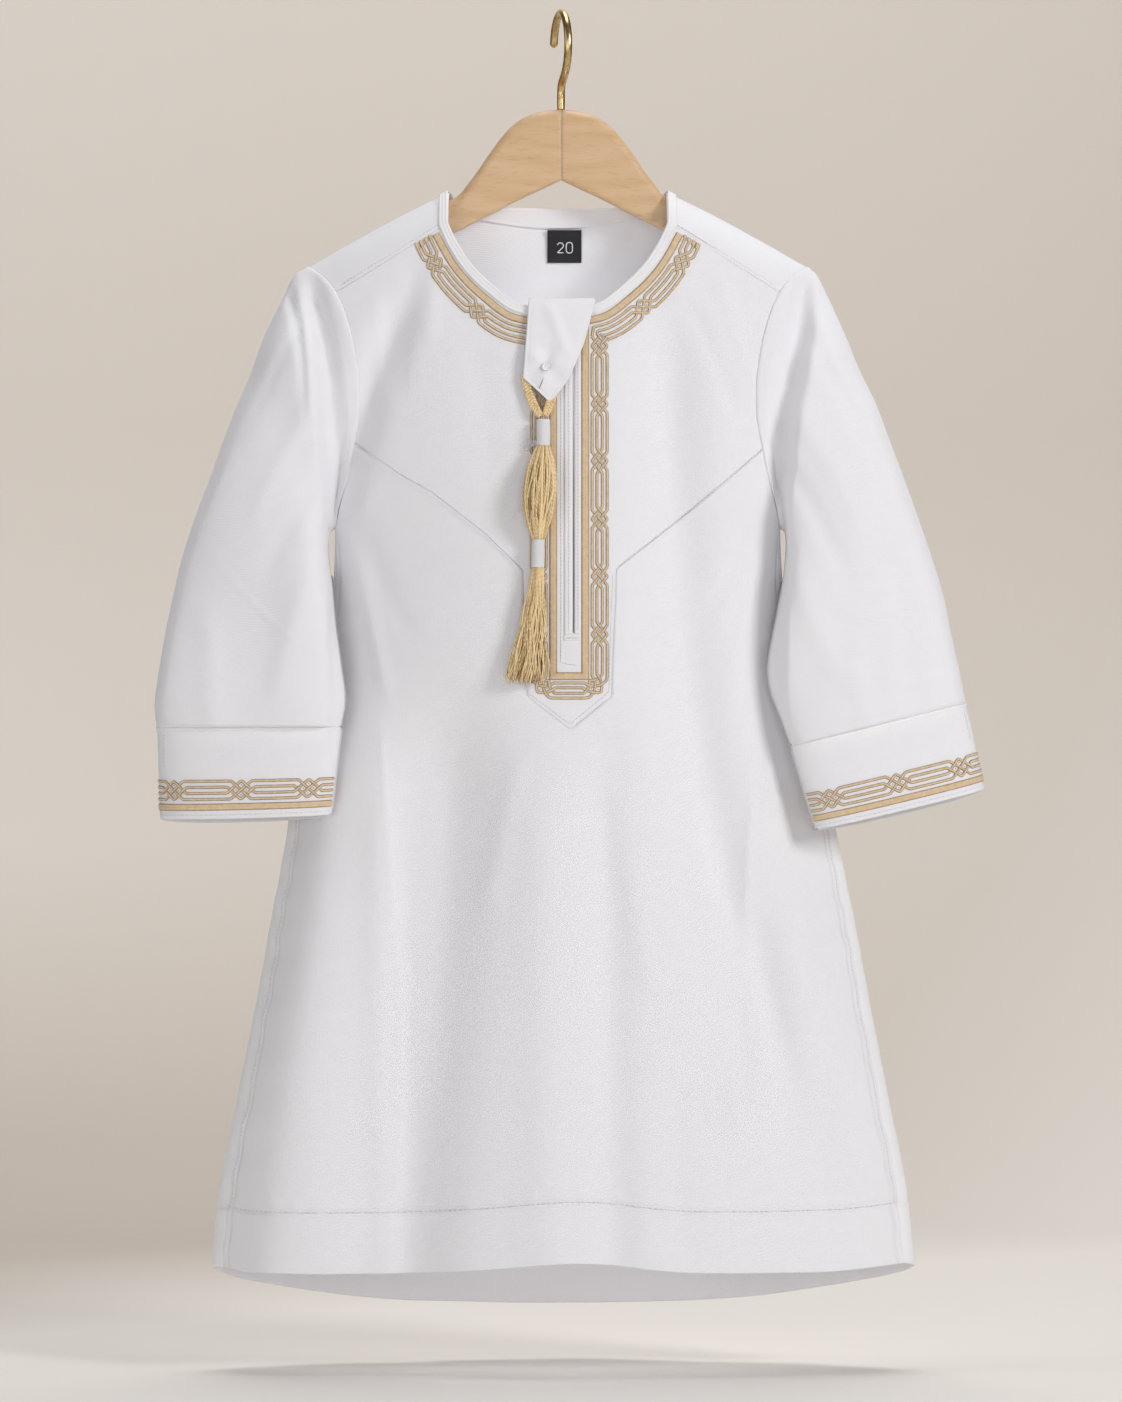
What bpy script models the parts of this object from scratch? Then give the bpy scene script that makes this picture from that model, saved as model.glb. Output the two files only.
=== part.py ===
"""Child's thobe hanging on a two-piece wooden hanger with a brass wire hook.

All lengths in the tables are millimetres and become metres when a mesh is
made.  The inside top of the hook is the origin, +Z is up, the front of the
robe faces -Y and the wearer's right is -X.

The cloth follows one shared skin:
  lower body : an oval tube, angle phi round it, height z
  shoulders  : a cape draped over a sloping ridge, x across, q down from the
               ridge (q < 0 front, q > 0 back, |q| = 1 where the drop begins)
Each cut panel is a region of that skin, thickened inwards, and stops 0.15 mm
short of every seam line.
"""
import bpy
import math
import numpy as np

for ob in list(bpy.data.objects):
    bpy.data.objects.remove(ob, do_unlink=True)

MM = 0.001
WALL = 1.2          # cloth wall
HEM_WALL = 2.0      # turned hems and cuffs
SEAM = 0.15         # each side of a seam
LIFT = 0.35         # trim above the cloth it lies on
RIDGE_R = 20.0      # rounding of the cape at the shoulder ridge
SLIM = 0.35         # how much slimmer than an ellipse the body is at its sides
MID = -2.5          # x of the middle of the upper body

# z, half width, centre x, front depth, back depth
BODY = np.array([
    (-50.0, 131.0, -2.5, 14.0, 11.0),
    (-84.0, 131.0, -2.5, 18.0, 14.0),
    (-119.3, 129.5, -2.5, 23.0, 17.5),
    (-132.0, 127.0, -2.5, 25.0, 19.5),
    (-143.0, 124.0, -2.5, 28.0, 21.0),
    (-158.0, 121.0, -2.5, 31.0, 23.0),
    (-175.4, 118.5, -2.5, 33.0, 25.0),
    (-188.0, 117.0, -2.5, 34.5, 26.0),
    (-205.0, 115.0, -2.5, 36.0, 27.0),
    (-219.5, 112.5, -2.5, 37.0, 28.0),
    (-233.0, 109.5, -2.5, 38.0, 29.0),
    (-243.7, 106.1, -2.5, 38.5, 30.0),
    (-265.0, 106.9, -2.4, 39.0, 31.5),
    (-295.0, 111.8, -2.1, 39.5, 33.5),
    (-326.0, 118.2, -1.6, 40.0, 36.0),
    (-383.0, 130.3, -0.8, 41.5, 41.0),
    (-420.0, 136.3, -0.2, 43.0, 44.5),
    (-468.0, 144.8, 0.0, 45.0, 48.5),
    (-515.0, 153.9, 0.0, 47.5, 53.0),
    (-562.6, 163.1, 0.0, 50.0, 57.0),
    (-594.0, 166.2, 0.0, 51.5, 59.5),
    (-625.0, 168.0, 0.0, 52.5, 61.0)])

# z, how far the sides of the body stand back behind the sleeves
SETBACK = np.array([
    (-243.7, 0.0), (-265.0, 4.0), (-295.0, 8.0), (-326.0, 11.0), (-383.0, 12.0),
    (-420.0, 9.0), (-468.0, 4.0), (-515.0, 0.0), (-625.0, 0.0)])

# distance from MID, z of the shoulder ridge
RIDGE = np.array([
    (0.0, -62.0), (30.0, -72.0), (52.4, -83.9), (71.4, -93.2),
    (98.1, -107.6), (114.7, -117.1), (130.0, -125.6)])

# z, distance of the armhole seam from MID
ARMHOLE = np.array([
    (-119.3, 118.4), (-124.0, 111.7), (-132.0, 105.2), (-143.4, 100.3),
    (-158.3, 96.5), (-175.4, 94.3), (-188.0, 94.3), (-205.0, 96.9),
    (-219.5, 100.0), (-233.2, 103.6), (-239.5, 105.1), (-243.7, 106.1)])
UNDERARM = -243.7
TIP = 118.4

# z, angle of the side seam from the middle of the front (degrees)
SIDE = np.array([
    (-243.7, 90.0), (-262.0, 83.0), (-300.0, 77.0), (-620.0, 75.0)])

# front neck edge: distance from MID, z
NECK_FRONT = np.array([
    (0.0, -141.0), (18.0, -138.0), (31.0, -128.7), (40.7, -119.0),
    (48.1, -107.6), (52.0, -99.2)])
# back neck edge: distance from MID, z
NECK_BACK = np.array([
    (0.0, -92.9), (27.0, -92.2), (38.0, -91.0), (46.0, -88.6),
    (50.0, -86.2), (52.0, -83.7)])
NECK_HALF = 52.0
YOKE_FRONT = np.array([(52.0, -99.2), (105.4, -131.8)])   # distance, z
YOKE_BACK = -150.0

# bib seam: x, z at its bottom, and the tongue below it
BIB = np.array([
    (-110.0, -196.5), (-99.5, -202.9), (-89.0, -210.5), (-77.0, -219.0),
    (-62.0, -227.5), (-37.0, -247.0), (-18.6, -265.0),
    (25.0, -264.0), (43.6, -249.4), (62.0, -234.6), (79.0, -220.4),
    (94.3, -207.1), (106.0, -198.0)])
TONGUE_TOP = -264.8
TONGUE_LOW = -323.6
TONGUE_TIP = (3.3, -339.4)
SLIT = (4.6, 5.8)           # x of both lips
SLIT_END = -293.9

# named lines down the front: z, then x of neck line L, tongue L, R, neck R
LINES = np.array([
    (-99.2, -54.5, -19.0, 26.0, 49.5),
    (-200.0, -55.0, -19.0, 25.5, 50.0),
    (-264.8, -56.0, -18.6, 25.0, 51.5),
    (-323.6, -61.0, -17.1, 22.8, 57.0),
    (-420.0, -68.0, -20.0, 24.0, 64.0),
    (-625.0, -84.0, -28.0, 31.0, 80.0)])

# hems: x, z of the front; angle round the body, z of the back
HEM_FRONT = np.array([
    (-166.0, -594.3), (-148.0, -596.6), (-87.0, -596.8), (-39.0, -594.0),
    (4.0, -590.6), (65.0, -595.6), (122.0, -596.2), (166.0, -593.0)])
HEM_BACK = np.array([
    (-285.0, -594.4), (-270.0, -595.8), (-240.0, -603.5), (-210.0, -614.0),
    (-180.0, -618.0), (-150.0, -614.5), (-120.0, -604.5), (-90.0, -595.0),
    (-75.0, -593.2)])
HEM_DEEP = 29.0

# soft folds of the front: from x, z to x, z, half width, height
FOLDS_FRONT = np.array([
    (-29.9, -325.0, -44.1, -560.0, 13.0, -7.0),
    (-8.5, -330.0, -6.0, -590.0, 15.0, 3.0),
    (27.0, -410.0, 27.0, -550.0, 9.0, -2.5),
    (65.0, -275.0, 79.0, -440.0, 13.0, -3.5),
    (-87.0, -321.0, -84.0, -600.0, 8.0, 2.6),
    (86.0, -380.0, 83.0, -520.0, 8.0, 2.2),
    (93.0, -415.0, 150.0, -532.0, 12.0, -3.0)])
FOLDS_BACK = np.array([
    (-50.0, -200.0, -72.0, -615.0, 17.0, -5.0),
    (2.0, -190.0, 6.0, -615.0, 19.0, 4.5),
    (48.0, -220.0, 66.0, -615.0, 17.0, -4.5),
    (96.0, -330.0, 112.0, -600.0, 14.0, 3.0)])


def curve(rows, x, ycol=1, xcol=0):
    """Smooth curve through the rows of a table; it never overshoots them."""
    xs, ys = rows[:, xcol], rows[:, ycol]
    if xs[0] > xs[-1]:
        xs, ys = xs[::-1], ys[::-1]
    h = np.diff(xs)
    d = np.diff(ys) / h
    m = np.zeros(len(xs))
    same = d[:-1] * d[1:] > 0
    m[1:-1] = np.where(same, 2 * d[:-1] * d[1:] / np.where(same, d[:-1] + d[1:], 1), 0)
    m[0], m[-1] = d[0], d[-1]
    x = np.asarray(x, float)
    i = np.clip(np.searchsorted(xs, x) - 1, 0, len(h) - 1)
    t = np.clip((x - xs[i]) / h[i], 0, 1)
    return ((1 + 2 * t) * (1 - t) ** 2 * ys[i] + t * (1 - t) ** 2 * h[i] * m[i]
            + t * t * (3 - 2 * t) * ys[i + 1] + t * t * (t - 1) * h[i] * m[i + 1])


def smooth(t):
    """Soft step from 0 to 1."""
    t = np.clip(t, 0, 1)
    return t * t * (3 - 2 * t)


def half(z):
    return curve(BODY, z, 1)


def centre(z):
    return curve(BODY, z, 2)


def ridge(x):
    return curve(RIDGE, np.abs(x - MID))


def folds(table, x, z):
    """Sum of long soft folds, each a bell across and faded at both ends."""
    out = np.zeros(np.broadcast(x, z).shape)
    for x0, z0, x1, z1, w, hgt in table:
        t = (z - z0) / (z1 - z0)
        d = x - (x0 + (x1 - x0) * t)
        out = out + hgt * np.exp(-(d / w) ** 2) * smooth(t / 0.25) * smooth((1.12 - t) / 0.12)
    return out


def bulge(x, z, side):
    """Depth of the skin from the mid plane: side -1 front, +1 back."""
    s = np.clip((x - centre(z)) / half(z), -1, 1)
    g = np.sqrt(1 - s * s) * (1 - SLIM * s * s)
    dep = np.where(side < 0, curve(BODY, z, 3), curve(BODY, z, 4))
    f = np.where(side < 0, folds(FOLDS_FRONT, x, z), folds(FOLDS_BACK, x, z))
    return dep * g + f * smooth(g * 2.2)


def skin(phi, z):
    """Point of the body at angle phi from the middle of the front."""
    phi, z = np.broadcast_arrays(np.asarray(phi, float), np.asarray(z, float))
    x = centre(z) + half(z) * np.sin(phi)
    side = np.where(np.cos(phi) > 0, -1, 1)
    t = np.clip((ridge(x) - z) / RIDGE_R, 0, 1)
    s = np.sin(phi)
    dep = np.where(side < 0, curve(BODY, z, 3), curve(BODY, z, 4))
    f = np.where(side < 0, folds(FOLDS_FRONT, x, z), folds(FOLDS_BACK, x, z))
    g = np.abs(np.cos(phi)) * (1 - SLIM * s * s)
    y = side * (dep * g + f * smooth(g * 2.2)) * np.sqrt(1 - (1 - t) ** 2)
    y = y + curve(SETBACK, z) * s ** 4
    return np.stack([x, y, z], -1)


def drop(x, z):
    """q of a height z below the ridge at x (always >= 0)."""
    t = np.maximum((ridge(x) - z) / RIDGE_R, 0)
    return np.where(t <= 1, np.arccos(1 - np.minimum(t, 1)) / (math.pi / 2),
                    1 + (t - 1) * 2 / math.pi)


def cape(x, q):
    """Point of the shoulders at x, q down from the ridge."""
    x, q = np.broadcast_arrays(np.asarray(x, float), np.asarray(q, float))
    a = np.abs(q)
    w = np.minimum(a, 1) * math.pi / 2
    z = ridge(x) - RIDGE_R * (1 - np.cos(w)) - np.maximum(a - 1, 0) * RIDGE_R * math.pi / 2
    y = np.sign(q) * bulge(x, z, np.sign(q)) * np.sin(w)
    return np.stack([x, y, z], -1)


def unit(v):
    return v / np.maximum(np.linalg.norm(v, axis=-1, keepdims=True), 1e-12)


def skin_normal(phi, z):
    du = skin(phi + 2e-3, z) - skin(phi - 2e-3, z)
    dv = skin(phi, z - 0.2) - skin(phi, z + 0.2)
    return unit(np.cross(dv, du))


def cape_normal(x, q):
    dx = cape(x + 0.2, q) - cape(x - 0.2, q)
    dq = cape(x, q + 0.01) - cape(x, q - 0.01)
    return unit(np.cross(dx, dq))


def front_phi(x, z):
    return np.arcsin(np.clip((x - centre(z)) / half(z), -1, 1))


def front(x, z):
    """Point and outward normal of the front at x, z."""
    p = front_phi(x, z)
    return skin(p, z), skin_normal(p, z)


def back(x, z):
    p = math.pi - front_phi(x, z)
    return skin(p, z), skin_normal(p, z)


# ---------------------------------------------------------------- meshes

# start of the name, red, green, blue, roughness, metallic
MATERIALS = [
    ("braid", 0.56, 0.38, 0.19, 0.55, 0.0),
    ("tassel_wrap", 0.80, 0.79, 0.80, 0.70, 0.0),
    ("tassel", 0.72, 0.55, 0.29, 0.60, 0.0),
    ("size_label", 0.015, 0.015, 0.018, 0.80, 0.0),
    ("pearl_button", 0.80, 0.79, 0.76, 0.25, 0.0),
    ("hanger_arm", 0.62, 0.43, 0.26, 0.40, 0.0),
    ("hanger_hook", 0.55, 0.40, 0.19, 0.30, 1.0),
    ("", 0.78, 0.76, 0.79, 0.85, 0.0)]


def material(name):
    """The material of a piece, made once for each kind."""
    start, red, green, blue, rough, metal = next(m for m in MATERIALS if name.startswith(m[0]))
    key = (start or "cloth") + "_material"
    mat = bpy.data.materials.get(key)
    if mat is None:
        mat = bpy.data.materials.new(key)
        mat.use_nodes = True
        shader = mat.node_tree.nodes["Principled BSDF"]
        shader.inputs["Base Color"].default_value = (red, green, blue, 1.0)
        shader.inputs["Roughness"].default_value = rough
        shader.inputs["Metallic"].default_value = metal
        mat.diffuse_color = (red, green, blue, 1.0)
    return mat


def finish(name, pts, faces):
    """Make one object from points in millimetres; unused points are left out."""
    used = sorted({i for f in faces for i in f})
    new = {i: k for k, i in enumerate(used)}
    me = bpy.data.meshes.new(name)
    me.from_pydata([tuple(float(c) * MM for c in pts[i]) for i in used], [],
                   [tuple(new[i] for i in f) for f in faces])
    me.validate()
    me.update()
    me.materials.append(material(name))
    ob = bpy.data.objects.new(name, me)
    bpy.context.scene.collection.objects.link(ob)
    return ob


def shell(name, P, N, quads, wall=WALL, inset=SEAM):
    """Cloth from an outer sheet: seam edges drawn back by inset, then walled
    inwards along N, with the rim closed all round."""
    P, N = np.array(P, float), np.array(N, float)
    wall = np.broadcast_to(np.asarray(wall, float), (len(P),))
    inset = np.broadcast_to(np.asarray(inset, float), (len(P),))
    edges = {(f[i], f[(i + 1) % len(f)]) for f in quads for i in range(len(f))}
    rim = [e for e in edges if (e[1], e[0]) not in edges]
    inward = {}
    for a, b in rim:
        d = unit(P[b] - P[a])
        m = unit(np.cross(unit(N[a] + N[b]), d))
        inward.setdefault(a, []).append(m)
        inward.setdefault(b, []).append(m)
    Q = P.copy()
    for v, ms in inward.items():
        m = unit(sum(ms))
        Q[v] = P[v] + m * inset[v] / max(float(np.dot(m, ms[0])), 0.5)
    n = len(P)
    inner = Q - N * wall[:, None]
    tris = []
    for a, b, c, d in quads:
        if np.linalg.norm(Q[a] - Q[c]) <= np.linalg.norm(Q[b] - Q[d]):
            tris += [(a, b, c), (a, c, d)]
        else:
            tris += [(a, b, d), (b, c, d)]
    faces = tris + [tuple(i + n for i in reversed(f)) for f in tris]
    faces += [(b, a, a + n, b + n) for a, b in rim]
    return finish(name, np.vstack([Q, inner]), faces)


def grid_quads(nr, nc, keep=None, loop=False, start=0, flip=False):
    """Quads of an nr by nc grid of points; keep(row, col) picks cells."""
    out = []
    for j in range(nr - 1):
        for i in range(nc if loop else nc - 1):
            if keep is None or keep(j, i):
                k = (i + 1) % nc
                q = (start + j * nc + i, start + (j + 1) * nc + i,
                     start + (j + 1) * nc + k, start + j * nc + k)
                out.append(q[::-1] if flip else q)
    return out


def sheet_normals(G, loop=False):
    """Outward normals of a grid seen with rows down and columns to the right."""
    dc = np.roll(G, -1, 1) - np.roll(G, 1, 1)
    if not loop:
        dc[:, 0], dc[:, -1] = G[:, 1] - G[:, 0], G[:, -1] - G[:, -2]
    dr = np.empty_like(G)
    dr[1:-1] = unit(G[2:] - G[1:-1]) + unit(G[1:-1] - G[:-2])
    dr[0], dr[-1] = G[1] - G[0], G[-1] - G[-2]
    return unit(np.cross(dr, dc))


def relief(name, P, N, H, base=LIFT, ends=True):
    """Trim with a worked face: points on the cloth, heights H above it, and a
    plain underside at the base height.  Rows run along it."""
    nr, nc = P.shape[:2]
    top = (P + N * H[..., None]).reshape(-1, 3)
    low = np.stack([P[:, 0] + N[:, 0] * base, P[:, -1] + N[:, -1] * base], 1).reshape(-1, 3)
    b = nr * nc
    faces = grid_quads(nr, nc, loop=False)
    rows = range(nr - 1) if ends else range(nr)
    if not ends:
        faces += [(( nr - 1) * nc + i, i, i + 1, (nr - 1) * nc + i + 1) for i in range(nc - 1)]
    for j in rows:
        k = (j + 1) % nr
        faces.append((b + 2 * k, b + 2 * j, b + 2 * j + 1, b + 2 * k + 1))
        faces.append((j * nc, b + 2 * j, b + 2 * k, k * nc))
        faces.append((k * nc + nc - 1, b + 2 * k + 1, b + 2 * j + 1, j * nc + nc - 1))
    if ends:
        faces.append(tuple([b, *range(0, nc)] + [b + 1]))
        e = (nr - 1) * nc
        faces.append(tuple([b + 2 * nr - 1, *range(e + nc - 1, e - 1, -1)] + [b + 2 * nr - 2]))
    return finish(name, np.vstack([top, low]), faces)


def tube(name, path, rad, sides=10, squash=1.0, up=(1.0, 0.0, 0.0), ribs=None):
    """Round bar along a path: radius per point, closed flat ends."""
    path = np.asarray(path, float)
    rad = np.broadcast_to(np.asarray(rad, float), (len(path),))
    t = unit(np.gradient(path, axis=0))
    a = unit(np.asarray(up, float) - t * (t @ np.asarray(up, float))[:, None])
    c = np.cross(t, a)
    th = np.arange(sides) * 2 * math.pi / sides
    rib = np.ones(sides) if ribs is None else ribs(np.arange(sides))
    ring = (path[:, None] + rad[:, None, None] * rib[None, :, None]
            * (np.cos(th)[None, :, None] * a[:, None] + squash * np.sin(th)[None, :, None] * c[:, None]))
    n = len(path)
    faces = grid_quads(n, sides, loop=True, flip=True)
    faces.append(tuple(range(sides))[::-1])
    faces.append(tuple(range((n - 1) * sides, n * sides)))
    return finish(name, ring.reshape(-1, 3), faces)


# ---------------------------------------------------------------- front

def arm_phi(z):
    """Half angle of a front panel at height z: armhole, then side seam."""
    a = np.arcsin(np.clip(curve(ARMHOLE, z) / half(z), -1, 1))
    s = np.radians(curve(SIDE, z))
    return np.where(z >= UNDERARM, a, s)


SPAN_OUT = np.array([0.0, 0.16, 0.36, 0.57, 0.78, 1.0])
SPAN_IN = np.array([0.0, 0.27, 0.52, 0.76, 1.0])
TONGUE_X = np.array([-9.0, SLIT[0], SLIT[1], 15.0])
NCOL = 24
COL_NL, COL_TL, COL_S, COL_TR, COL_NR = 5, 9, 11, 14, 18


def columns(z):
    """x of the 24 column lines of the front at heights z (24 values)."""
    e = arm_phi(z)
    x = np.zeros(NCOL)
    xs = [curve(LINES, z, k) for k in (1, 2, 3, 4)]
    ph = lambda k, i: front_phi(xs[k][i], z[i])
    for i in range(NCOL):
        if i <= 5:
            p = -e[i] + (ph(0, i) + e[i]) * SPAN_OUT[i]
        elif i <= 9:
            p = ph(0, i) + (ph(1, i) - ph(0, i)) * SPAN_IN[i - 5]
        elif i <= 13:
            w = smooth((-z[i] - 323.6) / 260.0)
            p = front_phi(TONGUE_X[i - 10] * (1 + 0.4 * w), z[i])
        elif i <= 18:
            p = ph(3, i) + (ph(2, i) - ph(3, i)) * SPAN_IN[18 - i]
        else:
            p = e[i] + (ph(3, i) - e[i]) * SPAN_OUT[23 - i]
        x[i] = centre(z[i]) + half(z[i]) * math.sin(p)
    return x


def settle(zfun, z0):
    """Heights of the 24 columns where they meet the line z = zfun(x)."""
    z = np.full(NCOL, float(z0))
    for _ in range(25):
        z = 0.5 * z + 0.5 * zfun(columns(z))
    return z


def top_line(x):
    """Neck edge in the middle, yoke seam outside it."""
    d = np.abs(x - MID)
    return np.where(d <= NECK_HALF, curve(NECK_FRONT, d),
                    np.interp(d, YOKE_FRONT[:, 0], YOKE_FRONT[:, 1]))


def bib_line(x):
    return np.interp(x, BIB[:, 0], BIB[:, 1])


def tip_line(x):
    xl, xr = -17.1, 22.8
    return np.interp(x, [xl, TONGUE_TIP[0], xr], [TONGUE_LOW, TONGUE_TIP[1], TONGUE_LOW])


z_top = settle(top_line, -120)
z_top[[0, -1]] = -131.8
z_bib = settle(bib_line, -230)
z_low = np.full(NCOL, TONGUE_LOW)
for i in range(COL_TL, COL_TR + 1):
    x = columns(np.full(NCOL, -330.0))[i]
    z_low[i] = tip_line(x)
z_low[[COL_TL, COL_TR]] = TONGUE_LOW

UP_V = np.array([0, 0.1, 0.21, 0.33, 0.46, 0.59, 0.72, 0.86, 1.0])
front_rows = [z_top + (z_bib - z_top) * v for v in UP_V]
tongue_z = [-279.5, SLIT_END, -309.0]
tongue_rows = []
for z in tongue_z:
    tongue_rows.append(np.full(NCOL, z))
tongue_rows.append(z_low)
ZU = np.array(front_rows + tongue_rows)
XU = np.array([columns(z) for z in ZU])
PU, NU = front(XU, ZU)


def upper_cell(j, i):
    """Bib cells; the tongue goes lower and the slit is left open."""
    if j >= 8 and not (COL_TL <= i < COL_TR):
        return False
    return not (i == COL_S and j < 10)


# skirt of the front: rows above the tongue corners, then down to the hem
ARM_ROWS = np.array([-213.5, -223.5, -232.5, -239.5, UNDERARM, -258.0, -277.0, -300.0])


def shares(z_start):
    """Row shares between the bib seam and the tongue corners at one side."""
    z = np.concatenate([[z_start], ARM_ROWS + (z_start + 202.9) * np.array(
        [0.75, 0.5, 0.3, 0.1, 0, 0, 0, 0]), [TONGUE_LOW]])
    return (z - z[0]) / (z[-1] - z[0])


va, vb = shares(z_bib[0]), shares(z_bib[-1])
mix = np.linspace(0, 1, NCOL)
z_hem = settle(lambda x: curve(HEM_FRONT, x), -594)
LOW_V = np.array([0.1, 0.2, 0.3, 0.4, 0.5, 0.6, 0.7, 0.8])
low_rows = [z_bib + (z_low - z_bib) * (p * (1 - mix) + q * mix) for p, q in zip(va, vb)]
low_rows += [z_low + (z_hem - z_low) * v for v in LOW_V]
low_rows += [z_hem + HEM_DEEP, z_hem + HEM_DEEP * 0.45, z_hem]
ZL = np.array(low_rows)
XL = np.array([columns(z) for z in ZL])
PL, NL = front(XL, ZL)
for j in range(len(ZL)):
    for i, sgn in ((0, -1), (NCOL - 1, 1)):
        ph = sgn * float(arm_phi(ZL[j, i]))
        PL[j, i], NL[j, i] = skin(ph, ZL[j, i]), skin_normal(ph, ZL[j, i])
for j in range(len(ZU)):
    for i, sgn in ((0, -1), (NCOL - 1, 1)):
        ph = sgn * float(arm_phi(ZU[j, i]))
        PU[j, i], NU[j, i] = skin(ph, ZU[j, i]), skin_normal(ph, ZU[j, i])


def lower_cell(j, i):
    return not (j < 9 and COL_TL <= i < COL_TR)


# ---------------------------------------------------------------- yoke

YW = np.array([1.0, 0.84, 0.64, 0.43, 0.22, 0.0])     # armhole to neck corner
NECK_U = np.array([-0.955, -0.84, -0.62, -0.32, 0.0, 0.32, 0.62, 0.84, 0.955])
Y_FRONT = np.array([1.0, 0.68, 0.34])                 # share of the front drop
Y_BACK = np.array([0.0, 0.12, 0.26, 0.44, 0.62, 0.81, 1.0])
YC = 2 * len(YW) + len(NECK_U)
YR = len(Y_FRONT) + len(Y_BACK)


def yoke_grid():
    """x and q of the yoke: columns from armhole to armhole, rows from the
    front seam over the ridge to the back seam."""
    X, Q = np.zeros((YR, YC)), np.zeros((YR, YC))
    for j in range(YR):
        for i in range(YC):
            side = -1 if i < YC / 2 else 1
            neck = len(YW) <= i < YC - len(YW)
            if neck:
                u = NECK_U[i - len(YW)] * NECK_HALF
                x = MID + u
                q0 = float(drop(x, curve(NECK_BACK, abs(u))))
                q1 = float(drop(x, YOKE_BACK))
                k = max(j - len(Y_FRONT), 0)
                q = q0 + (q1 - q0) * Y_BACK[k]
            else:
                w = YW[i] if side < 0 else YW[YC - 1 - i]
                x = MID + side * (NECK_HALF + (TIP - NECK_HALF) * w)
                for _ in range(40):
                    if j < len(Y_FRONT):
                        qs = float(drop(x, np.interp(abs(x - MID), YOKE_FRONT[:, 0], YOKE_FRONT[:, 1])))
                        if w == 1.0:
                            qs = float(drop(x, -131.8))
                        q = -qs * Y_FRONT[j]
                    else:
                        q = float(drop(x, YOKE_BACK)) * Y_BACK[j - len(Y_FRONT)]
                    z = float(cape(x, q)[2])
                    arm = float(curve(ARMHOLE, z)) if q != 0 else TIP
                    x = 0.6 * x + 0.4 * (MID + side * (NECK_HALF + (arm - NECK_HALF) * w))
            X[j, i], Q[j, i] = x, q
    return X, Q


XY, QY = yoke_grid()
PY, NY = cape(XY, QY), cape_normal(XY, QY)


def yoke_cell(j, i):
    return j >= len(Y_FRONT) or i < len(YW) - 1 or i >= YC - len(YW)


# ---------------------------------------------------------------- back

BACK_Z = np.array([YOKE_BACK, -163.0, -178.0, -193.0, -207.0, -219.5, -230.5, -238.5,
                   UNDERARM])
NB = 21


def back_grid():
    """Angle and height of the back, from the right armhole or side seam round
    behind to the left one.  Its side rows share the heights of the front's."""
    u = np.linspace(0, 1, NB)
    u = u - 0.055 * np.sin(2 * math.pi * u)
    rows_z, rows_p = [], []
    for z in BACK_Z:
        lim = math.pi - float(arm_phi(z))
        rows_p.append(-lim - (2 * math.pi - 2 * lim) * u)
        rows_z.append(np.full(NB, z))
    span = ZL[-1] - UNDERARM
    for j in range(6, len(ZL)):
        v = [(ZL[j, i] - UNDERARM) / span[i] for i in (0, -1)]
        zz = np.full(NB, ZL[j, 0])
        for _ in range(10):
            lim = arm_phi(np.minimum(zz, UNDERARM - 0.01))
            p = -lim - (2 * math.pi - 2 * lim) * u
            ends = np.radians([-75.0, -285.0])
            e0, e1 = curve(HEM_BACK, np.degrees(ends))
            zh = (curve(HEM_BACK, np.degrees(p)) + (ZL[-1, 0] - e0) * (1 - u) ** 8
                  + (ZL[-1, -1] - e1) * u ** 8)
            zh[0], zh[-1] = ZL[-1, 0], ZL[-1, -1]
            zz = UNDERARM + (zh - UNDERARM) * (v[0] + (v[1] - v[0]) * u)
        rows_z.append(zz)
        rows_p.append(p)
    return np.array(rows_p), np.array(rows_z)


PHB, ZB = back_grid()
PB, NBK = skin(PHB, ZB), skin_normal(PHB, ZB)

# ---------------------------------------------------------------- sleeves

# outer edge x, z from the shoulder tip to the cuff seam
OUT_R = np.array([
    (-120.9, -119.3), (-125.4, -121.9), (-127.6, -126.6), (-129.0, -131.8),
    (-131.5, -137.0), (-136.0, -147.0), (-139.4, -157.0), (-143.1, -172.0),
    (-147.9, -183.4), (-155.9, -202.4), (-164.5, -221.4), (-172.0, -240.3),
    (-178.7, -259.3), (-184.9, -278.2), (-189.1, -297.2), (-192.4, -316.2),
    (-193.7, -328.0), (-192.9, -338.8)])
OUT_L = np.array([
    (115.9, -119.3), (120.1, -121.9), (122.9, -126.6), (125.1, -131.3),
    (127.5, -136.0), (131.8, -145.5), (136.0, -155.0), (139.8, -164.5),
    (144.1, -174.0), (147.4, -183.4), (154.5, -202.4), (161.6, -221.4),
    (168.3, -240.3), (174.9, -259.3), (180.6, -278.2), (185.3, -297.2),
    (189.1, -314.5), (191.5, -327.1)])
# inner edge x, z from the underarm to the cuff seam
IN_R = np.array([
    (-108.6, -243.7), (-111.3, -247.0), (-112.0, -252.5), (-111.6, -259.5), (-110.4, -267.0),
    (-108.3, -288.7), (-105.2, -310.0), (-103.3, -326.0), (-105.2, -338.4)])
IN_L = np.array([
    (103.6, -243.7), (106.3, -247.0), (107.0, -252.5), (106.4, -259.5), (105.0, -267.0),
    (101.9, -283.5), (98.6, -300.0), (97.2, -311.0), (98.1, -319.5),
    (102.4, -331.8), (108.1, -347.4)])
# front fold edge z, x
EDGE_R = np.array([
    (-119.3, -123.5), (-130.8, -126.1), (-144.6, -123.2), (-161.6, -120.4),
    (-180.1, -119.0), (-199.6, -117.1), (-223.7, -114.7), (-243.7, -113.0)])
EDGE_L = np.array([
    (-119.3, 118.5), (-131.8, 121.3), (-148.4, 119.9), (-168.7, 116.6),
    (-189.6, 112.8), (-209.0, 110.4), (-228.5, 108.1), (-243.7, 106.4)])
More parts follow.
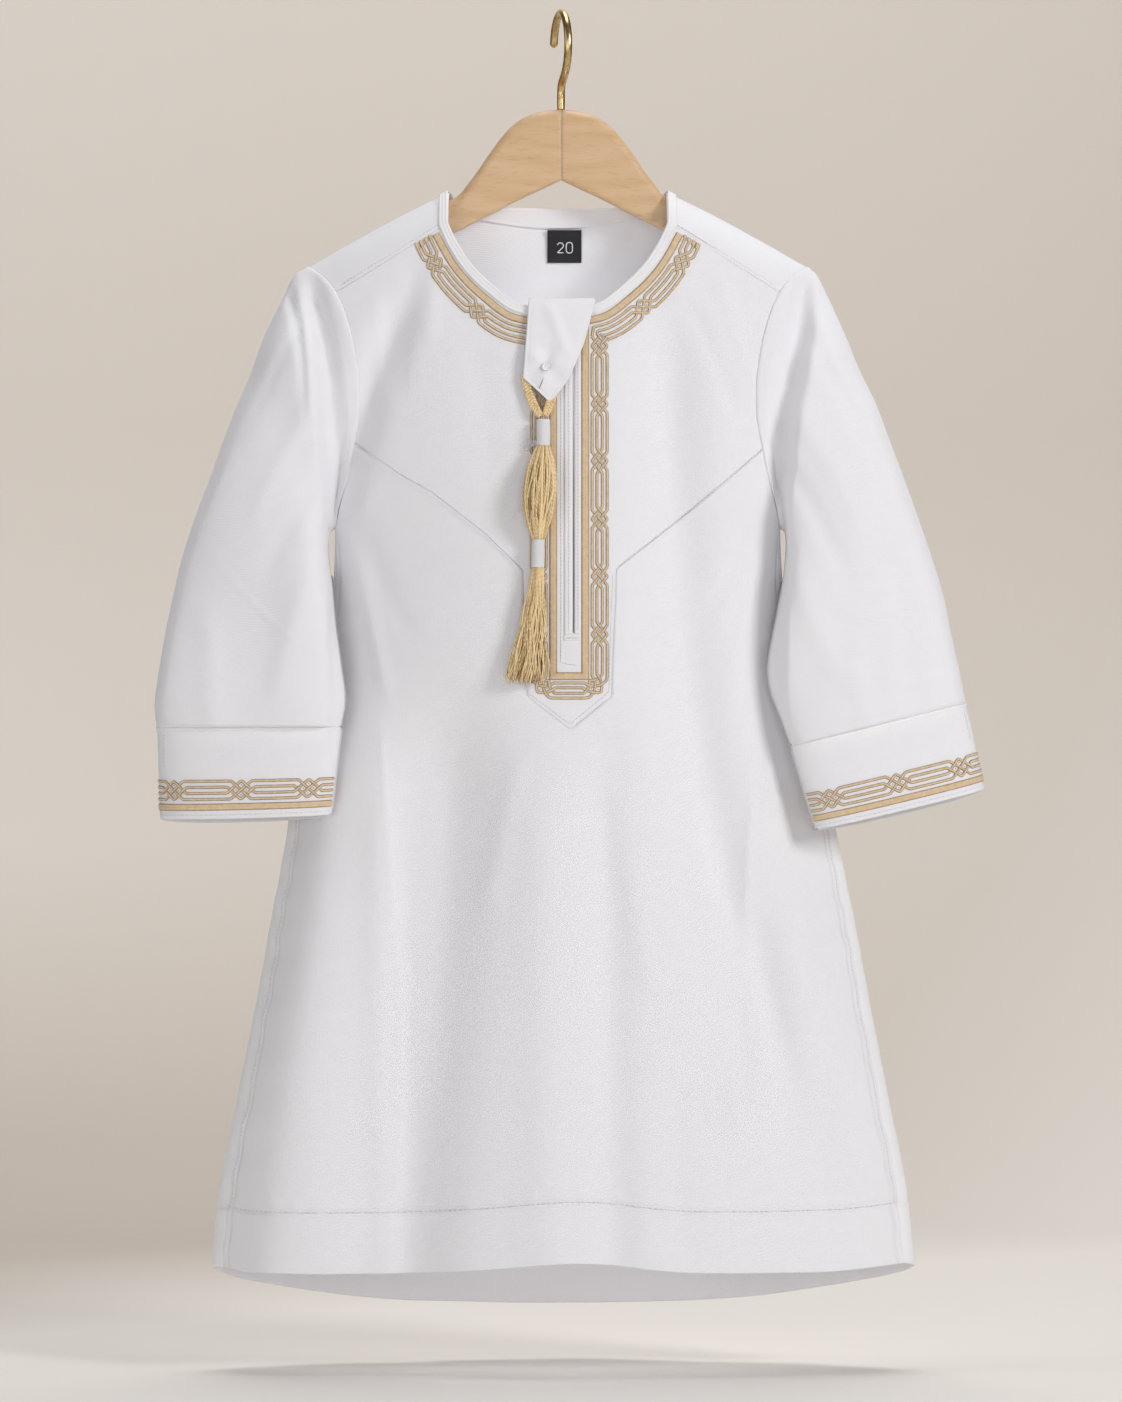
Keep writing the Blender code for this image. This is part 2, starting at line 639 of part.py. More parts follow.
# cuff corners x, z: top outer, top inner, edge outer, edge inner
CUFF_R = np.array([(-192.9, -338.8), (-105.2, -338.4), (-191.5, -382.0), (-110.0, -379.7)])
CUFF_L = np.array([(191.5, -327.1), (108.1, -347.4), (200.5, -367.8), (119.9, -386.8)])
# s, y of the outer edge, y of the inner edge, half depth
SLEEVE = np.array([
    (0.0, 0.0, 0.0, 15.5),
    (0.2, -1.5, -2.5, 15.5),
    (0.35, -3.0, -7.5, 15.5),
    (0.55, -5.0, -13.0, 15.0),
    (0.8, -8.0, -18.5, 13.5),
    (1.0, -10.0, -21.0, 12.0)])
S_ROWS = np.array([0.0, 0.035, 0.09, 0.16, 0.24, 0.33, 0.42, 0.52, 0.62, 0.72, 0.82, 0.91, 1.0])
STEP = 5.0      # how far the fold edge stands in front of the armhole strip


def along(pts, s):
    """Point at share s of the length of a polyline, softly rounded."""
    d = np.concatenate([[0], np.cumsum(np.linalg.norm(np.diff(pts, axis=0), axis=1))])
    rows = np.column_stack([d / d[-1], pts])
    return np.stack([curve(rows, s, 1), curve(rows, s, 2)], -1)


def oval(a):
    """Half depth share across a flattened tube."""
    return (1 - np.abs(2 * a - 1) ** 2.3) ** (1 / 2.1)


def armring(side):
    """Points, body normals, share a and face of the armhole ring, from the
    shoulder tip down the front, then up the back; side -1 right, +1 left."""
    i = 0 if side < 0 else -1
    yf = [(PY[j, i], NY[j, i]) for j in range(len(Y_FRONT), -1, -1)]
    fu = [(PU[j, i], NU[j, i]) for j in range(1, 9)]
    fl = [(PL[j, i], NL[j, i]) for j in range(1, 6)]
    bk = [(PB[j, i], NBK[j, i]) for j in range(len(BACK_Z) - 2, 0, -1)]
    yb = [(PY[j, i], NY[j, i]) for j in range(YR - 1, len(Y_FRONT), -1)]
    ring = yf + fu + fl + bk + yb
    P = np.array([p for p, _ in ring])
    N = np.array([n for _, n in ring])
    face = np.array([-1.0] * (len(yf) + len(fu) + len(fl)) + [1.0] * (len(bk) + len(yb)))
    zt = P[0, 2]
    a = np.clip((zt - P[:, 2]) / (zt - UNDERARM), 0, 1)
    return P, N, a, face


def sleeve_grid(side):
    """Rows of rings from the armhole to the cuff seam."""
    P0, N0, a, face = armring(side)
    out, inn = (OUT_R, IN_R) if side < 0 else (OUT_L, IN_L)
    edge = EDGE_R if side < 0 else EDGE_L

    def shape(s):
        T, B = along(out, s), along(inn, s)
        xz = T[None] * (1 - a)[:, None] + B[None] * a[:, None]
        yc = curve(SLEEVE, s, 1) * (1 - a) + curve(SLEEVE, s, 2) * a
        y = yc + face * curve(SLEEVE, s, 3) * oval(a)
        return np.column_stack([xz[:, 0], y, xz[:, 1]])

    base = shape(0.0)
    G = []
    for s in S_ROWS:
        k = max(0.0, 1 - s / 0.7) ** 1.6
        ky = max(0.0, 1 - s / 0.4) ** 1.6
        R = shape(s) + (P0 - base) * np.array([k, ky, k])
        xf = curve(edge, R[:, 2])
        d = (R[:, 0] - xf) * -side          # towards the body
        stp = smooth((2.5 - d) / 5.0) * smooth((-126 - R[:, 2]) / 40.0) * smooth(s / 0.12)
        stp = stp * smooth(oval(a) * 1.8) * (1 - smooth((a - 0.72) / 0.2) * (1 - smooth((s - 0.15) / 0.35))) * (1 - smooth((s - 0.45) / 0.4) * 0.6)
        dip = np.exp(-((d - 9.0) / 7.0) ** 2) * smooth(s / 0.05) * 2.5 * (R[:, 2] > UNDERARM)
        R[:, 1] += np.where(face < 0, -STEP * stp + dip, 0)
        G.append(R)
    return np.array(G), N0, a, face


def cuff_point(side, a, face, w):
    """Point of the cuff at ring share a and face, w from seam 0 to edge 1."""
    c = CUFF_R if side < 0 else CUFF_L
    T = c[0] + (c[2] - c[0]) * w
    B = c[1] + (c[3] - c[1]) * w
    xz = T * (1 - a)[:, None] + B * a[:, None]
    yc = -10.0 * (1 - a) - 21.0 * a
    dep = 12.0 + 1.3 * w
    y = yc + face * dep * oval(a)
    z = xz[:, 1] - 3.0 * w * np.where(face > 0, oval(a), 0)
    z = z - 0.8 * w * np.where(face < 0, oval(a), 0)
    return np.column_stack([xz[:, 0], y, z])


CUFF_W = np.array([0.0, 0.35, 0.7, 1.0])


def seamed(Nb, Ns):
    """Shared wall direction of two sheets that meet at an angle."""
    n = unit(Nb + Ns)
    k = 1 / np.maximum(np.sum(n * Nb, -1, keepdims=True), 0.6)
    return n * k


sleeves = {}
for side, tag in ((-1, "right"), (1, "left")):
    G, N0, a, face = sleeve_grid(side)
    NS = sheet_normals(G, loop=True) * (1 if side < 0 else -1)
    cuff = np.array([cuff_point(side, a, face, w) for w in CUFF_W])
    NC = sheet_normals(cuff, loop=True) * (1 if side < 0 else -1)
    G[-1] = cuff[0]
    shared = unit(NS[-1] + NC[0])
    NS[-1] = shared
    NC[0] = shared
    arm = seamed(N0, NS[0])
    NS[0] = arm
    i = 0 if side < 0 else -1
    nyf, nu, nl = len(Y_FRONT), 8, 5
    k = 0
    for j in range(nyf, -1, -1):
        NY[j, i] = arm[k]
        k += 1
    NU[0, i] = arm[k - 1]
    for j in range(1, nu + 1):
        NU[j, i] = arm[k]
        k += 1
    NL[0, i] = arm[k - 1]
    for j in range(1, nl + 1):
        NL[j, i] = arm[k]
        k += 1
    NBK[len(BACK_Z) - 1, i] = arm[k - 1]
    for j in range(len(BACK_Z) - 2, 0, -1):
        NBK[j, i] = arm[k]
        k += 1
    NBK[0, i] = arm[k]
    for j in range(YR - 1, nyf, -1):
        NY[j, i] = arm[k]
        k += 1
    sleeves[side] = (tag, G, NS, cuff, NC, a, face)

for side, (tag, G, NS, cuff, NC, a, face) in sleeves.items():
    flip = side > 0
    gap = np.full(G.shape[:2], SEAM)
    gap[0] += 0.45 * smooth((a - 0.8) / 0.15)
    shell("sleeve_" + tag, G.reshape(-1, 3), NS.reshape(-1, 3),
          grid_quads(G.shape[0], G.shape[1], loop=True, flip=flip), inset=gap.ravel())
    shell("cuff_" + tag, cuff.reshape(-1, 3), NC.reshape(-1, 3),
          grid_quads(cuff.shape[0], cuff.shape[1], loop=True, flip=flip), wall=1.8)

shell("front_upper", PU.reshape(-1, 3), NU.reshape(-1, 3),
      grid_quads(len(ZU), NCOL, upper_cell))
hem_wall = np.full(ZL.shape, WALL)
hem_wall[-3:] = HEM_WALL
shell("front_lower", PL.reshape(-1, 3), NL.reshape(-1, 3),
      grid_quads(len(ZL), NCOL, lower_cell), wall=hem_wall.ravel())
hem_wall = np.full(ZB.shape, WALL)
hem_wall[-3:] = HEM_WALL
shell("back", PB.reshape(-1, 3), NBK.reshape(-1, 3),
      grid_quads(ZB.shape[0], ZB.shape[1], flip=True), wall=hem_wall.ravel())
shell("yoke", PY.reshape(-1, 3), NY.reshape(-1, 3), grid_quads(YR, YC, yoke_cell, flip=True))


# ---------------------------------------------------------------- trim on the skin

# embroidered band: b across it from the satin stripe outwards, height
BAND = np.array([
    (0.0, 1.3), (2.9, 1.3), (3.3, 0.75), (4.7, 1.25), (6.0, 0.85), (7.3, 1.25),
    (8.6, 0.85), (9.9, 1.25), (11.2, 0.85), (12.4, 1.25), (13.1, 0.8)])
BAND_MID = 8.55
# share of a pattern repeat, spread of the four lines there, extra height
KNOT = np.array([
    (0.0, 1.06, 0.25), (0.07, 0.72, 0.15), (0.15, 1.0, 0.0),
    (0.85, 1.0, 0.0), (0.93, 0.72, 0.15), (1.0, 1.06, 0.25)])


def knotted(t):
    """Widths and heights of the band rows at pattern share t of each point."""
    f = np.asarray(t, float) % 1.0
    w = np.interp(f, KNOT[:, 0], KNOT[:, 1])
    e = np.interp(f, KNOT[:, 0], KNOT[:, 2])
    line = np.arange(len(BAND)) >= 3
    B = np.where(line[None], BAND_MID + (BAND[None, :, 0] - BAND_MID) * w[:, None], BAND[None, :, 0])
    H = BAND[None, :, 1] + np.where(line[None], e[:, None], 0)
    return B, H


def stations(a, b, phase, more=()):
    """Pattern shares between a and b: the rows of KNOT plus both ends."""
    k = [n + f for n in range(int(a) - 2, int(b) + 3) for f in sorted([*KNOT[:-1, 0], *more])]
    k = [v + phase for v in k if a + 0.03 < v + phase < b - 0.03]
    return np.array([a] + k + [b])


def neck_path(side, t):
    """Front neck edge by share t from the yoke seam to the middle: x, z and
    the direction away from the opening."""
    d = np.linspace(NECK_HALF, 0, 60)
    z = curve(NECK_FRONT, d)
    L = np.concatenate([[0], np.cumsum(np.hypot(np.diff(d), np.diff(z)))])
    dd = np.interp(t * L[-1], L, d)
    zz = curve(NECK_FRONT, dd)
    e = 0.3
    sl = (curve(NECK_FRONT, dd + e) - curve(NECK_FRONT, np.maximum(dd - e, 0))) / (dd + e - np.maximum(dd - e, 0))
    n = np.stack([side * sl, -np.ones_like(sl)], -1)
    return np.stack([MID + side * dd, zz], -1), unit(n), L[-1]


PITCH_NECK = 26.0
for side, tag in ((-1, "right"), (1, "left")):
    _, _, length = neck_path(side, np.array([0.0]))
    t_end = 0.86 if side < 0 else 0.72
    s0 = 0.015
    q = stations(0.0, (t_end - s0) * length / PITCH_NECK, 0.45, (0.38, 0.62))
    t = s0 + q * PITCH_NECK / length
    c, n, _ = neck_path(side, t)
    B, H = knotted(q - 0.45)
    # the first stations turn to run along the seam with the yoke
    turn = (1 - smooth((t - s0) / 0.11))[:, None]
    n = unit(n * (1 - turn) + np.array([side * 0.853, -0.521]) * turn)
    c = c + np.array([0.0, -0.8]) * turn
    XZ = c[:, None] + n[:, None] * (5.45 + B * 0.99)[..., None]
    if side < 0:
        XZ, H = XZ[::-1], H[::-1]
    P, N = front(XZ[..., 0], XZ[..., 1])
    relief("braid_neck_" + tag, P, N, H)

# placket band: U path of its inner edge
ULEG_L, ULEG_R, UTOP, UBOT = -2.8, 8.7, -158.4, -312.6
PITCH_U = 27.3


def placket_band():
    """Points of the U, station by station down one leg, across and up."""
    c, n, q = [], [], []
    leg = UTOP - (UBOT + 1.2)
    for v in stations(0.0, leg / PITCH_U, 0.03):
        c.append((ULEG_L, UTOP - v * PITCH_U)); n.append((-1.0, 0.0)); q.append(v - 0.03)
    for ang, k in ((30, 1.05), (60, 1.05)):
        r = math.radians(ang)
        c.append((ULEG_L, UBOT)); n.append((-math.cos(r) * k, -math.sin(r) * k)); q.append(0.3)
    for x, f in ((ULEG_L + 1.2, 0.15), (ULEG_L + 4.5, 0.5), (ULEG_R - 4.5, 0.5), (ULEG_R - 1.2, 0.15)):
        c.append((x, UBOT)); n.append((0.0, -1.0)); q.append(0.5)
    for ang, k in ((60, 1.05), (30, 1.05)):
        r = math.radians(ang)
        c.append((ULEG_R, UBOT)); n.append((math.cos(r) * k, -math.sin(r) * k)); q.append(0.3)
    for v in stations(0.0, leg / PITCH_U, 0.03)[::-1]:
        c.append((ULEG_R, UTOP - v * PITCH_U)); n.append((1.0, 0.0)); q.append(v - 0.03)
    return np.array(c), np.array(n), np.array(q)


c, n, q = placket_band()
B, H = knotted(q)
XZ = (c[:, None] + n[:, None] * (B * 0.96)[..., None])[::-1]
P, N = front(XZ[..., 0], XZ[..., 1])
relief("braid_placket", P, N, H[::-1])

# cuff bands: they follow the flat faces of the cuff
CUFF_BAND = (0.905, 0.571)      # satin edge, outer edge as shares of the cuff
for side, (tag, G, NS, cuff, NC, a, face) in sleeves.items():
    n_ring = cuff.shape[1]
    w_of = (CUFF_BAND[0] + (CUFF_BAND[1] - CUFF_BAND[0]) * np.array([0, 0.21, 0.26, 0.36, 0.52, 0.64, 0.76, 0.92, 1.0]))
    H0 = np.array([1.3, 1.3, 0.75, 1.25, 0.85, 1.25, 0.85, 1.25, 0.8])
    rows = []
    for w in w_of:
        k = int(np.clip(np.searchsorted(CUFF_W, w) - 1, 0, len(CUFF_W) - 2))
        f = (w - CUFF_W[k]) / (CUFF_W[k + 1] - CUFF_W[k])
        rows.append((cuff[k] * (1 - f) + cuff[k + 1] * f, unit(NC[k] * (1 - f) + NC[k + 1] * f)))
    P = np.stack([r[0] for r in rows], 1)
    N = np.stack([r[1] for r in rows], 1)
    arc = np.concatenate([[0], np.cumsum(np.linalg.norm(np.diff(P[:, 6], axis=0), axis=1))])
    total = arc[-1] + np.linalg.norm(P[0, 6] - P[-1, 6])
    mid = (np.arange(n_ring) % 4 == 1)
    H = np.broadcast_to(H0, P.shape[:2]).copy()
    H[mid, 3:] += 0.2
    if side > 0:
        P, N, H = P[::-1], N[::-1], H[::-1]
    relief("braid_cuff_" + tag, P, N, H, ends=False)

# welt round the slit
w_in = np.array([(4.3, -157.0), (4.3, -200.0), (4.3, -245.0), (4.3, -294.4), (6.1, -294.4),
                 (6.1, -245.0), (6.1, -200.0), (6.1, -157.0)])
w_out = np.array([(0.3, -157.0), (0.3, -200.0), (0.3, -245.0), (0.3, -297.0), (7.9, -297.0),
                  (7.9, -245.0), (7.9, -200.0), (7.9, -157.0)])
XZ = np.stack([w_in, w_out], 1)[::-1]
P, N = front(XZ[..., 0], XZ[..., 1])
relief("placket_welt", P, N, np.full(P.shape[:2], LIFT + 0.9))

# ---------------------------------------------------------------- neck trims

def settle_on_cape(x, q, target, rounds=6):
    """x and q of the cape point nearest to each target point."""
    for _ in range(rounds):
        P = cape(x, q)
        ex = (cape(x + 0.05, q) - cape(x - 0.05, q)) / 0.1
        eq = (cape(x, q + 0.01) - cape(x, q - 0.01)) / 0.02
        r = target - P
        a, b, c = (ex * ex).sum(-1), (ex * eq).sum(-1), (eq * eq).sum(-1)
        u, v = (ex * r).sum(-1), (eq * r).sum(-1)
        det = a * c - b * b
        x = x + np.clip((c * u - b * v) / det, -4, 4)
        q = q + np.clip((a * v - b * u) / det, -0.4, 0.4)
    return x, q


def neck_ring():
    """x, q round the neck edge from one lip of the slit to the other."""
    front_d = np.array([NECK_HALF, 50.4, 47.6, 44.3, 40.7, 36.0, 31.5, 26.5, 22.0, 18.0])
    xs, qs = [], []
    for x in (SLIT[1] + 0.3, MID + 13.5):
        xs.append(x); qs.append(-float(drop(x, curve(NECK_FRONT, abs(x - MID)))))
    for d in front_d[::-1]:
        xs.append(MID + d); qs.append(-float(drop(MID + d, curve(NECK_FRONT, d))))
    q1 = -qs[-1]
    for f in (0.66, 0.33, 0.0):
        xs.append(MID + NECK_HALF); qs.append(-q1 * f)
    for u in NECK_U[::-1]:
        xs.append(MID + u * NECK_HALF); qs.append(float(drop(xs[-1], curve(NECK_BACK, abs(u) * NECK_HALF))))
    for f in (0.0, 0.33, 0.66):
        xs.append(MID - NECK_HALF); qs.append(-q1 * f)
    for d in front_d:
        xs.append(MID - d); qs.append(-float(drop(MID - d, curve(NECK_FRONT, d))))
    for x in (MID - 9.0, MID, SLIT[0] - 0.3):
        xs.append(x); qs.append(-float(drop(x, curve(NECK_FRONT, abs(x - MID)))))
    return np.array(xs), np.array(qs)


xr, qr = neck_ring()
edge_P, edge_N = cape(xr, qr), cape_normal(xr, qr)
tan = np.gradient(edge_P, axis=0)
away = unit(np.cross(tan, edge_N))
cols = []
for b in (0.35, 2.5, 4.6):
    xb, qb = settle_on_cape(xr, qr, edge_P + away * b)
    cols.append((cape(xb, qb), cape_normal(xb, qb)))
P = np.stack([c[0] for c in cols], 1)
N = np.stack([c[1] for c in cols], 1)
nr = len(P)
lift = LIFT + 1.1 + 0.55 * smooth(1.15 - np.abs(qr)) + 0.6 * smooth(1.3 - 2.2 * np.abs(qr - 0.3))
out = (P + N * lift[:, None, None]).reshape(-1, 3)
shell("neck_binding", out, N.reshape(-1, 3), grid_quads(nr, 3, flip=True), wall=1.1, inset=0.0)

# facing and label inside the back neck
fx = MID + np.array([-43.0, -35.0, -26.0, -16.0, -5.0, 5.0, 16.0, 26.0, 35.0, 43.0])
ztop = curve(NECK_BACK, np.abs(fx - MID)) - 0.6
zbot = np.array([-97.2, -99.3, -101.0, -102.4, -103.0, -102.9, -102.0, -100.6, -98.9, -97.0])
XZ = np.stack([np.broadcast_to(fx, (3, 10)), ztop + (zbot - ztop) * np.array([0, 0.5, 1.0])[:, None]], -1)
P, N = back(XZ[..., 0], XZ[..., 1])
shell("back_neck_facing", (P - N * (WALL + LIFT)).reshape(-1, 3), N.reshape(-1, 3),
      grid_quads(3, 10, flip=True), wall=1.0, inset=0.0)
lx = np.array([-7.6, -2.0, 3.5, 9.0])
lz = np.array([-103.5, -111.0, -118.5])
P, N = back(*np.meshgrid(lx, lz))
shell("size_label", (P - N * (WALL + LIFT)).reshape(-1, 3), N.reshape(-1, 3),
      grid_quads(3, 4, flip=True), wall=0.9, inset=0.0)

# ---------------------------------------------------------------- tab and button
# z, height above the cloth, x of both edges, from the inside over the edge
TAB = np.array([
    (-150.0, -3.3, -15.0, 10.0),
    (-141.0, -3.2, -16.0, 14.6),
    (-137.6, -2.6, -16.1, 15.0),
    (-135.9, -1.2, -16.1, 15.1),
    (-135.4, 0.4, -16.1, 15.2),
    (-135.9, 2.0, -16.1, 15.2),
    (-137.4, 3.1, -16.2, 15.1),
    (-143.5, 3.4, -16.6, 13.6),
    (-150.0, 3.5, -17.0, 11.9),
    (-157.0, 3.9, -17.5, 10.0),
    (-163.0, 4.7, -17.9, 7.7),
    (-169.0, 5.2, -18.2, 5.1),
    (-174.0, 5.4, -18.5, 2.9),
    (-180.0, 5.5, -12.4, -1.0),
    (-185.0, 5.5, -6.9, -5.4)])
f = np.array([0.0, 0.3, 0.6, 1.0])
tx = TAB[:, 2:3] + (TAB[:, 3:4] - TAB[:, 2:3]) * f
tz = np.broadcast_to(TAB[:, 0:1], tx.shape)
P, N = front(tx, tz)
G = P + N * TAB[:, 1][:, None, None]
NT = sheet_normals(G)
shell("collar_tab", G.reshape(-1, 3), NT.reshape(-1, 3), grid_quads(len(TAB), 4), wall=1.2, inset=0.0)


def ahead(x, z, h):
    """Point h in front of the cloth at x, z."""
    p, n = front(np.array([x]), np.array([z]))
    return p[0] + n[0] * h


def dome(name, mid, axis, r, depth, rings=(0.0, 0.45, 0.8, 1.0, 0.8, 0.0), sides=12):
    """Round button: rings of a lens along its axis."""
    axis = unit(np.asarray(axis, float))
    a = unit(np.cross(axis, [0.0, 0.0, 1.0]))
    b = np.cross(axis, a)
    th = np.arange(sides) * 2 * math.pi / sides
    pts, hs = [mid + axis * depth / 2], np.linspace(0.5, -0.5, len(rings))
    for rr, h in zip(rings[1:-1], hs[1:-1]):
        for t in th:
            pts.append(mid + axis * depth * h + (a * math.cos(t) + b * math.sin(t)) * r * rr)
    pts.append(mid - axis * depth / 2)
    faces = [(0, 1 + (i + 1) % sides, 1 + i) for i in range(sides)]
    n = len(rings) - 2
    for k in range(n - 1):
        for i in range(sides):
            j = (i + 1) % sides
            faces.append((1 + k * sides + i, 1 + k * sides + j, 1 + (k + 1) * sides + j, 1 + (k + 1) * sides + i))
    last = 1 + n * sides
    faces += [(last, 1 + (n - 1) * sides + i, 1 + (n - 1) * sides + (i + 1) % sides) for i in range(sides)]
    return finish(name, np.array(pts), [f[::-1] for f in faces])


_, n0 = front(np.array([-8.1]), np.array([-168.7]))
dome("pearl_button", ahead(-8.1, -168.7, 5.2 + 0.35 + 0.9), n0[0], 2.0, 1.8)

# ---------------------------------------------------------------- tassel
loop = np.array([(-15.6, -173.5, 2.85), (-14.3, -180.0, 2.85), (-11.6, -187.5, 3.2), (-9.3, -191.2, 3.5),
                 (-6.9, -187.5, 3.2), (-4.2, -181.0, 2.85), (-2.6, -176.5, 2.85)])
tube("tassel_loop", [ahead(*p) for p in loop], 0.85, sides=8, up=(0.0, 1.0, 0.0))


def stack(name, rows, sides, squash, ribs=None):
    """Upright round body from rows of x, z, radius and height of its middle."""
    mids = [ahead(x, z, 0.0) * np.array([1, 1, 1]) + np.array([0, -h, 0]) for x, z, r, h in rows]
    th = np.arange(sides) * 2 * math.pi / sides
    pts = []
    for m, (x, z, r, h) in zip(mids, rows):
        for i, t in enumerate(th):
            rr = r * (1 if ribs is None else ribs(i))
            pts.append((m[0] + rr * math.cos(t), m[1] + rr * squash * math.sin(t), z))
    n = len(rows)
    faces = grid_quads(n, sides, loop=True)
    faces.append(tuple(range(sides)))
    faces.append(tuple(range((n - 1) * sides, n * sides))[::-1])
    return finish(name, np.array(pts), faces)


stack("tassel_wrap_upper", [(-9.2, -193.4, 3.0, 5.4), (-9.2, -195.0, 3.3, 5.5), (-9.2, -204.0, 3.3, 5.6),
                            (-9.2, -205.6, 3.0, 5.6)], 14, 0.92)
rib = lambda i: 1.0 if i % 2 == 0 else 0.93
stack("tassel_bulb", [(-9.3, -205.95, 2.9, 5.7), (-9.6, -211.0, 4.4, 6.6), (-10.2, -219.0, 6.9, 8.0),
                      (-10.9, -228.0, 7.8, 8.6), (-11.4, -236.0, 6.9, 8.2), (-11.6, -244.0, 4.4, 6.8),
                      (-11.6, -249.6, 3.0, 5.9)], 36, 0.8, rib)
stack("tassel_wrap_lower", [(-11.6, -249.95, 2.9, 5.9), (-11.6, -251.4, 3.2, 5.9), (-11.7, -261.6, 3.2, 5.9),
                            (-11.8, -263.1, 2.9, 5.9)], 14, 0.92)


def fringe():
    """Rows of yarn ends drawn out of the underside of one bound head."""
    nx, ny = 7, 4
    gap, w = 0.25, 0.64
    def lines(n):
        v, out = -(n * w + (n - 1) * gap) / 2 , []
        for k in range(n):
            out += [v, v + w]
            v += w + gap
        return np.array(out)
    lx, ly = lines(nx), lines(ny)
    lx = np.concatenate([[lx[0] - 0.15], lx, [lx[-1] + 0.15]])
    ly = np.concatenate([[ly[0] - 0.15], ly, [ly[-1] + 0.15]])
    X, Y = len(lx), len(ly)
    m = ahead(-11.8, -263.5, 0.0) + np.array([0, -5.9, 0])
    zt, zb = -263.5, -266.0
    pts, faces = [], []
    for y in ly:
        for x in lx:
            pts.append((m[0] + x, m[1] + y, zb))
    idx = lambda i, j: j * X + i
    rim = [idx(i, 0) for i in range(X)] + [idx(X - 1, j) for j in range(1, Y)]
    rim += [idx(i, Y - 1) for i in range(X - 2, -1, -1)] + [idx(0, j) for j in range(Y - 2, 0, -1)]
    base = len(pts)
    for r in rim:
        x, y, z = pts[r]
        pts.append((m[0] + (x - m[0]) * 0.92, m[1] + (y - m[1]) * 0.92, zt))
    k = len(rim)
    for a in range(k):
        b = (a + 1) % k
        faces.append((rim[a], rim[b], base + b, base + a))
    faces.append(tuple(base + a for a in range(k)))
    rnd = np.random.default_rng(7)
    for j in range(Y - 1):
        for i in range(X - 1):
            quad = (idx(i, j), idx(i, j + 1), idx(i + 1, j + 1), idx(i + 1, j))
            if i % 2 == 1 and j % 2 == 1:
                u = (i // 2) / (nx - 1) * 2 - 1
                v = (j // 2) / (ny - 1) * 2 - 1
                c = np.mean([pts[q] for q in quad], axis=0)
                prev = quad
                for t in (0.45, 1.0):
                    sp = 0.75 * t + 0.25 * t * t
                    mx = m[0] - 5.4 * sp + u * (2.9 + 7.6 * sp)
                    my = m[1] - 0.6 * sp + v * (1.6 + 1.5 * sp)
                    mz = zb - (54.0 + rnd.uniform(-2.5, 0.5) * (t == 1.0)) * t
                    g = 1.0 if t < 1 else 0.6
                    ring = []
                    for sx, sy in ((-g, -g), (-g, g), (g, g), (g, -g)):
                        ring.append(len(pts))
                        pts.append((mx + sx * 0.5, my + sy * 0.5, mz))
                    for e in range(4):
                        f2 = (e + 1) % 4
                        faces.append((prev[e], prev[f2], ring[f2], ring[e]))
                    prev = ring
                faces.append(tuple(prev))
            else:
                faces.append(quad)
    return finish("tassel_fringe", np.array(pts), faces)


fringe()

# ---------------------------------------------------------------- hanger
HX = -0.95
# distance from the mitre, top z, bottom z, half thickness of an arm
ARM = np.array([
    (0.15, -44.1, -77.8, 6.0), (9.0, -45.0, -82.0, 6.0), (18.0, -48.3, -86.2, 6.0),
    (24.0, -52.6, -89.2, 6.0), (29.0, -58.3, -91.9, 6.0), (34.6, -65.9, -94.7, 6.0),
    (39.4, -73.0, -97.1, 6.0), (44.2, -79.4, -99.5, 6.0), (48.4, -84.6, -101.7, 5.8),
    (53.0, -87.4, -104.1, 5.6), (62.0, -90.0, -108.9, 5.9), (75.0, -97.0, -115.8, 5.4),
    (90.0, -105.0, -123.8, 4.4), (102.0, -111.0, -130.2, 3.3), (109.0, -115.0, -132.6, 2.7),
    (112.5, -119.0, -131.8, 2.2), (114.0, -122.5, -129.6, 1.5)])
# share of half thickness, drop from the top or rise from the bottom, 1 = bottom
PROFILE = [(0.0, 0.0, 0), (0.42, 0.7, 0), (0.8, 2.8, 0), (1.0, 6.0, 0), (1.0, 2.2, 1), (0.62, 0.35, 1),
           (-0.62, 0.35, 1), (-1.0, 2.2, 1), (-1.0, 6.0, 0), (-0.8, 2.8, 0), (-0.42, 0.7, 0)]
for side, tag in ((-1, "right"), (1, "left")):
    rows = []
    for d, zt, zb, thick in ARM:
        x = HX + side * d
        if d > 47:
            zt = min(zt, float(ridge(np.array(x))) - WALL - 0.75)
        k = min(1.0, (zt - zb) / 9.0)
        rows.append([(x, thick * p, (zb + r * k) if low else (zt - r * k)) for p, r, low in PROFILE])
    R = np.array(rows)
    n, m = R.shape[:2]
    faces = grid_quads(n, m, loop=True, flip=side < 0)
    cap0, cap1 = tuple(range(m)), tuple(range((n - 1) * m, n * m))
    faces += [cap0[::-1] if side < 0 else cap0, cap1 if side < 0 else cap1[::-1]]
    finish("hanger_arm_" + tag, R.reshape(-1, 3), faces)

# hook: distance forwards in the hook plane, z; inside top of the hook is 0, 0
HOOK_R, HOOK_WIRE, HOOK_TURN = 16.0, 1.9, math.radians(12.5)
hook = [(0.0, -43.7), (0.0, -37.5), (0.1, -35.2), (0.9, -33.0), (2.6, -31.2), (4.8, -30.0)]
zc = HOOK_WIRE - HOOK_R
for ang in range(-62, 184, 16):
    r = math.radians(ang)
    hook.append((HOOK_R * math.cos(r), zc + HOOK_R * math.sin(r)))
path = [(HX + math.sin(HOOK_TURN) * d, -math.cos(HOOK_TURN) * d, z) for d, z in hook]
tube("hanger_hook", path, HOOK_WIRE, sides=10, up=(math.cos(HOOK_TURN), math.sin(HOOK_TURN), 0.0))
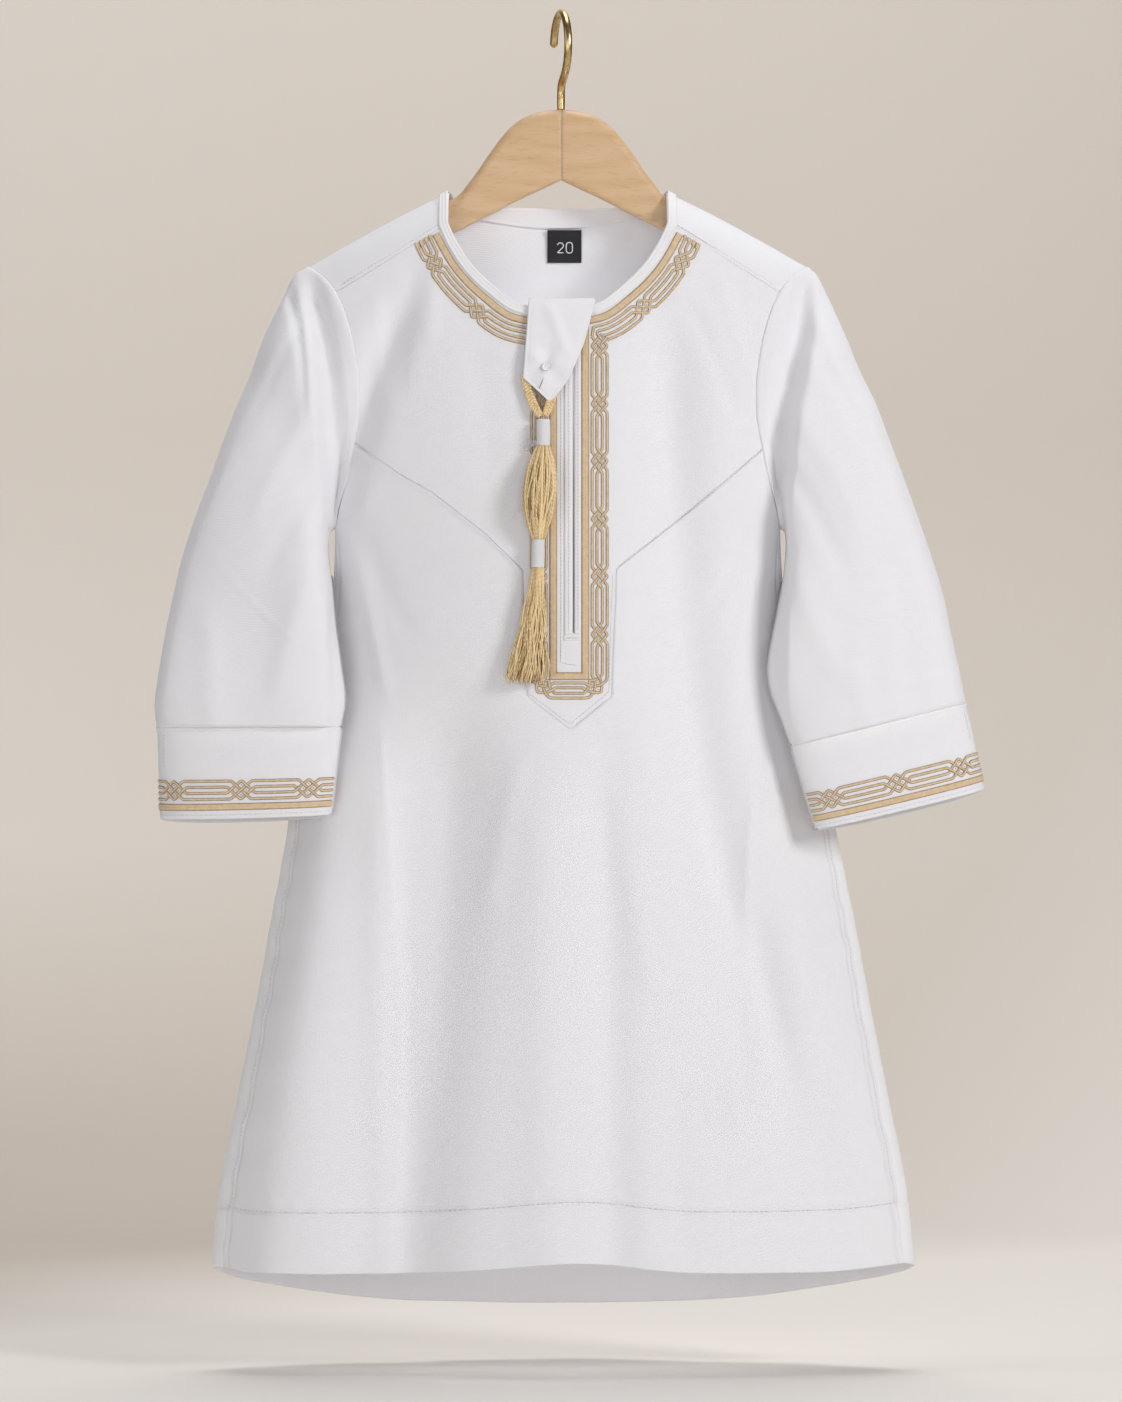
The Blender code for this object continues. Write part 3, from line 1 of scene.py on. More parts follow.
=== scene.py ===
"""Dressed model of a child's thobe on a wooden hanger with a brass hook.

Lengths in the tables and functions are millimetres; they become metres when a
mesh is made.  The inside top of the hook is the origin, +Z is up, the front
of the robe faces -Y and the wearer's right is -X.
"""
import math

import bpy
import numpy as np
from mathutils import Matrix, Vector


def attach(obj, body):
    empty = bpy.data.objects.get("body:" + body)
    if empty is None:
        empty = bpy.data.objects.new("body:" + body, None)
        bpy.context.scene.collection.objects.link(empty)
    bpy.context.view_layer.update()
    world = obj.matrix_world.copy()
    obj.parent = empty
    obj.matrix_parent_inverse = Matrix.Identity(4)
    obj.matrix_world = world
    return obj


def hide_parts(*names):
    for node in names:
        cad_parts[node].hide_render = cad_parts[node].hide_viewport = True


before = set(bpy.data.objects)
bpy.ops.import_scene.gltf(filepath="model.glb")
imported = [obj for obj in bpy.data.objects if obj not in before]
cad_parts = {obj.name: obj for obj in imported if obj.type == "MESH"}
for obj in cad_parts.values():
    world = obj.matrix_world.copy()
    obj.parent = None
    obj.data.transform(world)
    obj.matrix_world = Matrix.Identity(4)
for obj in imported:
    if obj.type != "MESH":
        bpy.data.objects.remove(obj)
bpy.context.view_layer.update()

MM = 0.001
FORWARD = np.array([0.0, -1.0, 0.0])
CLOTH = 0.9         # visible cloth thickness
HEM_CLOTH = 1.5     # turned hems and cuffs
SEAM = 0.01         # each side of a seam
RIDGE_R = 20.0      # rounding of the shoulders at their ridge
SLIM = 0.35         # how much slimmer than an ellipse the body is at its sides
MID = -2.5          # x of the middle of the upper body

# ---- tables of the cut

# z, half width, centre x, front depth, back depth
BODY = np.array([
    (-50, 131, -2.5, 14, 11),
    (-84, 131, -2.5, 18, 14),
    (-119.3, 129.5, -2.5, 23, 17.5),
    (-132, 127, -2.5, 25, 19.5),
    (-143, 124, -2.5, 28, 21),
    (-158, 121, -2.5, 31, 23),
    (-175.4, 118.5, -2.5, 33, 25),
    (-188, 117, -2.5, 34.5, 26),
    (-205, 115, -2.5, 36, 27),
    (-219.5, 112.5, -2.5, 37, 28),
    (-233, 109.5, -2.5, 38, 29),
    (-243.7, 106.1, -2.5, 38.5, 30),
    (-265, 106.9, -2.4, 39, 31.5),
    (-295, 111.8, -2.1, 39.5, 33.5),
    (-326, 118.2, -1.6, 40, 36),
    (-383, 130.3, -0.8, 41.5, 41),
    (-420, 136.3, -0.2, 43, 44.5),
    (-468, 144.8, 0, 45, 48.5),
    (-515, 153.9, 0, 47.5, 53),
    (-562.6, 163.1, 0, 50, 57),
    (-594, 166.2, 0, 51.5, 59.5),
    (-625, 168, 0, 52.5, 61)])
# z, how far the sides of the body stand back behind the sleeves
SETBACK = np.array([
    (-243.7, 0), (-265, 4), (-295, 8), (-326, 11), (-383, 12),
    (-420, 9), (-468, 4), (-515, 0), (-625, 0)])
# distance from MID, z of the shoulder ridge
RIDGE = np.array([
    (0, -62), (30, -72), (52.4, -83.9), (71.4, -93.2),
    (98.1, -107.6), (114.7, -117.1), (130, -125.6)])
# z, distance of the armhole seam from MID
ARMHOLE = np.array([
    (-119.3, 118.4), (-124, 111.7), (-132, 105.2), (-143.4, 100.3),
    (-158.3, 96.5), (-175.4, 94.3), (-188, 94.3), (-205, 96.9),
    (-219.5, 100), (-233.2, 103.6), (-239.5, 105.1), (-243.7, 106.1)])
UNDERARM = -243.7
TIP = 118.4
# z, angle of the side seam from the middle of the front (degrees)
SIDE = np.array([(-243.7, 90), (-262, 83), (-300, 77), (-620, 75)])
# front and back neck edge: distance from MID, z
NECK_FRONT = np.array([
    (0, -141), (18, -138), (31, -128.7), (40.7, -119),
    (48.1, -107.6), (52, -99.2)])
NECK_BACK = np.array([
    (0, -90.4), (27, -89.9), (38, -89), (46, -87.4),
    (50, -85.8), (52, -83.7)])
NECK_HALF = 52.0
YOKE_FRONT = np.array([(52, -99.2), (105.4, -131.8)])   # distance, z
YOKE_CORNER = -131.8      # z where the front yoke seam meets the armhole
YOKE_BACK = -150.0        # z of the back yoke seam
# bib seam: x, z at its bottom, and the tongue below it
BIB = np.array([
    (-110, -196.5), (-99.5, -202.9), (-89, -210.5), (-77, -219),
    (-62, -227.5), (-37, -247), (-18.6, -265),
    (25, -264), (43.6, -249.4), (62, -234.6), (79, -220.4),
    (94.3, -207.1), (106, -198)])
TONGUE_LOW = -323.6
TONGUE_TIP = (3.3, -339.4)
SLIT = (4.6, 5.8)           # x of both lips
SLIT_END = -293.9
# named lines down the front: z, then x of neck line L, tongue L, R, neck R
LINES = np.array([
    (-99.2, -54.5, -19, 26, 49.5),
    (-200, -55, -19, 25.5, 50),
    (-264.8, -56, -18.6, 25, 51.5),
    (-323.6, -61, -17.1, 22.8, 57),
    (-420, -68, -20, 24, 64),
    (-625, -84, -28, 31, 80)])
# hems: x, z of the front; angle round the body, z of the back
HEM_FRONT = np.array([
    (-166, -594.3), (-148, -596.6), (-87, -596.8), (-39, -594),
    (4, -590.6), (65, -595.6), (122, -596.2), (166, -593)])
HEM_BACK = np.array([
    (-285, -594.4), (-270, -595.8), (-240, -603.5), (-210, -614),
    (-180, -618), (-150, -614.5), (-120, -604.5), (-90, -595),
    (-75, -593.2)])
HEM_DEEP = 29.0

# soft folds: from x, z to x, z, width towards -x and towards +x, height
FOLDS_FRONT = np.array([
    (-50, -298, -77, -600, 24, 23, -12),
    (-8.5, -330, -6, -590, 15, 15, 3),
    (20, -320, 24, -600, 10, 11, -3.6),
    (-87, -321, -84, -600, 8, 8, 2.4),
    (86, -380, 83, -520, 8, 8, 2.2),
    (-118, -300, -140, -610, 24, 30, 9),
    (-73, -124, -112, -248, 10, 8, -7.5)])
# the long fold down the front's left half: z, x, widths towards -x and +x, height
LONG_FOLD = np.array([
    (-128, 47, 12, 14, 0), (-175, 50, 14, 15, -8), (-292, 56, 14, 16, -10),
    (-350, 63, 15, 17, -11.5), (-412, 76, 15, 17, -12), (-470, 94, 16, 17, -10.5),
    (-540, 114, 17, 18, -6), (-600, 124, 18, 18, 0)])
FOLDS_BACK = np.array([
    (-50, -200, -72, -615, 20, 15, -5.5),
    (2, -190, 6, -615, 19, 19, 4.5),
    (48, -220, 66, -615, 15, 20, -5),
    (96, -330, 112, -600, 14, 14, 3)])


def curve(rows, x, ycol=1, xcol=0):
    """Smooth curve through the rows of a table; it never overshoots them."""
    xs, ys = rows[:, xcol], rows[:, ycol]
    if xs[0] > xs[-1]:
        xs, ys = xs[::-1], ys[::-1]
    h = np.diff(xs)
    d = np.diff(ys) / h
    m = np.zeros(len(xs))
    same = d[:-1] * d[1:] > 0
    m[1:-1] = np.where(same, 2 * d[:-1] * d[1:] / np.where(same, d[:-1] + d[1:], 1), 0)
    m[0], m[-1] = d[0], d[-1]
    x = np.asarray(x, float)
    i = np.clip(np.searchsorted(xs, x) - 1, 0, len(h) - 1)
    t = np.clip((x - xs[i]) / h[i], 0, 1)
    return ((1 + 2 * t) * (1 - t) ** 2 * ys[i] + t * (1 - t) ** 2 * h[i] * m[i]
            + t * t * (3 - 2 * t) * ys[i + 1] + t * t * (t - 1) * h[i] * m[i + 1])


def smooth(t):
    """Soft step from 0 to 1: 3 t^2 - 2 t^3."""
    t = np.clip(t, 0, 1)
    return t * t * (3 - 2 * t)


def unit(v):
    """Vectors of length one: v over its own length."""
    return v / np.maximum(np.linalg.norm(v, axis=-1, keepdims=True), 1e-12)


def run(path):
    """Length along a path up to each of its points."""
    return np.concatenate([[0], np.cumsum(np.linalg.norm(np.diff(path, axis=0), axis=1))])


def half(z):
    """Half width of the body at height z."""
    return curve(BODY, z, 1) + 1.3 * smooth((-385 - z) / 50)


def centre(z):
    """Middle of the body at height z."""
    return curve(BODY, z, 2)


def ridge(x):
    """Height of the shoulder ridge at x, the same on both sides."""
    return curve(RIDGE, np.abs(x - MID))


def folds(table, x, z):
    """Sum of long soft folds, each a bell with a wide and a narrow flank and
    faded at both ends."""
    out = np.zeros(np.broadcast(x, z).shape)
    for x0, z0, x1, z1, wide, narrow, hgt in table:
        t = (z - z0) / (z1 - z0)
        d = x - (x0 + (x1 - x0) * t)
        bell = hgt * np.exp(-(d / np.where(d < 0, wide, narrow)) ** 2)
        out = out + bell * smooth(t / 0.25) * smooth((1.12 - t) / 0.12)
    return out


# small creases: from x, z to x, z, half width, height, sharpness (1 bell, 2 pressed)
CREASES_FRONT = np.array([
    (-87, -330, -78, -470, 1.6, 0.9, 2), (-77, -440, -78.5, -566, 1.6, 1.1, 2),
    (90, -346, 81.5, -556, 1.8, 1.2, 2),
    (-70, -113, -78, -185, 5, -0.9, 1), (-60, -116, -64, -160, 4, 0.6, 1),
    (-88, -130, -86, -190, 4.5, 0.8, 1), (60, -135, 84, -193, 5, -0.9, 1),
    (72, -120, 90, -175, 4, 0.7, 1), (-100, -236, -72, -300, 6, -0.7, 1),
    (-98, -252, -82, -330, 4, 0.9, 1), (96, -236, 66, -292, 5, -1, 1),
    (94, -252, 80, -318, 4, 0.9, 1), (-20, -345, -36, -430, 6, 1, 1),
    (-60, -345, -70, -520, 9, 1.3, 1), (20, -350, 44, -470, 8, 1.1, 1),
    (108, -400, 118, -590, 9, 1.2, 1), (-112, -400, -124, -590, 12, 0.7, 1),
    (52, -500, 56, -597, 9, -1, 1), (-40, -150, -34, -225, 8, -0.6, 1),
    (44, -170, 50, -235, 8, -0.6, 1)])
CREASES_BACK = np.array([
    (-70, -165, -60, -300, 6, 1, 1), (64, -165, 60, -310, 6, 1, 1),
    (-20, -155, -24, -330, 7, -0.9, 1), (24, -158, 26, -300, 7, 0.8, 1),
    (-100, -240, -70, -330, 5, -1.2, 1), (98, -240, 70, -330, 5, -1.2, 1),
    (-110, -380, -124, -600, 10, 1.4, 1), (30, -380, 34, -615, 9, 1.3, 1),
    (-24, -400, -30, -617, 9, 1.2, 1), (-87, -330, -84, -610, 1.8, 0.8, 2),
    (86, -330, 84, -610, 1.8, 0.8, 2)])


def creases(table, x, z):
    """Sum of small creases: h exp(-|d/w|^k) across, k 2 for a bell and 1 for a
    pressed edge, faded at both ends."""
    out = np.zeros(np.broadcast(x, z).shape)
    for x0, z0, x1, z1, w, hgt, kind in table:
        t = (z - z0) / (z1 - z0)
        bow = 0.06 * w * np.sin(7.0 * t + x0)
        d = np.abs(x - (x0 + (x1 - x0) * t) - bow) / w
        out = out + hgt * np.exp(-d ** (3 - kind)) * smooth(t / 0.2) * smooth((1.05 - t) / 0.25)
    return out


def side_puckers(phi, z):
    """Small gathers that the topstitching draws along both side seams."""
    lim = np.radians(curve(SIDE, z))
    d = (np.abs(np.abs(np.arctan2(np.sin(phi), np.cos(phi))) - lim)) * half(z) * 0.55
    wave = (np.sin(z / 3.4 + 1.7 * np.sin(z / 23.0) + np.sign(np.sin(phi)))
            + 0.6 * np.sin(z / 7.9 + 0.6 + np.sign(np.sin(phi))))
    return 0.5 * wave * np.exp(-(d / 13.0) ** 1.5) * smooth((-255 - z) / 40)


def long_fold(x, z):
    """Bell trough along the line of LONG_FOLD: height * exp(-(d / width)^2)."""
    line, wide, narrow, height = (curve(LONG_FOLD, z, k) for k in (1, 2, 3, 4))
    d = x - line
    return height * np.exp(-(d / np.where(d < 0, wide, narrow)) ** 2)


def skin(phi, z):
    """Body surface at angle phi round it and height z: an oval, slimmer at its
    sides, with folds, rounded over near the shoulder ridge."""
    phi, z = np.broadcast_arrays(np.asarray(phi, float), np.asarray(z, float))
    s = np.sin(phi)
    x = centre(z) + half(z) * s
    side = np.where(np.cos(phi) > 0, -1, 1)
    t = np.clip((ridge(x) - z) / RIDGE_R, 0, 1)
    dep = np.where(side < 0, curve(BODY, z, 3), curve(BODY, z, 4))
    f = np.where(side < 0, folds(FOLDS_FRONT, x, z) + long_fold(x, z), folds(FOLDS_BACK, x, z))
    g = np.abs(np.cos(phi)) * (1 - SLIM * s * s)
    y = side * (dep * g + f * smooth(g * 2.2)) * np.sqrt(1 - (1 - t) ** 2)
    return np.stack([x, y + curve(SETBACK, z) * s ** 4, z], -1)


def skin_normal(phi, z):
    """Outward normal: cross of the small steps round and down."""
    du = skin(phi + 2e-3, z) - skin(phi - 2e-3, z)
    dv = skin(phi, z - 0.2) - skin(phi, z + 0.2)
    return unit(np.cross(dv, du))


def body_cloth(phi, z):
    """Point and outward normal of the body cloth with its small creases."""
    P, N = skin(phi, z), skin_normal(phi, z)
    x = P[..., 0]
    c = np.where(np.cos(phi) > 0, creases(CREASES_FRONT, x, z), creases(CREASES_BACK, x, z))
    c = c + side_puckers(phi, z)
    return P + N * c[..., None], N


def front_phi(x, z):
    """Angle at x on the front: the arc sine of x over the half width."""
    return np.arcsin(np.clip((x - centre(z)) / half(z), -1, 1))


def front(x, z):
    """Point and normal of the front cloth at x, z."""
    return body_cloth(front_phi(x, z), z)


def back(x, z):
    """Point and normal of the back cloth at x, z."""
    return body_cloth(math.pi - front_phi(x, z), z)


def drop(x, z):
    """q of a height z below the ridge at x (always >= 0)."""
    t = np.maximum((ridge(x) - z) / RIDGE_R, 0)
    return np.where(t <= 1, np.arccos(1 - np.minimum(t, 1)) / (math.pi / 2),
                    1 + (t - 1) * 2 / math.pi)


def cape(x, q):
    """Shoulders at x, q down from the ridge: a quarter round, then straight."""
    x, q = np.broadcast_arrays(np.asarray(x, float), np.asarray(q, float))
    a = np.abs(q)
    w = np.minimum(a, 1) * math.pi / 2
    z = ridge(x) - RIDGE_R * (1 - np.cos(w)) - np.maximum(a - 1, 0) * RIDGE_R * math.pi / 2
    side = np.sign(q)
    s = np.clip((x - centre(z)) / half(z), -1, 1)
    g = np.sqrt(1 - s * s) * (1 - SLIM * s * s)
    dep = np.where(side < 0, curve(BODY, z, 3), curve(BODY, z, 4))
    f = np.where(side < 0, folds(FOLDS_FRONT, x, z), folds(FOLDS_BACK, x, z))
    return np.stack([x, side * (dep * g + f * smooth(g * 2.2)) * np.sin(w), z], -1)


def cape_normal(x, q):
    """Outward normal of the shoulders: cross of the small steps in x and q."""
    dx = cape(x + 0.2, q) - cape(x - 0.2, q)
    dq = cape(x, q + 0.01) - cape(x, q - 0.01)
    return unit(np.cross(dx, dq))


# ---- making meshes

MATS = {}


def mesh(name, V, faces, mat, uv=None, data=None, replaces=(), slot=None):
    """One piece from points in millimetres and arrays of faces; it rides on
    the root body, at the origin, unturned."""
    V = np.asarray(V, float) * MM
    me = bpy.data.meshes.new(name)
    sizes = np.concatenate([np.full(len(f), f.shape[1]) for f in faces])
    loops = np.concatenate([f.ravel() for f in faces]).astype(np.int32)
    me.vertices.add(len(V))
    me.vertices.foreach_set("co", V.astype(np.float32).ravel())
    me.loops.add(len(loops))
    me.loops.foreach_set("vertex_index", loops)
    me.polygons.add(len(sizes))
    me.polygons.foreach_set("loop_start", np.concatenate([[0], np.cumsum(sizes)[:-1]]).astype(np.int32))
    me.polygons.foreach_set("use_smooth", np.ones(len(sizes), bool))
    if uv is not None:
        layer = me.uv_layers.new(name="weave")
        layer.data.foreach_set("uv", (np.asarray(uv, float)[loops] * MM).astype(np.float32).ravel())
    for key, values in (data or {}).items():
        att = me.attributes.new(key, "FLOAT", "POINT")
        att.data.foreach_set("value", np.asarray(values, np.float32).ravel())
    me.update(calc_edges=True)
    me.validate()
    me.materials.append(MATS[mat])
    ob = bpy.data.objects.new(name, me)
    bpy.context.scene.collection.objects.link(ob)
    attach(ob, "root")
    if replaces:
        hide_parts(*replaces)
    return ob


def quads_of(nr, nc, loop=False, keep=None, flip=False):
    """Quads of an nr by nc grid, rows down and columns to the right."""
    idx = np.arange(nr * nc).reshape(nr, nc)
    right = np.roll(idx, -1, 1)
    a, b, c, d = idx[:-1], idx[1:], right[1:], right[:-1]
    if not loop:
        a, b, c, d = (g[:, :-1] for g in (a, b, c, d))
    q = np.stack([a, b, c, d], -1)
    q = q.reshape(-1, 4) if keep is None else q[keep]
    return q[:, ::-1] if flip else q


def grid_normals(G, loop=False):
    """Outward normals of a grid seen with rows down and columns to the right."""
    dc = np.roll(G, -1, 1) - np.roll(G, 1, 1)
    if not loop:
        dc[:, 0], dc[:, -1] = G[:, 1] - G[:, 0], G[:, -1] - G[:, -2]
    dr = np.empty_like(G)
    dr[1:-1] = unit(G[2:] - G[1:-1]) + unit(G[1:-1] - G[:-2])
    dr[0], dr[-1] = G[1] - G[0], G[-1] - G[-2]
    return unit(np.cross(dr, dc))


def cloth_piece(name, P, N, quads, wall=CLOTH, seam=SEAM, soft=0.16, mat="white_twill",
                slot="cloth", **more):
    """Thin cloth from an outer sheet: its edges are drawn back by the seam gap
    and rounded by soft x wall, and the inside follows wall deep along N."""
    P, N = P.reshape(-1, 3), N.reshape(-1, 3)
    n = len(P)
    wall = np.broadcast_to(np.asarray(wall, float).ravel(), (n,))
    e = np.concatenate([quads[:, [k, (k + 1) % 4]] for k in range(4)])
    rim = e[~np.isin(e[:, 0] * n + e[:, 1], e[:, 1] * n + e[:, 0])]
    m = unit(np.cross(unit(N[rim[:, 0]] + N[rim[:, 1]]), unit(P[rim[:, 1]] - P[rim[:, 0]])))
    pull = np.zeros((n, 3))
    np.add.at(pull, rim[:, 0], m)
    np.add.at(pull, rim[:, 1], m)
    on_rim = np.zeros(n)
    on_rim[rim.ravel()] = 1.0
    Q = P + unit(pull) * (np.broadcast_to(np.asarray(seam, float).ravel(), (n,)) * on_rim)[:, None]
    round_off = (soft * wall * on_rim)[:, None]
    outer, inner = Q - N * round_off, Q - N * wall[:, None] + N * round_off
    used = np.zeros(2 * n, bool)
    faces = np.concatenate([quads, quads[:, ::-1] + n,
                            np.stack([rim[:, 1], rim[:, 0], rim[:, 0] + n, rim[:, 1] + n], -1)])
    used[faces.ravel()] = True
    new = np.cumsum(used) - 1
    V = np.vstack([outer, inner])[used]
    for key in ("uv", "data"):
        if more.get(key) is None:
            continue
        if key == "uv":
            more[key] = np.vstack([more[key].reshape(-1, 2)] * 2)[used]
        else:
            more[key] = {k: np.concatenate([v.ravel()] * 2)[used] for k, v in more[key].items()}
    return mesh(name, V, [new[faces]], mat, slot=slot, **more)


# ---- front panels

SPAN_OUT = np.array([0, 0.16, 0.36, 0.57, 0.78, 1])
SPAN_IN = np.array([0, 0.27, 0.52, 0.76, 1])
TONGUE_X = np.array([-9.0, SLIT[0], SLIT[1], 15.0])
COL_TL, COL_S, COL_TR, COL_END = 9, 11, 14, 23
# fine steps between the named column lines of the front
COL_STEPS = [9, 10, 11, 11, 10, 6, 6, 5, 5, 5, 8, 1, 5, 5, 5, 5, 6, 6, 10, 11, 11, 10, 9]
COLS = [i + np.arange(n) / n for i, n in enumerate(COL_STEPS)]
COLS = np.unique(np.concatenate(COLS + [[0.04, 22.96, 23]]))


def arm_phi(z):
    """Half angle of a front panel at height z: armhole, then side seam."""
    a = np.arcsin(np.clip(curve(ARMHOLE, z) / half(z), -1, 1))
    return np.where(z >= UNDERARM, a, np.radians(curve(SIDE, z)))


def column_phi(cols, z):
    """Angle of column lines cols at heights z, straight between named lines."""
    e = arm_phi(z)
    ln = [front_phi(curve(LINES, z, k), z) for k in (1, 2, 3, 4)]
    w = smooth((-z - 323.6) / 260.0)
    known = [-e + (ln[0] + e) * s for s in SPAN_OUT]
    known += [ln[0] + (ln[1] - ln[0]) * s for s in SPAN_IN[1:]]
    known += [front_phi(x * (1 + 0.4 * w), z) for x in TONGUE_X]
    known += [ln[3] + (ln[2] - ln[3]) * s for s in SPAN_IN[::-1]]
    known += [e + (ln[3] - e) * s for s in SPAN_OUT[-2::-1]]
    known = np.array(known)
    i = np.clip(np.floor(cols).astype(int), 0, COL_END - 1)
    f = cols - i
    k = np.arange(len(cols))
    return known[i, k] * (1 - f) + known[i + 1, k] * f


def column_x(cols, z):
    """x of column lines cols at heights z."""
    return centre(z) + half(z) * np.sin(column_phi(cols, z))


def settle(line, start):
    """Heights where the column lines meet the line z = line(x)."""
    z = np.full(len(COLS), float(start))
    for _ in range(30):
        z = 0.5 * z + 0.5 * line(column_x(COLS, z))
    return z


def seam_z(x):
    """Height of the front yoke seam: straight in the distance from MID."""
    return np.interp(np.abs(x - MID), YOKE_FRONT[:, 0], YOKE_FRONT[:, 1])


def top_line(x):
    """Neck edge in the middle, yoke seam outside it."""
    d = np.abs(x - MID)
    return np.where(d <= NECK_HALF, curve(NECK_FRONT, d), seam_z(x))


def bib_line(x):
    """Height of the bib seam: straight runs between the rows of BIB."""
    return np.interp(x, BIB[:, 0], BIB[:, 1])


def tip_line(x):
    """Lower edge of the tongue: a V from its two corners to its tip."""
    return np.interp(x, [-17.1, TONGUE_TIP[0], 22.8], [TONGUE_LOW, TONGUE_TIP[1], TONGUE_LOW])


z_top = settle(top_line, -120)
z_top[[0, -1]] = YOKE_CORNER
z_bib = settle(bib_line, -230)
z_low = np.full(len(COLS), TONGUE_LOW)
in_tongue = (COLS >= COL_TL) & (COLS <= COL_TR)
z_low[in_tongue] = tip_line(column_x(COLS, np.full(len(COLS), -330.0))[in_tongue])
z_low[np.isin(COLS, [COL_TL, COL_TR])] = TONGUE_LOW
z_hem = settle(lambda x: curve(HEM_FRONT, x), -594)

up = np.concatenate([[0, 0.006], np.linspace(0, 1, 54)[1:-1], [0.994, 1]])
upper_rows = [z_top + (z_bib - z_top) * v for v in up]
UPPER_BIB = len(upper_rows) - 1
for a, b, steps in ((None, -279.5, 8), (-279.5, SLIT_END, 8), (SLIT_END, -309.0, 8)):
    prev = upper_rows[-1]
    upper_rows += [prev + (b - prev) * t for t in np.linspace(0, 1, steps + 1)[1:]]
prev = upper_rows[-1]
upper_rows += [prev + (z_low - prev) * t for t in (0.25, 0.5, 0.75, 0.97, 1)]
ZU = np.array(upper_rows)
row_slit = UPPER_BIB + 16

ARM_ROWS = np.array([-213.5, -223.5, -232.5, -239.5, UNDERARM, -258, -277, -300])


def shares(z_start):
    """Row shares between the bib seam and the tongue corners at one side."""
    z = np.concatenate([[z_start], ARM_ROWS + (z_start + 202.9) * np.array(
        [0.75, 0.5, 0.3, 0.1, 0, 0, 0, 0]), [TONGUE_LOW]])
    return (z - z[0]) / (z[-1] - z[0])


def spread_rows(v, steps):
    """Table values with even finer rows between them."""
    k = np.arange(len(v) - 1)
    fine = np.concatenate([i + np.arange(s) / s for i, s in zip(k, steps)] + [[len(v) - 1.0]])
    return np.interp(fine, np.arange(len(v)), v)


LOW_STEPS = [5, 5, 4, 4, 2, 7, 9, 11, 11]
# rows of the turned hem, as shares of its depth above the edge
HEM_SHARES = (0.985, 0.93, 0.86, 0.78, 0.7, 0.62, 0.54, 0.46, 0.38, 0.3, 0.22, 0.14, 0.07, 0.02, 0)
va = spread_rows(shares(z_bib[0]), LOW_STEPS)
vb = spread_rows(shares(z_bib[-1]), LOW_STEPS)
UNDER_ROW = sum(LOW_STEPS[:5])
mix = COLS / COL_END
low_rows = [z_bib + (z_low - z_bib) * (p * (1 - mix) + q * mix) for p, q in zip(va, vb)]
ROW_TIP = len(low_rows) - 1
z_deep = z_hem + HEM_DEEP
low_rows += [z_low + (z_deep - z_low) * v for v in np.linspace(0, 1, 106)[1:]]
low_rows += [z_hem + HEM_DEEP * v for v in HEM_SHARES]
ZL = np.array(low_rows)


def hem_wall(Z):
    """Thickness of a panel: one cloth, and more in the rows of its hem."""
    in_hem = np.arange(len(Z)) >= len(Z) - len(HEM_SHARES) - 1
    return np.where(in_hem, HEM_CLOTH, CLOTH)[:, None] * np.ones(Z.shape)


def panel_phi(Z):
    """Angles of a panel's grid; its end columns lie on the armhole and side seam."""
    ph = np.array([column_phi(COLS, z) for z in Z])
    ph[:, 0], ph[:, -1] = -arm_phi(Z[:, 0]), arm_phi(Z[:, -1])
    return ph


PHU, PHL = panel_phi(ZU), panel_phi(ZL)
PU, NU = body_cloth(PHU, ZU)
PL, NL = body_cloth(PHL, ZL)

fold_edge = np.exp(-((z_bib - ZL) / 1.5) ** 2) * np.where(COLS < COL_TL, 1.0, 0.55 * (COLS > COL_TR))
pucker = np.sin(PL[..., 0] / 1.45 + 2.2 * np.sin(PL[..., 0] / 13.0)) + 0.6 * np.sin(PL[..., 0] / 3.7)
pucker = 0.16 * pucker * np.exp(-((ZL - z_deep - 2.0) / 4.0) ** 2)
PL = PL + NL * (fold_edge + pucker)[..., None]


def weave_uv(phi, z):
    """Weave coordinates: distance round the body and height."""
    return np.stack([phi * 125.0, z], -1)


def seam_groove(d, at=3.3):
    """0 to 1 along a line of stitching that lies a distance at from the edge."""
    return np.exp(-((d - at) / 0.9) ** 2)


keep = np.ones((len(ZU) - 1, len(COLS) - 1), bool)
mid_cell = (COLS[:-1] >= COL_TL) & (COLS[:-1] < COL_TR)
keep[UPPER_BIB:, ~mid_cell] = False
keep[:row_slit, (COLS[:-1] >= COL_S) & (COLS[:-1] < COL_S + 1)] = False
UPPER_QUADS = quads_of(len(ZU), len(COLS), keep=keep)

keep = np.ones((len(ZL) - 1, len(COLS) - 1), bool)
keep[:ROW_TIP, mid_cell] = False
LOWER_QUADS = quads_of(len(ZL), len(COLS), keep=keep)

# ---- yoke and back

YW = np.array([1, 0.84, 0.64, 0.43, 0.22, 0])
YOKE_COLS = np.concatenate([[0, 0.04], np.arange(1, 41) / 8.0, 5 + np.arange(1, 50) * 10 / 50.0,
                            15 + np.arange(0, 40) / 8.0, [19.96, 20]])
Y_ROWS_F = np.concatenate([[1.0, 0.985], np.linspace(0.96, 0.06, 22)])
Y_ROWS_B = np.concatenate([[0.0], np.linspace(0, 1, 44)[1:-1], [0.99, 1.0]])


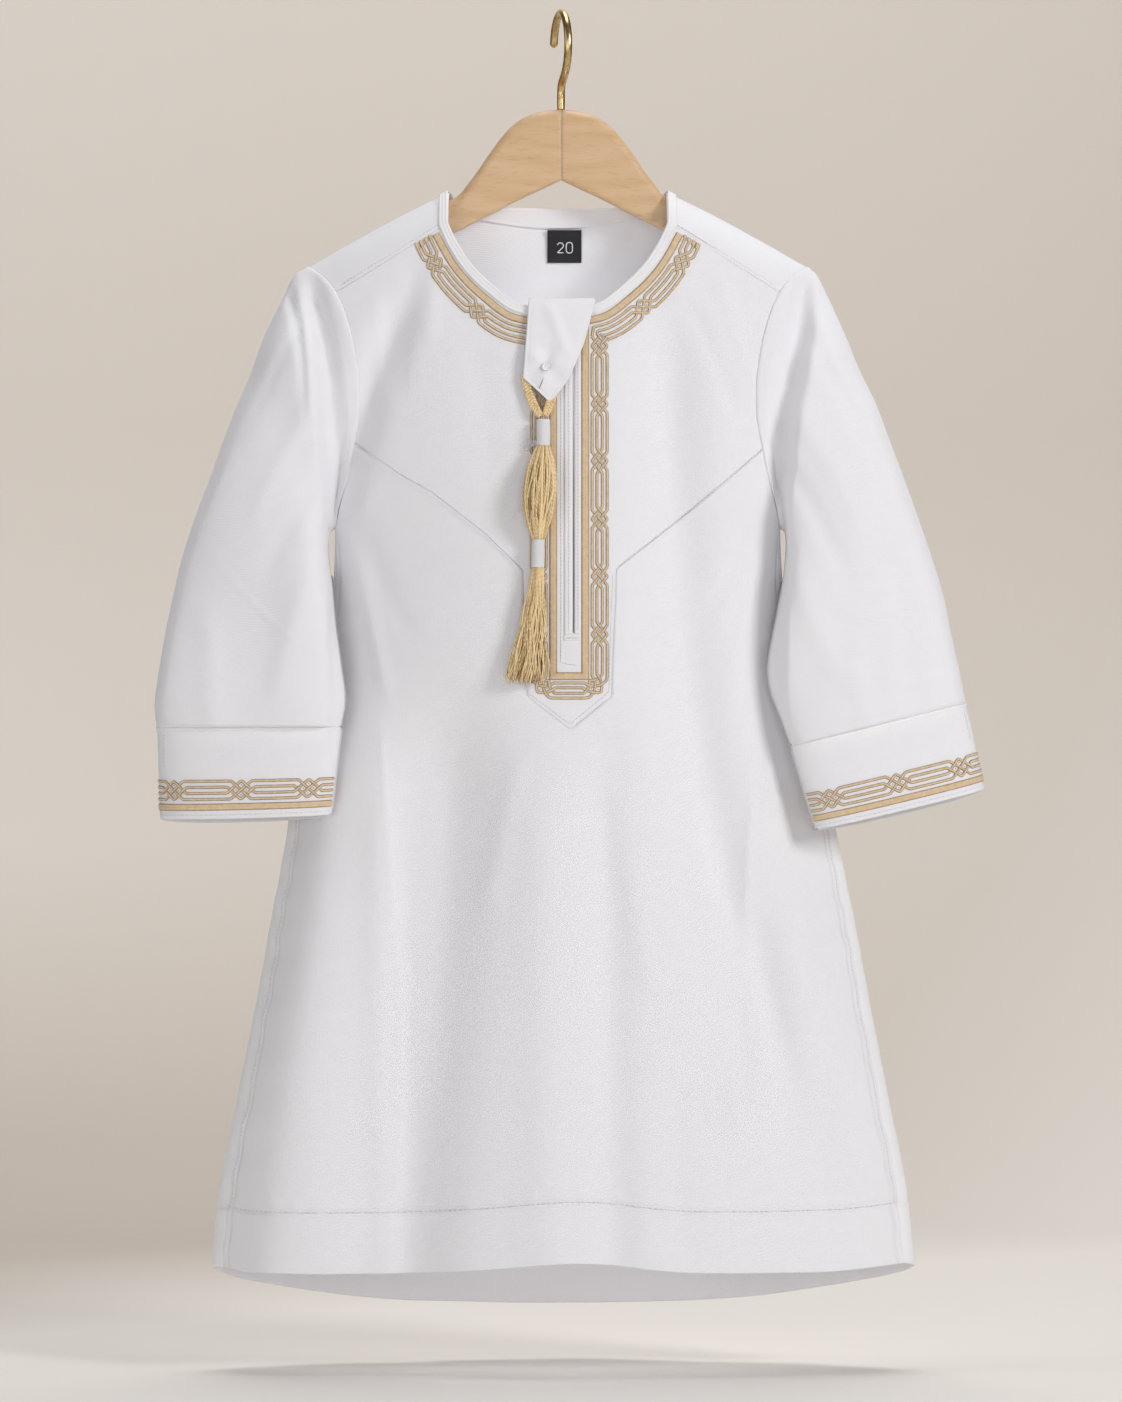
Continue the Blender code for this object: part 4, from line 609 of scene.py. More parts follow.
def yoke_grid():
    """x and q of the yoke, rows from the front seam over the ridge to the back
    seam, columns from armhole to armhole: out past the neck a share w of the
    way to the armhole, behind the neck by their distance from the middle."""
    rows = np.concatenate([-Y_ROWS_F, Y_ROWS_B])
    R, C = rows[:, None] * np.ones(len(YOKE_COLS)), np.ones(len(rows))[:, None] * YOKE_COLS
    side = np.where(C < 10, -1, 1)
    k = np.minimum(C, 20 - C)
    out = k <= 5
    w = np.interp(k, np.arange(6), YW)
    u = np.clip((C - 5) / 10 * 2 - 1, -1, 1)
    u = np.sign(u) * (1 - (1 - np.abs(u)) ** 1.25)
    X = np.where(out, MID + side * (NECK_HALF + (TIP - NECK_HALF) * w), MID + u * NECK_HALF)
    Q = np.zeros_like(X)
    for _ in range(60):
        seam = np.where(w == 1.0, YOKE_CORNER, seam_z(X))
        q_front = drop(X, seam) * R
        q_back = drop(X, np.full(X.shape, YOKE_BACK)) * np.clip(R, 0, 1)
        Q = np.where(R < 0, q_front, q_back)
        z = cape(X, Q)[..., 2]
        arm = np.where(Q == 0, TIP, curve(ARMHOLE, z))
        new = MID + side * (NECK_HALF + (arm - NECK_HALF) * w)
        X = np.where(out, 0.6 * X + 0.4 * new, X)
    q0 = drop(X, curve(NECK_BACK, np.abs(X - MID)))
    q1 = drop(X, np.full(X.shape, YOKE_BACK))
    Q = np.where(out, Q, q0 + (q1 - q0) * np.clip(R, 0, 1))
    return X, Q, out


XY, QY, yoke_out = yoke_grid()
PY, NY = cape(XY, QY), cape_normal(XY, QY)
ripple = (0.35 * np.sin(XY / 9.0 + 2 * np.sin(QY * 1.1)) * np.sin(QY * 1.3 + XY / 31.0)
          + 0.3 * np.exp(-((np.abs(XY - MID) - 88) / 7) ** 2) * np.sin(QY * 2))
ripple = ripple * smooth((np.abs(QY)) / 0.7) * smooth((TIP - np.abs(XY - MID)) / 14)
PY = PY + NY * ripple[..., None]
NF = len(Y_ROWS_F)
keep = np.ones((XY.shape[0] - 1, XY.shape[1] - 1), bool)
keep[:NF] = (yoke_out[:, :-1] & yoke_out[:, 1:])[:NF] & ~((YOKE_COLS[:-1] >= 5) & (YOKE_COLS[:-1] < 15))
YOKE_QUADS = quads_of(*XY.shape, keep=keep, flip=True)

BACK_Z = np.array([YOKE_BACK, -163, -178, -193, -207, -219.5, -230.5, -238.5, UNDERARM])
BACK_U = np.concatenate([[0, 0.0015], np.linspace(0, 1, 176)[1:-1], [0.9985, 1]])
BACK_U = BACK_U - 0.055 * np.sin(2 * math.pi * BACK_U)


def back_grid():
    """Angle and height of the back, from the right armhole or side seam round
    behind to the left one; its side rows share the front's heights."""
    rows_z, rows_p = [], []
    zs = spread_rows(BACK_Z, [6, 7, 7, 7, 6, 5, 4, 3])
    for z in np.concatenate([[zs[0], zs[0] - 0.3], zs[1:]]):
        lim = math.pi - float(arm_phi(np.array(z)))
        rows_p.append(-lim - (2 * math.pi - 2 * lim) * BACK_U)
        rows_z.append(np.full(len(BACK_U), z))
    split = len(rows_z) - 1
    span = ZL[-1] - UNDERARM
    e0, e1 = curve(HEM_BACK, np.array([-75.0, -285.0]))
    for j in range(UNDER_ROW + 1, len(ZL)):
        v = [(ZL[j, i] - UNDERARM) / span[i] for i in (0, -1)]
        zz = np.full(len(BACK_U), ZL[j, 0])
        for _ in range(10):
            lim = arm_phi(np.minimum(zz, UNDERARM - 0.01))
            p = -lim - (2 * math.pi - 2 * lim) * BACK_U
            zh = (curve(HEM_BACK, np.degrees(p)) + (ZL[-1, 0] - e0) * (1 - BACK_U) ** 8
                  + (ZL[-1, -1] - e1) * BACK_U ** 8)
            zh[0], zh[-1] = ZL[-1, 0], ZL[-1, -1]
            zz = UNDERARM + (zh - UNDERARM) * (v[0] + (v[1] - v[0]) * BACK_U)
        rows_z.append(zz)
        rows_p.append(p)
    return np.array(rows_p), np.array(rows_z), split


PHB, ZB, BACK_SPLIT = back_grid()
PB, NB = body_cloth(PHB, ZB)
BACK_QUADS = quads_of(*ZB.shape, flip=True)

# ---- sleeves and cuffs

# outer edge x, z from the shoulder tip to the cuff seam
OUT_R = np.array([
    (-120.9, -119.3), (-126.8, -121.9), (-130.2, -126.6), (-132.3, -131.8),
    (-135, -137), (-140.2, -147), (-144.5, -157), (-150, -172),
    (-155, -183.4), (-162.3, -202.4), (-169.2, -221.4), (-176.2, -240.3),
    (-182.1, -259.3), (-186.3, -278.2), (-190, -297.2), (-192.9, -316.2),
    (-194.2, -328), (-193.1, -338.8)])
OUT_L = np.array([
    (115.9, -119.3), (120.1, -121.9), (122.9, -126.6), (125.1, -131.3),
    (127.5, -136), (131.8, -145.5), (136, -155), (139.8, -164.5),
    (144.1, -174), (148.8, -183.4), (155.9, -202.4), (163, -221.4),
    (169.7, -240.3), (176.1, -259.3), (181.6, -278.2), (185.3, -297.2),
    (189.1, -314.5), (191.5, -327.1)])
# inner edge x, z from the underarm to the cuff seam
IN_R = np.array([
    (-108.6, -243.7), (-111.3, -247), (-112, -252.5), (-111.6, -259.5), (-110.4, -267),
    (-108.3, -288.7), (-105.2, -310), (-103.3, -326), (-105.2, -338.4)])
IN_L = np.array([
    (103.6, -243.7), (106.3, -247), (107, -252.5), (106.4, -259.5), (105, -267),
    (101.9, -283.5), (98.6, -300), (97.2, -311), (98.1, -319.5),
    (102.4, -331.8), (108.1, -347.4)])
# front fold edge z, x
EDGE_R = np.array([
    (-119.3, -123.5), (-130.8, -126.1), (-144.6, -123.2), (-161.6, -120.4),
    (-180.1, -119), (-199.6, -117.1), (-223.7, -114.7), (-243.7, -113)])
EDGE_L = np.array([
    (-119.3, 118.5), (-131.8, 121.3), (-148.4, 119.9), (-168.7, 116.6),
    (-189.6, 112.8), (-209, 110.4), (-228.5, 108.1), (-243.7, 106.4)])
# cuff corners x, z: top outer, top inner, edge outer, edge inner
CUFF_R = np.array([(-192.9, -338.8), (-105.2, -338.4), (-191.5, -382), (-110, -379.7)])
CUFF_L = np.array([(191.5, -327.1), (108.1, -347.4), (200.5, -367.8), (119.9, -386.8)])
# s, y of the outer edge, y of the inner edge, half depth
SLEEVE = np.array([
    (0, 0, 0, 15.5), (0.2, -1.5, -2.5, 15.5), (0.35, -3, -7.5, 15.5),
    (0.55, -5, -13, 15), (0.8, -8, -18.5, 13.5), (1, -10, -21, 12)])
STEP = 7.5              # how far the fold edge stands in front of the armhole strip
SLEEVE_LONG = 225.0     # armhole to cuff seam, along the cloth
CUFF_DEEP = 43.0        # cuff seam to edge
S_FINE = np.concatenate([[0, 0.004], np.linspace(0, 1, 84)[1:-1], [0.996, 1]])
# sleeve creases: side, s and a at both ends, half width, height
SLEEVE_CREASES = np.array([
    (-1, 0.02, 0.10, 0.42, 0.05, 3, -0.6), (-1, 0.05, 0.35, 0.50, 0.30, 5, 0.9),
    (-1, 0.60, 0.10, 0.70, 0.80, 3, 0.45), (-1, 0.10, 0.60, 0.60, 0.48, 5, -0.6),
    (-1, 0.35, 0.80, 0.95, 0.62, 6, 1.1), (-1, 0.70, 0.22, 1.05, 0.34, 6, 0.9),
    (-1, 0.22, 0.70, 1.08, 0.80, 15, 2.8),
    (1, 0.02, 0.12, 0.50, 0.08, 3.5, -0.8), (1, 0.04, 0.38, 0.55, 0.30, 5, 1),
    (1, 0.12, 0.60, 0.62, 0.45, 5, -1.3), (1, 0.30, 0.82, 0.90, 0.60, 6, 1.2),
    (1, 0.55, 0.20, 1.05, 0.30, 6, -0.9), (1, 0.72, 0.52, 1.05, 0.58, 5, 0.9)])


def along(pts, s):
    """Point at share s of the length of a polyline, softly rounded."""
    d = run(pts)
    rows = np.column_stack([d / d[-1], pts])
    return np.stack([curve(rows, s, 1), curve(rows, s, 2)], -1)


def oval(a):
    """Half depth share across a flattened tube."""
    return (1 - np.abs(2 * a - 1) ** 2.3) ** (1 / 2.1)


def armring(side):
    """Armhole ring from the shoulder tip down the front and up the back:
    points, body normals, share a of the height and face."""
    i = 0 if side < 0 else -1
    parts = [(PY[NF::-1, i], NY[NF::-1, i], -1), (PU[1:UPPER_BIB + 1, i], NU[1:UPPER_BIB + 1, i], -1),
             (PL[1:UNDER_ROW + 1, i], NL[1:UNDER_ROW + 1, i], -1),
             (PB[BACK_SPLIT - 1:0:-1, i], NB[BACK_SPLIT - 1:0:-1, i], 1),
             (PY[:NF:-1, i], NY[:NF:-1, i], 1)]
    P = np.concatenate([p for p, _, _ in parts])
    N = np.concatenate([n for _, n, _ in parts])
    face = np.concatenate([np.full(len(p), float(f)) for p, _, f in parts])
    L = run(np.vstack([P, P[:1]]))
    n = int(L[-1] / 1.7)
    t = np.arange(n) * L[-1] / n
    face = face[np.clip(np.searchsorted(L, t, side="right") - 1, 0, len(face) - 1)]
    P, N = (np.stack([np.interp(t, L, np.append(A[:, k], A[0, k])) for k in range(3)], -1) for A in (P, N))
    N = unit(N)
    a = np.clip((P[0, 2] - P[:, 2]) / (P[0, 2] - UNDERARM), 0, 1)
    return P, N, a, face


def sleeve_shape(side, P0, a, face):
    """Rings of a sleeve from armhole to cuff seam: a flattened oval carried
    down between its outer and inner edges, its fold standing forward, and the
    armhole ring blended in near the top."""
    out, inn = (OUT_R, IN_R) if side < 0 else (OUT_L, IN_L)
    edge = EDGE_R if side < 0 else EDGE_L
    s = S_FINE[:, None]
    set_back = 9.0 if side < 0 else 2.0

    def shape(s):
        """Rings of the plain oval tube at shares s of its length."""
        T, B = along(out, s), along(inn, s)
        xz = T * (1 - a)[:, None] + B * a[:, None]
        y_out = curve(SLEEVE, s, 1) + set_back * smooth(s / 0.3) * smooth((1 - s) / 0.4)
        yc = y_out * (1 - a) + curve(SLEEVE, s, 2) * a
        return np.stack([xz[..., 0], yc + face * curve(SLEEVE, s, 3) * oval(a), xz[..., 1]], -1)

    base = shape(np.zeros((1, 1)))[0]
    k = np.clip(1 - s / 0.7, 0, 1) ** 1.6
    ky = np.clip(1 - s / 0.4, 0, 1) ** 1.6
    R = shape(s) + (P0 - base) * np.stack([k, ky, k], -1)
    d = (R[..., 0] - curve(edge, R[..., 2])) * -side
    step = smooth((4.6 - d) / 5.2) * smooth((-126 - R[..., 2]) / 40.0) * smooth(s / 0.12)
    step = step * smooth(oval(a) * 1.8) * (1 - smooth((a - 0.72) / 0.2) * (1 - smooth((s - 0.15) / 0.35)))
    step = step * (1 - smooth((s - 0.45) / 0.4) * 0.6)
    dip = np.exp(-((d - 8.5) / 5.5) ** 2) * smooth(s / 0.05) * 6.0 * (R[..., 2] > UNDERARM)
    groove = 3.0 * np.exp(-((d + 3.6) / 2.2) ** 2)
    groove = groove * smooth((-126 - R[..., 2]) / 10) * smooth((R[..., 2] + 205) / 70)
    R[..., 1] += np.where(face < 0, -STEP * step + dip + (groove if side < 0 else 0), 0)
    return R


def sleeve_creases(side, S, A, face):
    """Bell creases along straight lines in s and a, on the front, and softer
    mirrored ones on the back."""
    out = np.zeros(np.broadcast(S, A).shape)
    for sd, s0, a0, s1, a1, w, h in SLEEVE_CREASES[SLEEVE_CREASES[:, 0] == side]:
        t = (S - s0) / (s1 - s0)
        d = (A - (a0 + (a1 - a0) * t)) * 82.0
        bell = h * np.exp(-(d / w) ** 2) * smooth(t / 0.2) * smooth((1.05 - t) / 0.25)
        d2 = (A - (a0 + 0.12 + (a1 - a0) * t)) * 82.0
        bell2 = -0.8 * h * np.exp(-(d2 / w) ** 2) * smooth(t / 0.2) * smooth((1.05 - t) / 0.25)
        out = out + np.where(face < 0, bell, bell2)
    return out * smooth(oval(A) * 1.5)


def cuff_shape(side, a, face, w):
    """Point of the cuff at ring share a and face, w from seam 0 to edge 1: an
    oval tube between its four corners, whose edge bows down a little."""
    a, face, w = np.broadcast_arrays(a, face, w)
    c = CUFF_R if side < 0 else CUFF_L
    T, B = c[0] + (c[2] - c[0]) * w[..., None], c[1] + (c[3] - c[1]) * w[..., None]
    xz = T * (1 - a)[..., None] + B * a[..., None]
    y = -10.0 * (1 - a) - 21.0 * a + face * (12.0 + 1.3 * w) * oval(a)
    return np.stack([xz[..., 0], y, xz[..., 1] - w * oval(a) * np.where(face > 0, 3.0, 0.8)], -1)


CUFF_W = np.concatenate([[0, 0.015], np.linspace(0, 1, 24)[1:-1], [0.98, 1]])


def sleeve_grids(side):
    """Points and normals of one sleeve and of its cuff, with their creases and
    a welt along each seam, and the gaps at the sleeve's seams."""
    P0, N0, a, face = armring(side)
    G = sleeve_shape(side, P0, a, face)
    turn = 1 if side < 0 else -1
    NS = grid_normals(G, loop=True) * turn
    S, A = S_FINE[:, None] * np.ones(len(a)), np.ones(len(S_FINE))[:, None] * a
    welt = 0.5 * np.exp(-((S * SLEEVE_LONG - 0.9) / 0.9) ** 2)
    G = G + NS * (sleeve_creases(side, S, A, face) + welt)[..., None]
    C = cuff_shape(side, a, face, CUFF_W[:, None])
    NC = grid_normals(C, loop=True) * turn
    C = C + NC * (0.7 * np.exp(-(CUFF_W[:, None] * CUFF_DEEP / 1.4) ** 2))[..., None]
    NS = grid_normals(G, loop=True) * turn
    seam_n = unit(NS[-1] + NC[0])
    G[-1], NS[-1], NC[0] = C[0], seam_n, seam_n
    NS[0] = unit(NS[1] + N0)
    gap = np.full(G.shape[:2], SEAM)
    gap[0] += 0.45 * smooth((a - 0.8) / 0.15)
    return G, NS, C, NC, gap


SLEEVES = {side: sleeve_grids(side) for side in (-1, 1)}

# ---- materials


class Finish:
    """A material under construction: its shader and short ways to add nodes."""

    def __init__(self, name, colour, rough, **fixed):
        """Start with one even colour and roughness, and other fixed inputs."""
        self.mat = bpy.data.materials.new(name)
        self.mat.use_nodes = True
        self.mat.diffuse_color = (*colour, 1.0)
        self.tree = self.mat.node_tree
        self.shader = self.tree.nodes["Principled BSDF"]
        self.shader.inputs["Base Color"].default_value = (*colour, 1.0)
        self.shader.inputs["Roughness"].default_value = rough
        for socket, value in fixed.items():
            self.shader.inputs[socket.replace("_", " ")].default_value = value
        self.height = None
        MATS[name] = self.mat

    def node(self, kind, settings=None, **inputs):
        """Add one node; inputs are numbers or the outputs of other nodes."""
        nd = self.tree.nodes.new("ShaderNode" + kind)
        for k, v in (settings or {}).items():
            setattr(nd, k, v)
        for k, v in inputs.items():
            by_number = k[0] == "i" and k[1:].isdigit()
            sock = nd.inputs[int(k[1:]) if by_number else k.replace("_", " ")]
            if isinstance(v, bpy.types.NodeSocket):
                self.tree.links.new(v, sock)
            else:
                sock.default_value = v
        return nd.outputs

    def weave(self, turn=0.0):
        """Weave coordinates in metres, turned about their normal."""
        uv = self.node("UVMap", {"uv_map": "weave"})["UV"]
        return self.node("Mapping", Vector=uv, Rotation=(0.0, 0.0, turn))["Vector"]

    def place(self, scale=(1.0, 1.0, 1.0), turn=(0.0, 0.0, 0.0)):
        """Object coordinates in metres, scaled and turned."""
        at = self.node("TexCoord")["Object"]
        return self.node("Mapping", Vector=at, Scale=scale, Rotation=turn)["Vector"]

    def noise(self, vector, size, detail=3.0, rough=0.5):
        """Even noise whose blobs are about size metres across."""
        return self.node("TexNoise", Vector=vector, Scale=0.5 / size, Detail=detail, Roughness=rough)["Fac"]

    def bands(self, vector, pitch, distort=0.0):
        """Sine bands across X, one each pitch metres."""
        return self.node("TexWave", {"wave_type": "BANDS", "bands_direction": "X"}, Vector=vector,
                         Scale=math.pi / 10 / pitch, Distortion=distort, Detail=1.0, Detail_Scale=2.0)["Fac"]

    def math(self, op, a, b=0.0, c=0.0):
        """One sum, product or other operation on up to three values."""
        return self.node("Math", {"operation": op}, i0=a, i1=b, i2=c)["Value"]

    def span(self, value, start, end, low=0.0, high=1.0):
        """low before start, high after end and a straight run in between."""
        return self.node("MapRange", Value=value, From_Min=start, From_Max=end,
                         To_Min=low, To_Max=high)["Result"]

    def ramp(self, fac, *stops):
        """Colour by a value through stops of (position, colour)."""
        nd = self.tree.nodes.new("ShaderNodeValToRGB")
        while len(nd.color_ramp.elements) < len(stops):
            nd.color_ramp.elements.new(0.5)
        for el, (pos, col) in zip(nd.color_ramp.elements, stops):
            el.position, el.color = pos, (*col, 1.0)
        self.tree.links.new(fac, nd.inputs["Fac"])
        return nd.outputs["Color"]

    def mix(self, fac, a, b):
        """Colour a where fac is 0 and b where it is 1."""
        return self.node("Mix", {"data_type": "RGBA"}, i0=fac, i6=a, i7=b)[2]

    def bump(self, height, distance, strength=1.0):
        """Lay one more layer of relief on the shader's normal."""
        extra = {} if self.height is None else {"Normal": self.height}
        self.height = self.node("Bump", Height=height, Distance=distance, Strength=strength,
                                **extra)["Normal"]
        self.tree.links.new(self.height, self.shader.inputs["Normal"])

    def colour(self, socket):
        """Let an output set the base colour."""
        self.tree.links.new(socket, self.shader.inputs["Base Color"])

    def rough(self, fac, low, high):
        """Roughness from low to high as fac goes from 0 to 1."""
        r = self.node("MapRange", Value=fac, To_Min=low, To_Max=high)["Result"]
        self.tree.links.new(r, self.shader.inputs["Roughness"])


def white_cloth(name, tint=(0.83, 0.823, 0.855), pitch=0.0009, relief=0.00006):
    """White twill: fine slanting ribs, a soft unevenness, and hollows along
    the lines of stitching given by the groove attribute."""
    f = Finish(name, tint, 0.82, Sheen_Weight=0.25, Sheen_Roughness=0.45, Specular_IOR_Level=0.25)
    rib = f.bands(f.weave(math.radians(58)), pitch, 0.4)
    cross = f.bands(f.weave(math.radians(-20)), pitch * 0.55, 0.3)
    twill = f.math("MULTIPLY_ADD", cross, 0.35, rib)
    slub = f.noise(f.place(), 0.0035, 4.0, 0.6)
    drift = f.noise(f.place(), 0.030, 2.0)
    shade = tuple(c * 0.965 for c in tint)
    tone = f.ramp(f.math("MULTIPLY_ADD", twill, 0.28, f.math("MULTIPLY", slub, 0.45)),
                  (0.20, shade), (0.62, tint))
    f.colour(f.mix(f.math("MULTIPLY", drift, 0.25), tone, (*[c * 0.97 for c in tint], 1.0)))
    f.bump(drift, 0.0008, 0.35)
    f.bump(slub, 0.00035, 0.4)
    f.bump(twill, relief, 0.8)
    groove = f.node("Attribute", {"attribute_name": "groove"})["Fac"]
    f.bump(f.math("MULTIPLY", groove, -1.0), 0.0005, 0.9)


def gold_thread(name, light, dark, pitch, lean, ply=0.55):
    """Satin-stitched thread: fine threads laid side by side across the line,
    with light and dark strands, painted shade from the rim attribute and a silky sheen."""
    f = Finish(name, light, 0.5, Sheen_Weight=0.3, Sheen_Roughness=0.35, Specular_IOR_Level=0.45)
    thread = f.bands(f.weave(lean), pitch, 0.8)
    vary = f.noise(f.weave(lean), 0.0012, 3.0, 0.7)
    tone = f.math("MULTIPLY_ADD", thread, ply, f.math("MULTIPLY", vary, 1.15 - ply))
    own = f.node("Attribute", {"attribute_name": "tone"})["Fac"]
    tone = f.math("ADD", tone, f.math("MULTIPLY_ADD", own, 0.5, -0.25))
    # painted shade: the rim attribute darkens the thread towards each line's foot, on the yarns' undersides
    # and deep inside the tassel
    rim = f.node("Attribute", {"attribute_name": "rim"})["Fac"]
    tone = f.math("SUBTRACT", tone, f.math("MULTIPLY", rim, 0.85))
    middle = tuple((a + b) / 2 for a, b in zip(light, dark))
    f.colour(f.ramp(tone, (0.05, dark), (0.30, middle), (0.60, light)))
    f.rough(vary, 0.38, 0.62)
    f.bump(vary, 0.0003, 0.5)
    f.bump(thread, 0.00016, 1.6 * ply)


def black_tape():
    """Black label tape: a close plain weave."""
    f = Finish("black_tape", (0.012, 0.012, 0.014), 0.75, Sheen_Weight=0.3, Specular_IOR_Level=0.3)
    rows = f.math("ADD", f.bands(f.weave(), 0.0005), f.bands(f.weave(math.pi / 2), 0.0004))
    f.colour(f.ramp(f.math("MULTIPLY", rows, 0.5), (0.2, (0.006, 0.006, 0.008)), (0.9, (0.026, 0.026, 0.03))))
    f.bump(rows, 0.0001, 0.7)


def dent_shade():
    """The soft shadow in each needle hole between two stitches."""
    f = Finish("dent_shade", (0.55, 0.54, 0.56), 0.9, Specular_IOR_Level=0.1)
    f.colour(f.ramp(f.noise(f.place(), 0.0008, 3.0), (0.3, (0.46, 0.45, 0.47)), (0.7, (0.66, 0.65, 0.67))))
    f.bump(f.noise(f.place(), 0.0005), 0.0001)


def deep_shade():
    """Painted shade: the dark inside of the buttonhole."""
    f = Finish("deep_shade", (0.10, 0.09, 0.09), 0.9, Specular_IOR_Level=0.1)
    f.bump(f.noise(f.place(), 0.0006), 0.0002)


def pearl():
    """Mother of pearl: cloudy white, glossy, with painted shade round its edge."""
    f = Finish("pearl", (0.84, 0.83, 0.82), 0.18, Coat_Weight=0.6, Coat_Roughness=0.08,
               Specular_IOR_Level=0.6)
    swirl = f.noise(f.place(), 0.0012, 4.0, 0.6)
    sheen = f.ramp(swirl, (0.3, (0.78, 0.75, 0.74)), (0.5, (0.86, 0.85, 0.84)), (0.7, (0.78, 0.80, 0.82)))
    # painted shade: the rows marked rim, on the button's side and back, are darkened
    f.colour(f.mix(f.node("Attribute", {"attribute_name": "rim"})["Fac"], sheen, (0.33, 0.32, 0.31, 1.0)))
    f.bump(swirl, 0.00005, 0.4)


def beech(name, lean):
    """Beech: long soft grain that runs along the arm, darker annual lines,
    short flecks and a satin finish."""
    f = Finish(name, (0.62, 0.43, 0.26), 0.42, Specular_IOR_Level=0.4)
    grain = f.place((0.12, 1.0, 1.0), (0.0, lean, 0.0))
    long = f.noise(grain, 0.0020, 5.0, 0.6)
    rings = f.node("TexWave", {"wave_type": "BANDS", "bands_direction": "Z"},
                   Vector=f.place((0.22, 0.8, 1.0), (0.0, lean, 0.0)), Scale=38.0, Distortion=5.5,
                   Detail=3.0, Detail_Scale=1.2)["Fac"]
    fleck = f.noise(f.place((0.16, 1.0, 1.0), (0.0, lean, 0.0)), 0.0006, 2.0, 0.5)
    tone = f.math("MULTIPLY_ADD", rings, 0.22, f.math("MULTIPLY", long, 0.75))
    base = f.ramp(tone, (0.25, (0.680, 0.475, 0.285)), (0.55, (0.630, 0.420, 0.235)),
                  (0.85, (0.540, 0.335, 0.170)))
    spots = f.ramp(fleck, (0.34, (0.42, 0.26, 0.14)), (0.42, (1.0, 1.0, 1.0)))
    f.colour(f.node("Mix", {"data_type": "RGBA", "blend_type": "MULTIPLY"}, i0=0.16, i6=base, i7=spots)[2])
    f.rough(long, 0.34, 0.52)
    f.bump(long, 0.00025, 0.35)
    f.bump(fleck, 0.0001, 0.5)


def brass():
    """Drawn brass wire with patches of wear."""
    f = Finish("brass", (0.60, 0.43, 0.20), 0.24, Metallic=1.0)
    wear = f.noise(f.place(), 0.004, 5.0, 0.65)
    drawn = f.noise(f.place((1.0, 1.0, 0.08)), 0.0004, 2.0)
    f.colour(f.ramp(wear, (0.30, (0.36, 0.24, 0.095)), (0.50, (0.60, 0.43, 0.20)),
                    (0.75, (0.78, 0.60, 0.33))))
    f.rough(wear, 0.16, 0.40)
    f.bump(drawn, 0.00004, 0.5)


white_cloth("white_twill")
# a lighter copy of the twill for the back panel: painted light for the light that comes through the thin
# cloth into the hollow
white_cloth("white_twill_back_painted_light", (0.89, 0.88, 0.905))
white_cloth("white_tape", (0.85, 0.84, 0.86), 0.0006, 0.00005)
white_cloth("white_thread", (0.80, 0.795, 0.81), 0.0005, 0.00008)
gold_thread("gold_satin", (0.89, 0.69, 0.45), (0.36, 0.22, 0.10), 0.00045, 0.25)
gold_thread("gold_cord", (0.96, 0.76, 0.50), (0.25, 0.14, 0.055), 0.00042, 0.5)
gold_thread("tassel_yarn", (0.87, 0.67, 0.37), (0.36, 0.22, 0.08), 0.0013, 0.9, 0.22)
black_tape()
dent_shade()
deep_shade()
pearl()
beech("beech_right", math.radians(-29))
beech("beech_left", math.radians(29))
brass()

# ---- the panels


def body_panels():
    """The two front panels, the back and the yoke, each one piece of cloth."""
    step = np.linalg.norm(np.diff(PL, axis=1), axis=2)
    from_left = np.concatenate([np.zeros((len(ZL), 1)), np.cumsum(step, axis=1)], axis=1)
    from_side = np.minimum(from_left, from_left[:, -1:] - from_left)
    groove = np.where(ZL < UNDERARM - 6, seam_groove(np.where(from_left < 100, from_left, from_side), 3.6), 0)
    groove = np.maximum(groove, seam_groove(np.abs(ZL - z_deep), 0.0))
    piece = cloth_piece("lower_front", PL, NL, LOWER_QUADS, hem_wall(ZL), soft=0.06, uv=weave_uv(PHL, ZL),
                        data={"groove": groove}, replaces=["front_lower"])
    piece = cloth_piece("upper_front", PU, NU, UPPER_QUADS, soft=0.05, uv=weave_uv(PHU, ZU),
                        replaces=["front_upper"])
    groove = seam_groove(np.abs(ZB - (ZB[-1] + HEM_DEEP)), 0.0)
    # the back panel wears the lighter twill copy, which is painted light
    piece = cloth_piece("back_panel", PB, NB, BACK_QUADS, hem_wall(ZB), uv=weave_uv(PHB, ZB),
                        data={"groove": groove}, mat="white_twill_back_painted_light", replaces=["back"])
    piece = cloth_piece("shoulder_yoke", PY, NY, YOKE_QUADS, uv=np.stack([XY, QY * 31.4], -1),
                        replaces=["yoke"])


def sleeve_and_cuff(side, G, N, C, NC, gap):
    """One sleeve and the turned band at its end."""
    tag = "right" if side < 0 else "left"
    round_it = run(G[40])
    uv = np.stack(np.broadcast_arrays(round_it, -S_FINE[:, None] * SLEEVE_LONG), -1)
    quads = quads_of(*G.shape[:2], loop=True, flip=side > 0)
    piece = cloth_piece("sleeve_cloth_" + tag, G, N, quads, seam=gap, soft=0.06, uv=uv,
                        replaces=["sleeve_" + tag])
    uv = np.stack(np.broadcast_arrays(round_it, -CUFF_W[:, None] * CUFF_DEEP), -1)
    quads = quads_of(*C.shape[:2], loop=True, flip=side > 0)
    piece = cloth_piece("cuff_band_" + tag, C, NC, quads, wall=HEM_CLOTH, soft=0.04, uv=uv,
                        replaces=["cuff_" + tag])


body_panels()
for side, shapes in SLEEVES.items():
    sleeve_and_cuff(side, *shapes)

# ---- thread and trim making


